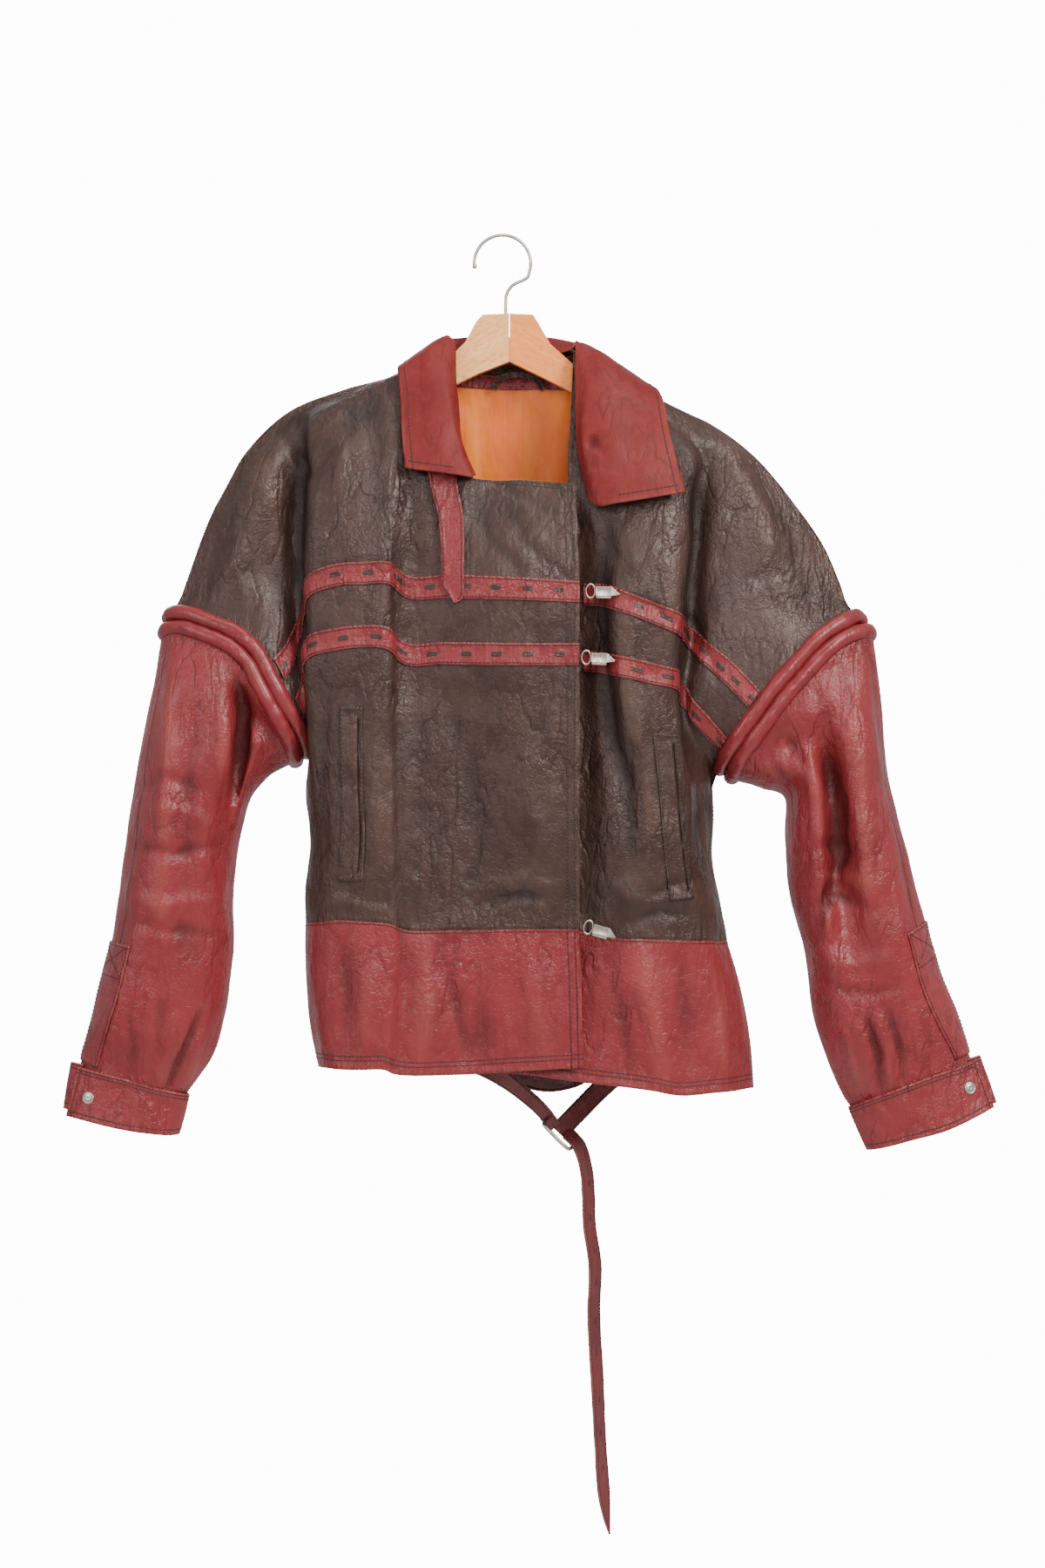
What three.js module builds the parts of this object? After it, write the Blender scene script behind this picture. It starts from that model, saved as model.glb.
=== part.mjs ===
// A two-tone leather jacket hanging on a wooden hanger, with its belt buckled below the hem.
// Units are millimetres. X runs to the viewer's right, Z up, and the viewer looks along +Y.
// The origin is the point inside the top of the wire hook, where the hanger is hung up.
import * as THREE from "three";

// Driving sizes
const LEATHER = 1.6;
const STRAP_LEATHER = 1.2;
const LINING = 1.0;
const SEAM_GAP = 0.3;
const SEAM_Y = SEAM_GAP / 2;
const ROLL_RADIUS = 6.2;
const ROLL_SIDES = 8;
const BACK_DEPTH = 44;
const BELT_LEATHER = 2;
const HOOK_WIRE = 3.2;
const HOOK_RADIUS = 25.9;
const WOOD_THICKNESS = 16;
const WOOD_EDGE = 2.5;

// Materials
const paint = (color, roughness, metalness) => () =>
  new THREE.MeshStandardMaterial({ color, roughness, metalness, side: THREE.FrontSide });
const taupe = paint(0x55473c, 0.5, 0);
const red = paint(0x9c3a34, 0.45, 0);
const collarRed = paint(0xa3484a, 0.55, 0);
const satin = paint(0xd08030, 0.4, 0);
const beech = paint(0xf0bd8a, 0.5, 0);
const nickel = paint(0xcfc8bc, 0.25, 1);

const jacket = new THREE.Group();

function add(name, geometry, material) {
  const mesh = new THREE.Mesh(geometry, material());
  mesh.name = name;
  jacket.add(mesh);
  return mesh;
}

const point = (x, y, z) => new THREE.Vector3(x, y, z);

// Mean distance between each pair of neighbouring columns of a net, as running totals
function knots(net) {
  const places = [0];
  for (let j = 1; j < net[0].length; j++) {
    const sum = net.reduce((total, row) => total + row[j].distanceTo(row[j - 1]), 0);
    places.push(places[j - 1] + Math.max(sum / net.length, 1));
  }
  return places;
}

// A smooth line through the points. At a knot in `sharp` it turns a corner instead.
function splineAt(points, places, s, sharp) {
  const last = points.length - 1;
  const i = Math.min(Math.floor(s), last - 1);
  const t = s - i;
  const span = places[i + 1] - places[i];
  const slope = (k, side) => {
    const before = k > 0 && !(sharp.includes(k) && side > 0);
    const after = k < last && !(sharp.includes(k) && side < 0);
    const back = before ? points[k].clone().sub(points[k - 1]).divideScalar(places[k] - places[k - 1]) : null;
    const ahead = after ? points[k + 1].clone().sub(points[k]).divideScalar(places[k + 1] - places[k]) : null;
    if (!back) return ahead;
    if (!ahead) return back;
    const weight = (places[k] - places[k - 1]) / (places[k + 1] - places[k - 1]);
    return back.lerp(ahead, weight);
  };
  const startSlope = slope(i, 1).multiplyScalar(span);
  const endSlope = slope(i + 1, -1).multiplyScalar(span);
  const t2 = t * t;
  const t3 = t2 * t;
  return points[i].clone().multiplyScalar(2 * t3 - 3 * t2 + 1)
    .addScaledVector(startSlope, t3 - 2 * t2 + t)
    .addScaledVector(points[i + 1], 3 * t2 - 2 * t3)
    .addScaledVector(endSlope, t3 - t2);
}

// Values 0 .. steps.length with steps[i] parts between i and i + 1
function divide(steps) {
  const values = [0];
  steps.forEach((count, i) => {
    for (let k = 1; k <= count; k++) values.push(i + k / count);
  });
  return values;
}

const transpose = (net) => net[0].map((_, j) => net.map((row) => row[j]));

// Cloth through a net of hand-set points: rows run down the garment, columns across it
class Cloth {
  constructor(net, options) {
    const { columnSteps, rowSteps, sharpRows = [], sharpColumns = [] } = options;
    const { columnKnots = null, side = 0 } = options;
    this.net = net.map((row) => row.map(([x, y, z]) => point(x, y, z)));
    this.columnKnots = columnKnots || knots(this.net);
    this.rowKnots = knots(transpose(this.net));
    this.sharpRows = sharpRows;
    this.sharpColumns = sharpColumns;
    this.side = side;
    this.columnSteps = columnSteps;
    this.columns = divide(columnSteps);
    this.rows = divide(rowSteps);
  }

  at(column, row) {
    const line = this.net.map((points) =>
      splineAt(points, this.columnKnots, column, this.sharpColumns));
    const p = splineAt(line, this.rowKnots, row, this.sharpRows);
    if (this.side) p.y = this.side * Math.max(this.side * p.y, SEAM_Y);
    return p;
  }

  grid(columns = this.columns, rows = this.rows) {
    return rows.map((row) => columns.map((column) => this.at(column, row)));
  }

  within(values, from, to) {
    return values.filter((value) => value > from - 1e-6 && value < to + 1e-6);
  }

  // The part of the grid between two control columns and two control rows
  patch([fromColumn, toColumn], [fromRow, toRow]) {
    return this.grid(this.within(this.columns, fromColumn, toColumn), this.within(this.rows, fromRow, toRow));
  }

  // The place [column, row] where the viewer sees the cloth at (x, z), from the nearest grid point on
  placeOf(x, z) {
    const apart = (p) => (p.x - x) ** 2 + (p.z - z) ** 2;
    let best = { column: 0, row: 0, gap: Infinity };
    for (const row of this.rows) {
      for (const column of this.columns) {
        const gap = apart(this.at(column, row));
        if (gap < best.gap) best = { column, row, gap };
      }
    }
    let reach = 0.5;
    while (reach > 0.002) {
      let moved = false;
      for (const [across, down] of [[1, 0], [-1, 0], [0, 1], [0, -1], [1, 1], [-1, 1], [1, -1], [-1, -1]]) {
        const column = this.inside(best.column + across * reach, this.columns);
        const row = this.inside(best.row + down * reach, this.rows);
        const gap = apart(this.at(column, row));
        if (gap < best.gap) {
          best = { column, row, gap };
          moved = true;
        }
      }
      if (!moved) reach /= 2;
    }
    return [best.column, best.row];
  }

  inside(value, values) {
    return Math.min(Math.max(value, values[0]), values[values.length - 1]);
  }

  // The way out of the cloth at a place
  outwardAt(column, row) {
    const reach = 0.05;
    const across = this.at(column + reach, row).sub(this.at(column - reach, row));
    const down = this.at(column, row + reach).sub(this.at(column, row - reach));
    const way = across.cross(down).normalize();
    return way.y > 0 ? way.negate() : way;
  }
}

// Cloth in a tube: the last control column meets the first, and the grid holds each column once
function tube(rings, { columnSteps, rowSteps }) {
  const net = rings.map((ring) => [ring[ring.length - 1], ...ring, ring[0], ring[1]]);
  const cloth = new Cloth(net, { columnSteps: [1, ...columnSteps, 1], rowSteps });
  const end = rings[0].length + 1;
  cloth.columns = cloth.columns.filter((column) => column >= 1 && column < end - 1e-6);
  return cloth;
}

// Unit normals of a grid of points, from the faces round each one. `wrap` joins the last column to the first.
function gridNormals(grid, facing, wrap) {
  const columns = grid[0].length;
  const normals = grid.map((row) => row.map(() => point(0, 0, 0)));
  for (let i = 0; i < grid.length - 1; i++) {
    for (let j = 0; j < columns - (wrap ? 0 : 1); j++) {
      const k = (j + 1) % columns;
      const across = grid[i + 1][k].clone().sub(grid[i][j]);
      const down = grid[i + 1][j].clone().sub(grid[i][k]);
      const face = across.cross(down);
      for (const [a, b] of [[i, j], [i, k], [i + 1, j], [i + 1, k]]) normals[a][b].add(face);
    }
  }
  const middle = point(0, 0, 0);
  grid.flat().forEach((p) => middle.add(p));
  middle.divideScalar(grid.length * columns);
  let agreement = 0;
  grid.forEach((row, i) => row.forEach((p, j) => {
    const outward = facing || p.clone().sub(middle);
    agreement += normals[i][j].dot(outward);
  }));
  const sign = agreement < 0 ? -1 : 1;
  normals.flat().forEach((n) => n.normalize().multiplyScalar(sign));
  return normals;
}

// A grid moved along its normals. Points on the front-to-back seam move within the seam's own plane.
function shifted(grid, normals, distance) {
  return grid.map((row, i) => row.map((p, j) => {
    const way = normals[i][j].clone();
    const onEdge = i === 0 || j === 0 || i === grid.length - 1 || j === row.length - 1;
    if (onEdge && Math.abs(p.y) < SEAM_Y + 0.01) way.setY(0).normalize();
    return p.clone().addScaledVector(way, distance);
  }));
}

// The closed solid between an outer and an inner grid
function solidBetween(outer, inner, wrap) {
  const rows = outer.length;
  const columns = outer[0].length;
  const position = [...outer.flat(), ...inner.flat()].flatMap((p) => [p.x, p.y, p.z]);
  const index = [];
  const outside = (i, j) => i * columns + (j % columns);
  const inside = (i, j) => rows * columns + outside(i, j);
  const quad = (a, b, c, d) => index.push(a, b, c, a, c, d);
  const spans = columns - (wrap ? 0 : 1);
  for (let i = 0; i < rows - 1; i++) {
    for (let j = 0; j < spans; j++) {
      quad(outside(i, j), outside(i + 1, j), outside(i + 1, j + 1), outside(i, j + 1));
      quad(inside(i, j), inside(i, j + 1), inside(i + 1, j + 1), inside(i + 1, j));
    }
    if (!wrap) {
      quad(outside(i, 0), inside(i, 0), inside(i + 1, 0), outside(i + 1, 0));
      const end = columns - 1;
      quad(outside(i, end), outside(i + 1, end), inside(i + 1, end), inside(i, end));
    }
  }
  for (let j = 0; j < spans; j++) {
    quad(outside(0, j), outside(0, j + 1), inside(0, j + 1), inside(0, j));
    const end = rows - 1;
    quad(outside(end, j), inside(end, j), inside(end, j + 1), outside(end, j + 1));
  }
  return facingOut(position, index);
}

// Turns every face round where the volume comes out negative
function facingOut(position, index) {
  const corner = (k) => point(position[3 * k], position[3 * k + 1], position[3 * k + 2]);
  let volume = 0;
  for (let i = 0; i < index.length; i += 3) {
    volume += corner(index[i]).dot(corner(index[i + 1]).cross(corner(index[i + 2])));
  }
  if (volume < 0) {
    for (let i = 0; i < index.length; i += 3) {
      [index[i + 1], index[i + 2]] = [index[i + 2], index[i + 1]];
    }
  }
  const geometry = new THREE.BufferGeometry();
  geometry.setAttribute("position", new THREE.Float32BufferAttribute(position, 3));
  geometry.setIndex(index);
  geometry.computeVertexNormals();
  return geometry;
}

const FORWARD = point(0, -1, 0);
const BACKWARD = point(0, 1, 0);

// A wall of cloth whose outer face is the grid, lifted off it by `lift`
function wall(grid, { thickness = LEATHER, facing = FORWARD, wrap = false, lift = 0 } = {}) {
  const normals = gridNormals(grid, facing, wrap);
  const outer = lift ? shifted(grid, normals, lift) : grid;
  const inner = shifted(grid, normals, lift - thickness);
  return solidBetween(outer, inner, wrap);
}

// The front on the viewer's left, which laps over.
// Columns: front edge, chest, valley, foot and crest of the long pleat, the two welt lines,
// the column's edge, the foot of the arm fold, the wing, and the outer seam.
const FRONT_LEFT = [
  [[-46, -0.15, -103], [-52, -0.15, -105], [-58, -0.15, -108], [-64, -0.15, -111], [-69, -0.15, -113],
    [-74, -0.15, -116], [-78, -0.15, -118], [-82, -0.15, -120], [-86, -0.15, -122], [-90, -0.15, -125],
    [-94, -0.15, -127]],
  [[-46, -13, -109], [-53, -14, -111], [-60, -14, -113], [-67, -14, -115], [-73, -14, -117],
    [-79, -14, -119], [-85, -14, -121], [-91, -13, -124], [-98, -11, -127], [-107, -7, -130],
    [-119, -0.15, -133]],
  [[-46, -24, -146], [-58, -26, -147], [-70, -27, -148], [-80, -28, -148], [-88, -29, -148],
    [-96, -29, -148], [-104, -28, -148], [-114, -25, -147], [-126, -20, -146], [-137, -12, -144],
    [-148, -0.15, -141]],
  [[-37, -38, -190], [-52, -40, -188], [-68, -41, -186], [-86, -42, -184], [-99, -43, -182],
    [-122, -42, -179], [-144, -39, -175], [-172, -27, -169], [-183, -18, -167], [-192, -10, -165],
    [-200, -0.15, -163]],
  [[-26, -46, -225], [-44, -49, -223], [-60, -50, -221], [-86, -51, -218], [-99, -54, -214],
    [-124, -55, -211], [-146, -53, -208], [-174, -42, -204], [-186, -19, -203], [-210, -19, -200],
    [-235, -0.15, -197]],
  [[66, -52, -229], [24, -57, -248], [-38, -57, -262], [-89, -56, -258], [-100, -62, -250],
    [-125, -64, -246], [-146, -62, -243], [-176, -52, -238], [-187, -20, -236], [-222, -24, -230],
    [-252, -0.15, -226]],
  [[68, -60, -264], [20, -65, -276], [-40, -61, -284], [-89, -57, -284], [-101, -66, -276],
    [-126, -68, -271], [-146, -66, -270], [-178, -56, -272], [-188, -20, -272], [-234, -29, -266],
    [-272, -0.15, -266]],
  [[69, -63, -292], [18, -68, -294], [-42, -62, -296], [-90, -57, -296], [-102, -68, -288],
    [-126, -70, -285], [-146, -68, -286], [-178, -57, -293], [-188, -21, -300], [-246, -31, -312],
    [-298, -4, -338.5]],
  [[69.5, -64, -299], [18, -68.5, -300], [-43, -62, -301], [-90, -57, -300], [-102, -68.5, -292],
    [-126, -70.5, -290], [-146, -68.5, -291], [-178, -57, -299], [-188, -21.5, -312], [-232, -33, -327],
    [-267, -28, -346]],
  [[70, -65, -306], [18, -69, -306], [-44, -62, -305], [-90, -57, -304], [-102, -69, -295],
    [-126, -71, -294], [-146, -69, -295], [-178, -57, -305], [-188, -22, -324], [-207, -34, -346],
    [-230, -39, -366]],
  [[70, -66, -319], [18, -70, -316], [-46, -62, -313], [-90, -57, -312], [-102, -69, -302],
    [-126, -71, -302], [-147, -69, -303], [-178, -57, -316], [-187, -24, -350], [-196, -33, -372],
    [-209, -42, -389]],
  [[70, -67, -338], [18, -70, -336], [-47, -61, -334], [-90, -57, -332], [-102, -69, -322],
    [-126, -71, -322], [-147, -69, -323], [-178, -57, -336], [-186, -26, -372], [-190, -34, -392],
    [-199, -42, -409]],
  [[70, -68, -375], [18, -70, -375], [-50, -60, -374], [-92, -57, -372], [-104, -69, -361],
    [-126, -71, -359], [-147, -69, -361], [-178, -58, -370], [-182, -34, -396], [-184, -36, -411],
    [-189, -39, -425]],
  [[70, -68, -395], [18, -70, -395], [-52, -60, -394], [-92, -57, -392], [-104, -68, -381],
    [-126, -71, -379], [-147, -69, -381], [-177, -58, -390], [-178, -40, -412], [-178, -36, -428],
    [-180, -30, -443]],
  [[70, -68, -438], [18, -69, -438], [-44, -60, -438], [-92, -60, -437], [-104, -67, -434],
    [-126, -70, -433], [-147, -68, -433], [-176, -54, -438], [-175, -38, -448], [-173, -18, -460],
    [-173, -0.15, -471]],
  [[70, -67, -500], [18, -68, -500], [-32, -60, -500], [-90, -62, -500], [-104, -67, -499],
    [-126, -69, -498], [-146, -67, -498], [-169, -55, -503], [-178, -36, -508], [-180, -18, -512],
    [-180, -0.15, -514]],
  [[70, -65, -556], [20, -66, -556], [-17, -58, -556], [-88, -62, -556], [-104, -66, -555],
    [-124, -67, -554], [-145, -64, -554], [-164, -53, -556], [-175, -34, -558], [-176, -17, -560],
    [-174, -0.15, -562]],
  [[70, -61, -594], [22, -62, -594], [-20, -56, -594], [-90, -60, -592], [-105, -64, -591],
    [-126, -65, -590], [-148, -61, -590], [-167, -50, -593], [-178, -32, -595], [-180, -16, -597],
    [-178, -0.15, -600]],
  [[70, -58, -634], [20, -57, -634], [-42, -55, -635], [-90, -57, -634], [-102, -61, -629],
    [-126, -61, -627], [-146, -58, -626], [-167, -47, -628], [-177, -30, -629], [-180, -15, -630],
    [-178, -0.15, -630]],
];
const frontLeft = new Cloth(FRONT_LEFT, {
  columnSteps: [2, 2, 2, 1, 1, 1, 2, 2, 2, 2],
  rowSteps: [1, 2, 2, 2, 2, 2, 1, 1, 1, 1, 1, 2, 1, 2, 2, 2, 2, 2],
  sharpRows: [4, 5, 7],
  side: -1,
});
add("front_left", wall(frontLeft.grid()), taupe);

// The front on the viewer's right, which lies under: its inner edge is 58 mm behind the lap.
// Columns: hidden edge, foot and crest of the fold beside the lap, chest, the two welt lines,
// crest and foot of the arm fold, the wing's start and middle, and the outer seam.
const FRONT_RIGHT = [
  [[66, -0.15, -104], [74, -0.15, -108], [82, -0.15, -112], [90, -0.15, -117], [98, -0.15, -122],
    [106, -0.15, -127], [114, -0.15, -132], [122, -0.15, -137], [130, -0.15, -142], [138, -0.15, -147],
    [146, -0.15, -152]],
  [[65, -13, -110], [75, -14, -113], [84, -14, -117], [94, -14, -122], [104, -14, -127],
    [113, -14, -132], [122, -13, -137], [131, -12, -142], [141, -10, -148], [154, -6, -154],
    [170, -0.15, -162]],
  [[63, -26, -150], [74, -28, -153], [86, -30, -156], [100, -31, -159], [116, -31, -163],
    [132, -29, -166], [146, -25, -169], [158, -20, -171], [170, -14, -172], [183, -8, -173],
    [195, -0.15, -174]],
  [[60, -40, -205], [72, -42, -206], [86, -44, -207], [104, -46, -208], [130, -46, -208],
    [152, -44, -208], [174, -36, -206], [184, -20, -206], [196, -20, -206], [216, -15, -206],
    [236, -0.15, -206]],
  [[60, -45, -240], [72, -47, -242], [88, -50, -244], [108, -53, -246], [134, -54, -246],
    [154, -52, -245], [172, -45, -244], [181, -22, -243], [194, -26, -243], [232, -21, -244],
    [269, -0.15, -246]],
  [[60, -44, -262], [75, -44, -268], [94, -56, -273], [112, -60, -276], [136, -61, -277],
    [154, -58, -278], [170, -50, -279], [178, -24, -281], [192, -30, -282], [246, -27, -283],
    [294, -0.15, -282]],
  [[12, -50, -285], [74, -43, -296], [97, -60, -298], [114, -65, -300], [138, -66, -303],
    [154, -62, -305], [168, -53, -308], [175, -26, -314], [190, -34, -320], [256, -31, -334],
    [318, -4, -342]],
  [[12, -54, -303], [74, -43, -309], [97, -61, -311], [114, -67, -314], [138, -67, -320],
    [154, -63, -325], [167, -54, -330], [174, -27, -338], [187, -36, -346], [230, -39, -362],
    [268, -40, -381]],
  [[12, -55, -318], [74, -43, -320], [96, -61, -322], [114, -68, -329], [138, -68, -338],
    [154, -64, -345], [168, -54, -352], [173, -28, -360], [184, -38, -370], [211, -42, -393],
    [235, -43, -418]],
  [[12, -56, -337], [74, -42, -340], [93, -60, -342], [112, -68, -348], [138, -68, -358],
    [154, -64, -365], [167, -54, -372], [172, -30, -380], [180, -39, -390], [203, -42, -411],
    [224, -43, -433]],
  [[12, -57, -374], [74, -42, -381], [90, -58, -383], [110, -67, -387], [136, -68, -393],
    [152, -64, -397], [162, -56, -400], [167, -36, -412], [173, -40, -424], [189, -38, -442],
    [205, -36, -460]],
  [[12, -58, -393], [74, -42, -400], [89, -58, -402], [110, -67, -406], [136, -68, -412],
    [152, -64, -415], [161, -56, -419], [166, -38, -431], [171, -38, -442], [184, -34, -457],
    [199, -26, -471]],
  [[12, -58, -450], [76, -42, -454], [94, -57, -455], [112, -66, -455], [137, -67, -456],
    [157, -62, -458], [166, -54, -462], [171, -40, -470], [178, -28, -479], [187, -15, -485],
    [193, -0.15, -491]],
  [[12, -57, -505], [76, -44, -508], [98, -60, -509], [114, -65, -510], [142, -66, -511],
    [162, -61, -512], [172, -53, -516], [177, -38, -521], [184, -26, -526], [190, -12, -529],
    [194, -0.15, -532]],
  [[12, -54, -560], [76, -46, -562], [99, -60, -563], [118, -64, -564], [147, -63, -565],
    [167, -58, -566], [178, -48, -568], [185, -34, -570], [190, -22, -572], [193, -10, -573],
    [193, -0.15, -574]],
  [[12, -50, -603], [76, -46, -606], [100, -58, -607], [122, -60, -608], [152, -58, -608],
    [173, -53, -606], [183, -44, -606], [191, -32, -607], [196, -20, -608], [199, -10, -609],
    [200, -0.15, -610]],
  [[12, -46, -634], [76, -45, -637], [103, -54, -642], [126, -56, -643], [154, -54, -644],
    [175, -49, -645], [188, -41, -645], [196, -30, -646], [202, -19, -646], [205, -9, -646],
    [206, -0.15, -646]],
];
const frontRight = new Cloth(FRONT_RIGHT, {
  columnSteps: [1, 2, 2, 1, 1, 1, 1, 2, 2, 2],
  rowSteps: [1, 2, 2, 2, 1, 2, 1, 1, 1, 2, 1, 2, 2, 2, 2, 2],
  sharpRows: [5, 6],
  side: -1,
});
add("front_right", wall(frontRight.grid()), taupe);


// The back. Columns run from the viewer's left seam to the right one.
const BACK = [
  [[-94, 0.15, -127], [-70, 0.15, -114], [-46, 0.15, -103], [-44, 15, -107], [-24, 23, -112],
    [10, 26, -114], [44, 23, -112], [64, 15, -107], [66, 0.15, -104], [106, 0.15, -127], [146, 0.15, -152]],
  [[-119, 0.15, -133], [-94, 13, -126], [-66, 17, -119], [-50, 22, -121], [-22, 27, -124],
    [10, 29, -126], [42, 27, -125], [70, 22, -123], [88, 17, -122], [128, 13, -142], [170, 0.15, -162]],
  [[-148, 0.15, -141], [-120, 14, -143], [-92, 22, -146], [-60, 28, -148], [-24, 31, -150],
    [10, 32, -151], [44, 31, -152], [84, 28, -156], [124, 22, -161], [160, 14, -167], [195, 0.15, -174]],
  [[-200, 0.15, -163], [-176, 18, -168], [-140, 28, -176], [-92, 33, -184], [-40, 35, -190],
    [10, 36, -192], [60, 35, -194], [118, 33, -198], [170, 28, -202], [206, 18, -204], [236, 0.15, -206]],
  [[-235, 0.15, -197], [-206, 20, -204], [-160, 32, -214], [-104, 37, -222], [-44, 39, -228],
    [12, 40, -230], [70, 39, -232], [132, 37, -236], [190, 32, -241], [236, 20, -244], [269, 0.15, -246]],
  [[-252, 0.15, -226], [-220, 22, -236], [-170, 34, -248], [-110, 39, -258], [-46, 42, -264],
    [14, 43, -267], [76, 42, -270], [142, 39, -274], [204, 34, -278], [256, 22, -281], [294, 0.15, -282]],
  [[-272, 0.15, -266], [-234, 24, -276], [-178, 35, -286], [-114, 40, -292], [-48, 43, -298],
    [14, 44, -300], [78, 43, -302], [148, 40, -306], [212, 35, -309], [268, 24, -311], [308, 0.15, -313]],
  [[-298, 4, -338.5], [-248, 26, -336], [-184, 36, -336], [-116, 41, -336], [-48, BACK_DEPTH, -336],
    [14, BACK_DEPTH, -337], [80, BACK_DEPTH, -338], [150, 41, -340], [216, 36, -342], [276, 27, -344],
    [318, 4, -342]],
  [[-267, 20, -346], [-232, 31, -347], [-182, 36.5, -347], [-117, 41.5, -348], [-49, BACK_DEPTH, -349],
    [14, BACK_DEPTH, -350], [80, BACK_DEPTH, -352], [149, 41.5, -356], [206, 37, -360], [257, 32, -361],
    [293, 20, -361]],
  [[-230, 32, -366], [-208, 34, -362], [-182, 37, -356], [-118, 42, -360], [-50, BACK_DEPTH, -362],
    [14, BACK_DEPTH, -364], [80, BACK_DEPTH, -366], [148, 42, -372], [196, 38, -377], [236, 35, -380],
    [268, 32, -381]],
  [[-209, 33, -389], [-198, 34, -391], [-174, 37, -395], [-118, 41, -398], [-50, BACK_DEPTH, -400],
    [14, BACK_DEPTH, -402], [78, BACK_DEPTH, -404], [140, 41, -408], [184, 38, -412], [214, 35, -416],
    [235, 34, -418]],
  [[-189, 31, -425], [-184, 33, -426], [-168, 37, -429], [-116, 41, -432], [-50, BACK_DEPTH, -434],
    [14, BACK_DEPTH, -436], [76, BACK_DEPTH, -438], [134, 41, -442], [172, 37, -448], [192, 32, -455],
    [205, 28, -460]],
  [[-173, 0.15, -471], [-172, 18, -472], [-158, 32, -474], [-112, 41, -478], [-50, BACK_DEPTH, -480],
    [12, BACK_DEPTH, -482], [74, BACK_DEPTH, -484], [132, 41, -486], [176, 32, -489], [190, 18, -491],
    [193, 0.15, -491]],
  [[-180, 0.15, -514], [-178, 18, -515], [-162, 33, -517], [-112, 40, -519], [-50, 43, -521],
    [10, 43, -523], [72, 43, -525], [130, 40, -527], [174, 32, -529], [190, 18, -531], [194, 0.15, -532]],
  [[-174, 0.15, -562], [-172, 18, -562], [-158, 32, -563], [-110, 39, -564], [-50, 42, -566],
    [10, 42, -567], [72, 42, -568], [130, 39, -570], [174, 31, -572], [190, 17, -573], [193, 0.15, -574]],
  [[-178, 0.15, -600], [-176, 17, -600], [-162, 30, -601], [-112, 38, -602], [-50, 41, -604],
    [10, 41, -605], [72, 41, -606], [132, 38, -608], [180, 30, -609], [196, 16, -610], [200, 0.15, -610]],
  [[-178, 0.15, -630], [-176, 16, -630], [-162, 29, -631], [-112, 37, -632], [-50, 40, -634],
    [12, 40, -636], [74, 40, -638], [136, 37, -642], [184, 29, -644], [202, 15, -646], [206, 0.15, -646]],
];
const back = new Cloth(BACK, {
  columnSteps: [2, 2, 2, 1, 1, 1, 1, 2, 2, 2],
  rowSteps: [1, 2, 2, 2, 1, 1, 1, 1, 1, 2, 1, 2, 1, 1, 1, 1],
  sharpRows: [7],
  side: 1,
});
add("back", wall(back.grid(), { facing: BACKWARD }), taupe);

// Hem band: each length starts at the foot of its panel, a seam's gap lower
function hem(name, panel, lowerRows, facing) {
  const seam = panel.net[panel.net.length - 1].map((p) => [p.x, p.y, p.z - SEAM_GAP]);
  const rowSteps = lowerRows.map(() => 1);
  const cloth = new Cloth([seam, ...lowerRows], {
    columnSteps: panel.columnSteps, rowSteps, columnKnots: panel.columnKnots, side: panel.side,
  });
  add(name, wall(cloth.grid(), { facing }), red);
  return cloth;
}
hem("hem_front_left", frontLeft, [
  [[72, -57, -690], [20, -56, -692], [-42, -54, -693], [-92, -57, -692], [-103, -62, -686],
    [-127, -61, -684], [-147, -57, -683], [-167, -46, -684], [-177, -29, -684], [-180, -14, -684],
    [-179, -0.15, -684]],
  [[73, -55, -728], [20, -54, -730], [-42, -51, -732], [-94, -56, -730], [-104, -60, -726],
    [-128, -59, -724], [-146, -55, -724], [-163, -45, -724], [-172, -28, -724], [-176, -14, -724],
    [-174, -0.15, -724]],
  [[74, -52, -760], [20, -51, -763], [-42, -48, -767], [-98, -54, -766], [-107, -58, -762],
    [-128, -57, -762], [-145, -53, -762], [-158, -44, -761], [-166, -28, -761], [-169, -13, -761],
    [-168, -0.15, -761]],
], FORWARD);
hem("hem_front_right", frontRight, [
  [[12, -45, -690], [78, -44, -692], [106, -53, -694], [130, -55, -694], [158, -53, -694],
    [180, -48, -693], [194, -40, -692], [204, -29, -691], [212, -19, -690], [217, -9, -690],
    [219, -0.15, -690]],
  [[13, -44, -732], [80, -43, -736], [108, -50, -740], [132, -52, -742], [162, -50, -742],
    [186, -45, -742], [202, -38, -741], [213, -28, -740], [221, -18, -740], [226, -9, -740],
    [228, -0.15, -740]],
  [[14, -42, -766], [80, -42, -775], [110, -48, -778], [134, -50, -781], [165, -48, -786],
    [190, -43, -784], [206, -36, -783], [217, -27, -782], [225, -17, -781], [230, -9, -781],
    [231, -0.15, -781]],
], FORWARD);
hem("hem_back", back, [
  [[-179, 0.15, -684], [-177, 16, -684], [-163, 28, -685], [-112, 36, -686], [-50, 39, -687],
    [14, 39, -688], [78, 39, -689], [144, 36, -690], [196, 28, -690], [214, 15, -690], [219, 0.15, -690]],
  [[-174, 0.15, -724], [-172, 15, -725], [-158, 27, -726], [-110, 35, -728], [-50, 38, -730],
    [16, 38, -732], [82, 38, -735], [150, 35, -738], [204, 27, -739], [223, 14, -740], [228, 0.15, -740]],
  [[-168, 0.15, -761], [-166, 14, -762], [-152, 26, -763], [-108, 34, -765], [-50, 37, -768],
    [16, 37, -771], [84, 37, -774], [154, 34, -778], [208, 26, -780], [226, 13, -781], [231, 0.15, -781]],
], BACKWARD);

const closedCurve = (line) => new THREE.CatmullRomCurve3(line, true, "centripetal");

// The direction of `axis` made square to a curve at the share s of its length
function squareTo(curve, s, axis) {
  const along = curve.getTangent(s);
  return axis.clone().addScaledVector(along, -axis.dot(along)).normalize();
}

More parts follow.
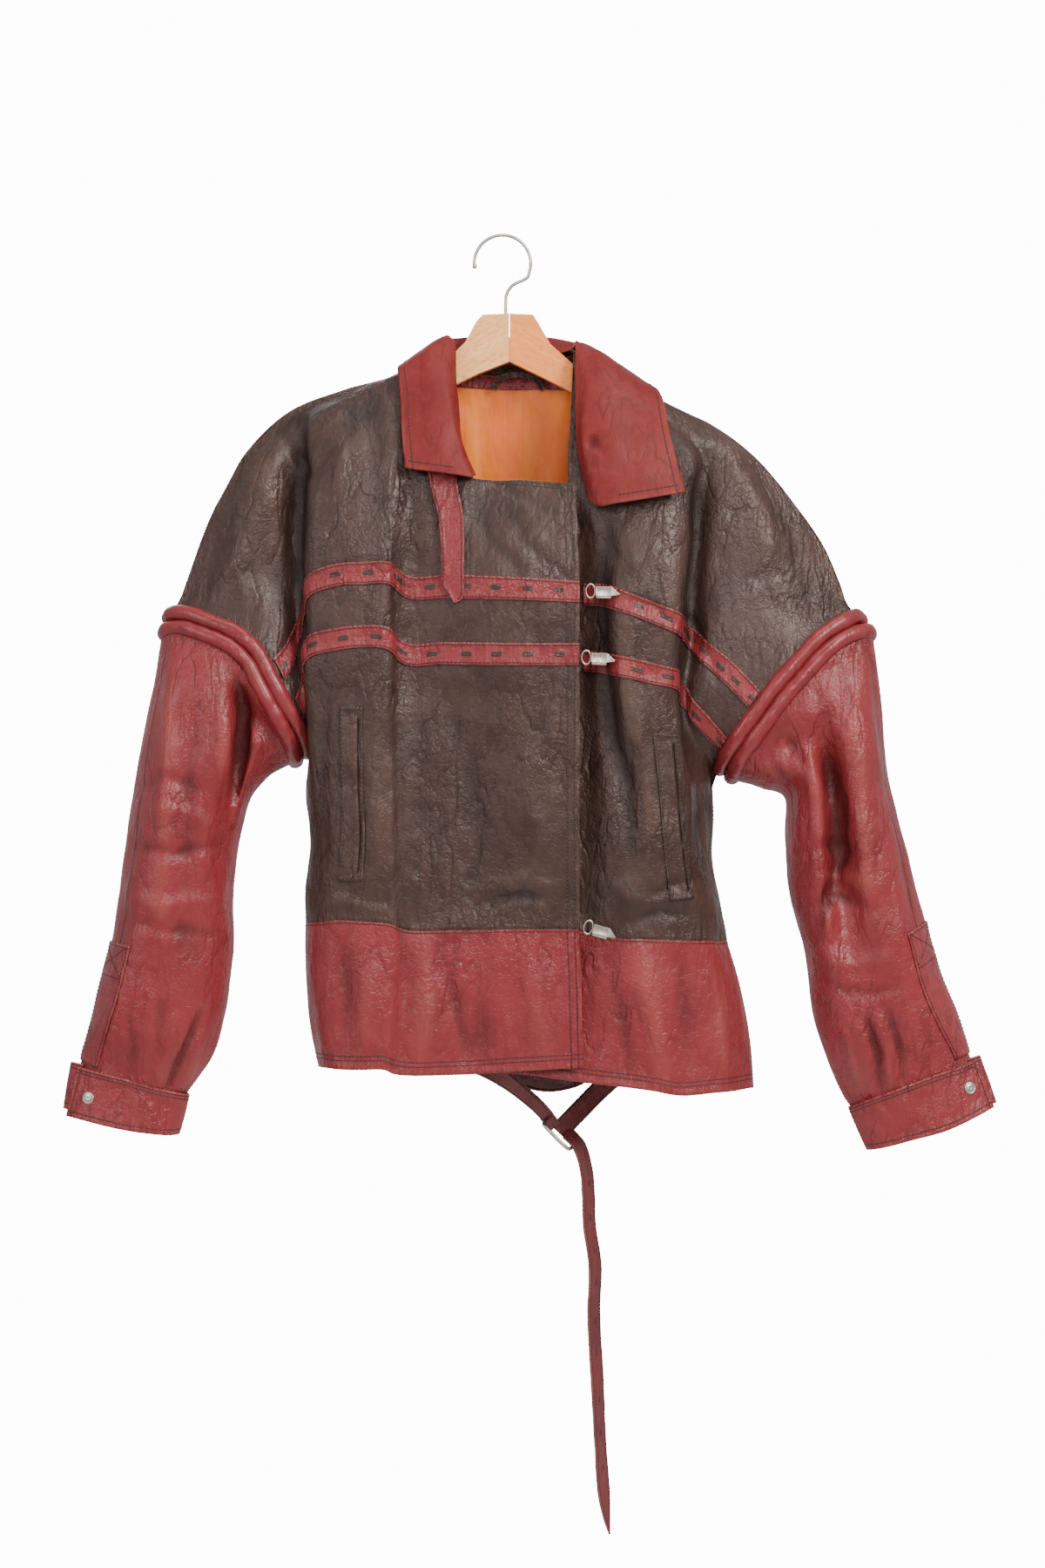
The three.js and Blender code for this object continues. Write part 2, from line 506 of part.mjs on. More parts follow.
// A round cord along a closed curve. `axis` is the line that the loop goes round.
function closedCord(curve, { radius, axis, stations, sides }) {
  const grid = [];
  for (let i = 0; i < stations; i++) {
    const centre = curve.getPoint(i / stations);
    const side = squareTo(curve, i / stations, axis);
    const over = curve.getTangent(i / stations).cross(side);
    grid.push(Array.from({ length: sides }, (_, k) => {
      const turn = (2 * Math.PI * k) / sides;
      return centre.clone()
        .addScaledVector(side, radius * Math.cos(turn))
        .addScaledVector(over, radius * Math.sin(turn));
    }));
  }
  return grid;
}

// The closed solid of a grid that joins up both ways
function solidRing(grid) {
  const rows = grid.length;
  const columns = grid[0].length;
  const position = grid.flat().flatMap((p) => [p.x, p.y, p.z]);
  const index = [];
  for (let i = 0; i < rows; i++) {
    for (let j = 0; j < columns; j++) {
      const a = i * columns + j;
      const b = i * columns + ((j + 1) % columns);
      const c = ((i + 1) % rows) * columns + ((j + 1) % columns);
      const d = ((i + 1) % rows) * columns + j;
      index.push(a, b, c, a, c, d);
    }
  }
  return facingOut(position, index);
}

// Two padded rolls round each armhole: [x, z, depth], from the shoulder down to the underarm.
// The back half follows the same line at a shallower depth.
const ROLL_STATIONS = 36;
const BACK_SHARE = 0.8;
const ROLLS = {
  roll_left_1: [[-306, -350, 0], [-301, -346, 13], [-286, -347, 26], [-266, -354, 34], [-242, -365, 40],
    [-226, -378, 42], [-215.8, -394.9, 43], [-206.7, -412.8, 43], [-198, -429, 42], [-188, -447, 35],
    [-181, -463, 21], [-180, -471, 8], [-180, -473, 0]],
  roll_left_2: [[-310, -364, 0], [-306, -360, 12.5], [-289.5, -360, 26], [-269, -367, 35], [-248, -377, 41],
    [-233, -390.5, 43], [-223.6, -408, 44], [-212.9, -427.5, 44], [-202.5, -446.7, 42], [-194.3, -463, 33],
    [-190.6, -474, 20], [-190.4, -479.6, 8], [-190.6, -480.8, 0]],
  roll_right_1: [[329, -353, 0], [324, -349, 13], [312, -354, 26], [291, -367, 36], [271, -388, 41],
    [251, -410, 43], [233, -434, 43], [217, -456, 39], [206, -473, 27], [201, -485, 10], [200, -488, 0]],
  roll_right_2: [[337, -365, 0], [334, -362.5, 12], [320, -365.5, 26], [298, -379, 37], [278, -400.3, 42],
    [258, -422.8, 44], [240.8, -446, 43], [225.6, -467, 38], [215.6, -483, 26], [211.7, -493.3, 10],
    [210.6, -496, 0]],
};
const LEFT_AXIS = point(0.69, 0, 0.72);
const RIGHT_AXIS = point(-0.69, 0, 0.72);
function roll(name, axis) {
  const front = ROLLS[name].map(([x, z, depth]) => point(x, -depth, z));
  const behind = ROLLS[name].slice(1, -1).reverse().map(([x, z, depth]) => point(x, depth * BACK_SHARE, z));
  const curve = closedCurve([...front, ...behind]);
  const cord = closedCord(curve, { radius: ROLL_RADIUS, axis, stations: ROLL_STATIONS, sides: ROLL_SIDES });
  add(name, solidRing(cord), red);
  return curve;
}
roll("roll_left_1", LEFT_AXIS);
const rollLeft = roll("roll_left_2", LEFT_AXIS);
roll("roll_right_1", RIGHT_AXIS);
const rollRight = roll("roll_right_2", RIGHT_AXIS);

// A sleeve ring from its front half: outer edge, five points across, inner edge
function sleeveRing(front) {
  const behind = front.slice(1, -1).reverse().map(([x, y, z]) => [x, -y * BACK_SHARE, z]);
  return [...front, ...behind];
}

// A sleeve: its first ring lies beside the lower roll, the others are given by their front halves
const SLEEVE_POINTS = 12;
const SLEEVE_START = ROLL_RADIUS + 1.5;
function sleeve(name, rollLine, axis, fronts) {
  const first = Array.from({ length: SLEEVE_POINTS }, (_, k) => {
    const s = k / SLEEVE_POINTS;
    const side = squareTo(rollLine, s, axis);
    return rollLine.getPoint(s).addScaledVector(side, -SLEEVE_START).toArray();
  });
  const cloth = tube([first, ...fronts.map(sleeveRing)], {
    columnSteps: [2, 2, 2, 2, 2, 2, 2, 2, 2, 2, 2, 2],
    rowSteps: [2, 2, 2, 2, 2, 2, 2, 2],
  });
  add(name, wall(cloth.grid(), { facing: null, wrap: true }), red);
  return cloth;
}
const sleeveLeft = sleeve("sleeve_left", rollLeft, LEFT_AXIS, [
  [[-318, 0, -400], [-300, -38, -402], [-272, -50, -406], [-246, -46, -416], [-234, -30, -438],
    [-222, -40, -466], [-208, 0, -491]],
  [[-328, 0, -445], [-308, -44, -450], [-280, -54, -455], [-250, -52, -458], [-238, -26, -468],
    [-230, -34, -486], [-218, 0, -499]],
  [[-338, 0, -505], [-318, -46, -510], [-292, -54, -514], [-262, -50, -516], [-248, -30, -518],
    [-240, -26, -522], [-233, 0, -522]],
  [[-350, 0, -582], [-328, -44, -584], [-302, -50, -586], [-276, -46, -587], [-258, -34, -588],
    [-250, -20, -589], [-246, 0, -590]],
  [[-359, 0, -646], [-338, -40, -650], [-312, -46, -654], [-286, -42, -656], [-264, -32, -658],
    [-252, -18, -660], [-247, 0, -661]],
  [[-370, 0, -690], [-350, -36, -696], [-324, -42, -700], [-298, -40, -702], [-274, -30, -705],
    [-260, -17, -707], [-253, 0, -708]],
  [[-379, 0, -728], [-362, -30, -734], [-338, -38, -740], [-312, -36, -745], [-288, -28, -750],
    [-274, -16, -752], [-266, 0, -752]],
  [[-386, 0, -755], [-370, -22, -762], [-348, -28, -768], [-326, -28, -774], [-304, -22, -779],
    [-292, -12, -782], [-286, 0, -782]],
]);
const sleeveRight = sleeve("sleeve_right", rollRight, RIGHT_AXIS, [
  [[346, 0, -408], [330, -36, -414], [304, -46, -426], [280, -46, -444], [262, -36, -468],
    [248, -36, -490], [238, 0, -507]],
  [[350, 0, -450], [334, -44, -456], [312, -50, -464], [294, -30, -474], [278, -46, -486],
    [266, -34, -500], [257, 0, -513]],
  [[356, 0, -505], [338, -46, -512], [318, -50, -520], [300, -28, -528], [286, -46, -536],
    [270, -34, -542], [259, 0, -548]],
  [[373, 0, -567], [352, -44, -576], [330, -48, -584], [308, -28, -590], [290, -44, -596],
    [274, -30, -600], [263, 0, -602]],
  [[388, 0, -628], [368, -42, -638], [344, -46, -644], [318, -34, -650], [298, -40, -654],
    [284, -24, -656], [277, 0, -657]],
  [[402, 0, -676], [382, -38, -688], [358, -42, -696], [332, -38, -703], [308, -34, -708],
    [292, -20, -710], [284, 0, -710]],
  [[416, 0, -714], [398, -32, -724], [376, -36, -734], [352, -36, -744], [326, -30, -752],
    [306, -17, -757], [298, 0, -757]],
  [[428, 0, -749], [414, -22, -755], [394, -28, -764], [372, -28, -774], [348, -22, -785],
    [328, -12, -792], [318, 0, -796]],
]);

// Cuffs: a strip that starts at the snap, runs round the front and back, and ends tucked behind itself.
// Each station is [depth, top x, top z, bottom x, bottom z].
function cuff(name, stations) {
  const rows = [0, 1].map((edge) => stations.map((s) => [s[1 + 2 * edge], s[0], s[2 + 2 * edge]]));
  const cloth = new Cloth(rows, { columnSteps: stations.slice(1).map(() => 2), rowSteps: [2] });
  add(name, wall(cloth.grid(), { facing: null }), red);
  return cloth;
}
const cuffLeft = cuff("cuff_left", [
  [-17, -389, -761, -399, -806], [-25, -376, -764, -386, -809], [-31, -346, -771, -352, -817],
  [-28, -316, -780, -322, -822], [-18, -296, -785, -304, -824], [-4, -287, -787, -296, -823],
  [12, -294, -785, -302, -820], [22, -318, -779, -325, -816], [25, -350, -771, -356, -811],
  [20, -384, -763, -390, -806], [7, -396, -758, -403, -801], [-8, -394, -757, -401, -800],
  [-12, -384, -759, -391, -802],
]);
const cuffRight = cuff("cuff_right", [
  [-17, 434, -754, 450, -798], [-25, 422, -759, 438, -804], [-31, 392, -769, 408, -818],
  [-28, 358, -782, 374, -828], [-18, 330, -793, 346, -836], [-4, 317, -799, 334, -838],
  [12, 326, -795, 342, -834], [22, 356, -782, 371, -824], [25, 392, -769, 406, -812],
  [20, 424, -758, 438, -802], [7, 438, -752, 453, -796], [-8, 436, -751, 452, -795],
  [-12, 426, -754, 440, -798],
]);

// Placket straps: the strip of the sleeve beside its outer edge, moved out
function placket(name, cloth) {
  const grid = cloth.patch([1, 2], [5, 8]);
  add(name, wall(grid, { facing: FORWARD, lift: SEAM_GAP + STRAP_LEATHER, thickness: STRAP_LEATHER }), red);
}
placket("placket_left", sleeveLeft);
placket("placket_right", sleeveRight);

// Slotted bands: strips of the fronts, moved out. Each is [panel, columns, rows]; the right front's
// start clear of the lap.
const BANDS = {
  band_left_upper: [frontLeft, [0, 10], [10, 11]],
  band_left_lower: [frontLeft, [0, 10], [12, 13]],
  band_right_upper: [frontRight, [1, 10], [8, 9]],
  band_right_lower: [frontRight, [1, 10], [10, 11]],
};
for (const [name, [panel, columns, rows]] of Object.entries(BANDS)) {
  const grid = panel.patch(columns, rows);
  add(name, wall(grid, { lift: SEAM_GAP + STRAP_LEATHER, thickness: STRAP_LEATHER }), red);
}

// Pocket welts between the two welt lines of each front
add("welt_left", wall(frontLeft.patch([5, 6], [14, 17]), { lift: SEAM_GAP + LEATHER }), taupe);
add("welt_right", wall(frontRight.patch([4, 5], [12, 15]), { lift: SEAM_GAP + LEATHER }), taupe);

// Throat tab: its outline as seen, laid on the front and over the upper band
const TAB_LIFT = 4.2;
const TAB = [
  [[-68, -217], [-55, -217], [-43, -217]],
  [[-64, -236], [-51, -238], [-39, -240]],
  [[-58, -258], [-46, -259], [-35, -260]],
  [[-55, -285], [-44, -285], [-34, -285]],
  [[-54, -312], [-44, -313], [-34, -314]],
  [[-54, -321], [-44, -326], [-34, -332]],
  [[-43, -338], [-42, -338.5], [-41, -338]],
];
const tabGrid = TAB.map((row) => row.map(([x, z]) => frontLeft.at(...frontLeft.placeOf(x, z))));
add("throat_tab", wall(tabGrid, { lift: TAB_LIFT, thickness: STRAP_LEATHER }), red);

// Collar: from the neck seam up the stand, over the crest and down the fall to the outer edge.
// Stations run from the viewer's left point round the back of the neck to the right point.
const COLLAR = [
  [[-24, -50, -222], [-25, -56, -222.5], [-27, -63, -224], [-36, -67, -223], [-60, -68, -220],
    [-88, -65, -216]],
  [[-37, -38, -186], [-38, -46, -183], [-42, -54, -180], [-52, -57, -181], [-72, -56, -184],
    [-91, -52, -186]],
  [[-41, -24, -142], [-44, -34, -140], [-49, -40, -138], [-58, -43, -140], [-76, -41, -145],
    [-93, -38, -150]],
  [[-43, -7, -96], [-46, -9, -94], [-51, -10, -92], [-60, -14, -95], [-78, -16, -107],
    [-95, -17, -120]],
  [[-45, 3, -97], [-47, 4, -93], [-50, 4, -90], [-57, 5, -93], [-75, 7, -105], [-92, 9, -119]],
  [[-45, 12, -101], [-46, 14, -96], [-47, 18, -91], [-53, 23, -95], [-66, 30, -110], [-82, 33, -127]],
  [[-24, 21, -107], [-24, 23, -101], [-24, 26, -90], [-26, 33, -94], [-31, 41, -116], [-36, 45, -142]],
  [[10, 24, -109], [10, 25, -102], [10, 30, -90], [10, 37, -94], [10, 45, -117], [10, 49, -146]],
  [[44, 21, -107], [44, 23, -101], [44, 27, -91], [47, 34, -95], [53, 42, -117], [60, 45, -144]],
  [[65, 12, -101], [67, 14, -99], [69, 18, -96], [78, 23, -99], [98, 28, -116], [122, 31, -139]],
  [[67, 3, -99], [70, 3, -98], [74, 3, -98], [83, 4, -101], [108, 6, -117], [138, 8, -138]],
  [[67, -8, -96], [71, -10, -98], [76, -11, -102], [86, -15, -105], [112, -17, -121],
    [144, -17, -143]],
  [[66, -36, -148], [71, -40, -145], [77, -44, -143], [88, -48, -147], [118, -49, -162],
    [152, -46, -182]],
  [[68, -47, -204], [70, -53, -200], [74, -58, -196], [86, -61, -198], [120, -62, -206],
    [160, -59, -214]],
  [[77, -53, -240], [81, -60, -247], [88, -67, -251], [100, -70, -249], [132, -71, -244],
    [166, -67, -238]],
];
const collar = new Cloth(COLLAR, {
  columnSteps: [1, 2, 2, 2, 2],
  rowSteps: [2, 2, 2, 1, 1, 2, 2, 2, 2, 1, 1, 2, 2, 2],
});
add("collar", wall(collar.grid(), { facing: point(0, -1, 1), thickness: LEATHER }), collarRed);

// Inside the neck: the facing strip, the hanging loop and as much of the lining as shows
const LINING_LIFT = -(LEATHER + 0.5);
const FACING_LIFT = LINING_LIFT - LINING - 0.5;
add("lining_back", wall(back.patch([2, 8], [1, 5]), {
  facing: BACKWARD, lift: LINING_LIFT, thickness: LINING,
}), satin);
add("neck_facing", wall(back.patch([3, 7], [1, 1.5]), {
  facing: BACKWARD, lift: FACING_LIFT, thickness: STRAP_LEATHER,
}), red);
const LOOP_WIDTH = 5;
const LOOP_DEPTH = 19;
const loopLine = new THREE.CatmullRomCurve3([
  point(-8, LOOP_DEPTH, -139), point(-4, LOOP_DEPTH - 3, -130), point(14, LOOP_DEPTH - 5, -125),
  point(32, LOOP_DEPTH - 3, -130), point(38, LOOP_DEPTH, -139),
]);
const loopGrid = loopLine.getPoints(10).map((p, i) => {
  const along = loopLine.getTangent(i / 10);
  const across = point(along.z, 0, -along.x).normalize().multiplyScalar(LOOP_WIDTH / 2);
  return [p.clone().sub(across), p.clone().add(across)];
});
add("hang_loop", wall(loopGrid, { thickness: STRAP_LEATHER }), taupe);

// Snap caps on the cuffs
// Half of a cap's section: [distance from its middle, height]
const SNAP_PROFILE = [[0, 0], [5.6, 0], [5.6, 0.7], [4.8, 1.5], [2.6, 2], [0, 2.1]];
const SNAP_SIDES = 16;
function snap(name, cloth, x, z) {
  const cap = new THREE.LatheGeometry(SNAP_PROFILE.map(([r, h]) => new THREE.Vector2(r, h)), SNAP_SIDES);
  const mesh = add(name, cap, nickel);
  const place = cloth.placeOf(x, z);
  const outward = cloth.outwardAt(...place);
  mesh.quaternion.setFromUnitVectors(point(0, 1, 0), outward);
  mesh.position.copy(cloth.at(...place)).addScaledVector(outward, 2 * SEAM_GAP);
}
snap("snap_left", cuffLeft, -378, -789);
snap("snap_right", cuffRight, 427, -780);

// Clasps: a wire ring beside the lap's edge and a folded, pointed metal body
const CLASP_RING_RADIUS = 5;
const CLASP_WIRE_RADIUS = 1;
const CLASP_WIRE_SIDES = 5;
const CLASP_RING_SIDES = 14;
const CLASP_RING_STRETCH = [0.8, 1.25, 1];
const CLASP_OUTLINE = [[5.4, -4.5], [20, -4.5], [29, -1], [20, 4.5], [5.4, 4.5]];
const CLASP_BEVEL = { bevelEnabled: true, bevelSize: 0.5, bevelThickness: 0.5, bevelSegments: 1 };
const CLASP_BODY_DEPTH = 2.4;
function clasp(number, x, z, depth, tilt) {
  const ring = new THREE.TorusGeometry(CLASP_RING_RADIUS, CLASP_WIRE_RADIUS, CLASP_WIRE_SIDES,
    CLASP_RING_SIDES);
  ring.scale(...CLASP_RING_STRETCH).rotateX(Math.PI / 2);
  const outline = new THREE.Shape(CLASP_OUTLINE.map(([a, b]) => new THREE.Vector2(a, b)));
  const body = new THREE.ExtrudeGeometry(outline, { depth: CLASP_BODY_DEPTH, ...CLASP_BEVEL });
  body.rotateX(Math.PI / 2);
  const group = new THREE.Group();
  group.position.set(x, depth, z);
  group.rotation.y = tilt;
  group.add(add(`clasp_ring_${number}`, ring, nickel));
  group.add(add(`clasp_body_${number}`, body, nickel));
  jacket.add(group);
}
clasp(1, 80, -328, -72, 0.02);
clasp(2, 76, -388, -72, 0.03);
clasp(3, 78, -632, -65, 0.26);

// Belt: flat strap lengths. Each station is the strap's middle and half of its width as a vector.
function strapPiece(name, stations) {
  const rows = stations.map(([centre, half]) => [-1, 0, 1].map((k) => centre.map((c, i) => c + k * half[i])));
  const cloth = new Cloth(rows, { columnSteps: [1, 1], rowSteps: stations.slice(1).map(() => 2) });
  add(name, wall(cloth.grid(), { thickness: BELT_LEATHER }), red);
}
strapPiece("belt_left", [
  [[-62, 48, -690], [0, 1, 9]], [[-80, 49, -696], [-6, 1, 6]], [[-90, 50, -714], [-9, 1, 0]],
  [[-82, 50, -734], [-6, 1, -7]], [[-54, 48, -750], [-4, 2, -9]], [[-10, 46, -769], [-4, 4, -8]],
  [[18, 40, -789], [-4, 7, -5]], [[37, 29, -806], [-1.5, 9.5, -1.5]],
]);
strapPiece("belt_slack", [
  [[-55, 48, -690], [0, 1, 9]], [[-36, 52, -700], [6, 2, 6]], [[-16, 57, -736], [7, 3, 5]],
  [[2, 60, -766], [4, 7, 5]], [[38, 60, -781], [0, 8, 6]], [[78, 58, -770], [-3, 7, 6]],
  [[98, 54, -732], [-8, 2, 5]], [[104, 51, -704], [-8, 1, 5]], [[117, 48, -690], [0, 1, 9]],
]);
strapPiece("belt_right", [
  [[127, 48, -690], [0, 1, 9]], [[144, 49, -697], [6, 1, 6]], [[152, 50, -716], [9, 1, 0]],
  [[142, 51, -740], [8, 1, -5]], [[116, 52, -764], [6, 2, -7]], [[94, 48, -783], [6.5, 3, -6.5]],
  [[72, 36, -804], [6.5, 3, -6.5]], [[57, 27, -819], [6.5, 2, -6.5]],
]);
strapPiece("belt_tail", [
  [[61, 26, -826], [5, 5, -5]], [[71, 24, -834], [5, 8, -2]], [[77, 22, -853], [5.5, 8.4, 0]],
  [[80, 22, -880], [5.5, 8.4, 0]], [[81, 24, -910], [5.5, 8.4, 0]], [[86, 24, -945], [5.5, 8.4, 0]],
  [[85, 22, -990], [5.5, 8.4, 0]], [[88, 22, -1050], [5.5, 8.4, 0]], [[91, 22, -1110], [5, 8.6, 0]],
  [[95, 22, -1165], [4.6, 7, 0]], [[99, 22, -1195], [0.6, 0.8, 0]],
]);

// Buckle: a plain rounded frame, seen nearly edge on
const BUCKLE_HEIGHT = 34;
const BUCKLE_DEPTH = 30;
const BUCKLE_WIRE = 1.4;
const BUCKLE_CORNER = 6;
const BUCKLE_PLACE = [52, 27, -825];
const buckleLine = [];
for (let corner = 0; corner < 4; corner++) {
  for (let k = 0; k <= 2; k++) {
    const turn = ((corner + k / 2) * Math.PI) / 2;
    const centre = [1, -1, -1, 1][corner] * (BUCKLE_HEIGHT / 2 - BUCKLE_CORNER);
    const depth = [1, 1, -1, -1][corner] * (BUCKLE_DEPTH / 2 - BUCKLE_CORNER);
    const along = centre + BUCKLE_CORNER * Math.cos(turn);
    const across = depth + BUCKLE_CORNER * Math.sin(turn);
    buckleLine.push(point(along, across, 0));
  }
}
const buckleCord = closedCord(closedCurve(buckleLine), {
  radius: BUCKLE_WIRE, axis: point(0, 0, 1), stations: 24, sides: 6,
});
const buckle = add("belt_buckle", solidRing(buckleCord), nickel);
buckle.rotation.y = Math.PI / 4;
buckle.position.set(...BUCKLE_PLACE);

// Belt loops on the outside of the back hem: [depth, height] along the loop's middle line
const BELT_LOOP_LINE = [[41, 18], [54, 13], [56, 0], [54, -13], [41, -18]];
const BELT_LOOP_HALF_WIDTH = 4;
const BELT_LOOP_STEPS = 8;
function beltLoop(name, x, z) {
  const points = BELT_LOOP_LINE.map(([depth, height]) => point(x, depth, z + height));
  const line = new THREE.CatmullRomCurve3(points);
  const grid = line.getPoints(BELT_LOOP_STEPS).map((p) =>
    [-BELT_LOOP_HALF_WIDTH, BELT_LOOP_HALF_WIDTH].map((half) => point(p.x + half, p.y, p.z)));
  add(name, wall(grid, { facing: BACKWARD, thickness: STRAP_LEATHER }), red);
}
beltLoop("belt_loop_left", -60, -690);
beltLoop("belt_loop_right", 122, -690);

// Hanger: two beech halves mitred at the middle, and the wire hook
function hangerHalf(name, outline) {
  const shape = new THREE.Shape(outline.map(([x, z]) => new THREE.Vector2(x, z)));
  const half = new THREE.ExtrudeGeometry(shape, {
    depth: WOOD_THICKNESS - 2 * WOOD_EDGE, bevelEnabled: true, bevelSize: WOOD_EDGE, bevelOffset: -WOOD_EDGE,
    bevelThickness: WOOD_EDGE, bevelSegments: 2,
  });
  half.rotateX(Math.PI / 2).translate(0, WOOD_THICKNESS / 2 - WOOD_EDGE, 0);
  add(name, half, beech);
}
hangerHalf("hanger_left", [
  [6.2, -71], [-18, -72], [-24, -78], [-34, -97], [-51, -114], [-110, -141], [-188, -172], [-198, -181],
  [-191, -191], [-110, -165], [-51, -140], [-22, -126], [6.2, -115],
]);
hangerHalf("hanger_right", [
  [6.6, -71], [28, -72], [32, -78], [44, -99], [80, -131], [130, -157], [194, -190], [200, -200],
  [190, -207], [130, -180], [79, -151], [40, -131], [6.6, -115],
]);
// The hook's arch is a little over half of a circle, whose top just clears the origin
const HOOK_TIP_TURN = 1.06 * Math.PI;
const HOOK_SWEEP = 1.24 * Math.PI;
const HOOK_STEPS = 14;
const hookPoints = [];
for (let k = 0; k <= HOOK_STEPS; k++) {
  const turn = HOOK_TIP_TURN - (k / HOOK_STEPS) * HOOK_SWEEP;
  const height = HOOK_RADIUS * (Math.sin(turn) - 1) + HOOK_WIRE / 2;
  hookPoints.push(point(HOOK_RADIUS * Math.cos(turn), 0, height));
}
hookPoints.push(point(10, 0, -44), point(4, 0, -52), point(3, 0, -60), point(3, 0, -70.4));
const hookCircle = new THREE.Shape().absarc(0, 0, HOOK_WIRE / 2, 0, 2 * Math.PI);
add("hanger_hook", new THREE.ExtrudeGeometry(hookCircle, {
  extrudePath: new THREE.CatmullRomCurve3(hookPoints), steps: 32, curveSegments: 3,
}), nickel);

export default jacket;
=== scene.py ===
"""A two-tone leather jacket on a beech hanger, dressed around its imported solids.

Lengths in the tables are millimetres, as a maker would write them. Blender's own are metres.
X runs to the viewer's right, Z up, and the viewer looks along +Y.
"""
import copy
import functools
import math

import bmesh
import bpy
import numpy as np
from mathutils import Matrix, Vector, noise


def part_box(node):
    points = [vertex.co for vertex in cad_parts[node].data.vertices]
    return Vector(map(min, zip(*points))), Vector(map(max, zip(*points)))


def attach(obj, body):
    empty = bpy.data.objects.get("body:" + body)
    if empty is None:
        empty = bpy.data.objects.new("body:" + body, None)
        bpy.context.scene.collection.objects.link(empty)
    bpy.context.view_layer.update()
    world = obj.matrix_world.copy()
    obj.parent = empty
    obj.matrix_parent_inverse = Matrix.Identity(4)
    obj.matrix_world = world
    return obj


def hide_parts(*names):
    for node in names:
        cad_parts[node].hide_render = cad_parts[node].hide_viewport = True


bl_info = {
    "name": "Leather jacket on a hanger",
    "version": (1, 0, 0),
    "blender": (4, 5, 0),
    "location": "3D View > Sidebar > Jacket",
    "description": "Makes a worn two-tone leather jacket with its belt, hung on a wooden hanger",
    "category": "Add Mesh",
}

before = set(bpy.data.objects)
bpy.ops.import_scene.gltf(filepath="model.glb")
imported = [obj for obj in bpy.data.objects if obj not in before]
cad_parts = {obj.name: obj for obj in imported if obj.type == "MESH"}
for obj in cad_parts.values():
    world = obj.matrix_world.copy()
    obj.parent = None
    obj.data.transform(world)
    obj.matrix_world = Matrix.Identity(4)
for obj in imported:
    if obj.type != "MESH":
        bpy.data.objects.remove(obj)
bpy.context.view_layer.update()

MM = 0.001
LEATHER = 1.6 * MM
STRAP_LEATHER = 1.2 * MM
BELT_LEATHER = 2.0 * MM
LINING = 1.0 * MM
SEAM_GAP = 0.3 * MM
ROLL_RADIUS = 6.2 * MM
BACK_SHARE = 0.8
HOOK_WIRE = 3.2 * MM
STITCH_LENGTH = 2.8 * MM
STITCH_PITCH = 3.8 * MM
STITCH_RADIUS = 0.40 * MM
# The dark strip along a seam: painted shade for the groove that the stitching presses in
GROOVE_SHADE_WIDTH = 1.0 * MM
GROOVE_SHADE_HEIGHT = 0.10 * MM
RIM_REACH = 9 * MM
SEAM_ALLOWANCE = 6 * MM
UNDER_REACH = 19 * MM
STRAP_DOME = 0.5 * MM
SMOOTH_ANGLE = math.radians(35)

# Control nets, in millimetres. Rows run down the garment. Each holds x, y, z of its points across it,
# one after the other, and a y of 0 at the side of a front or the back means the seam plane.

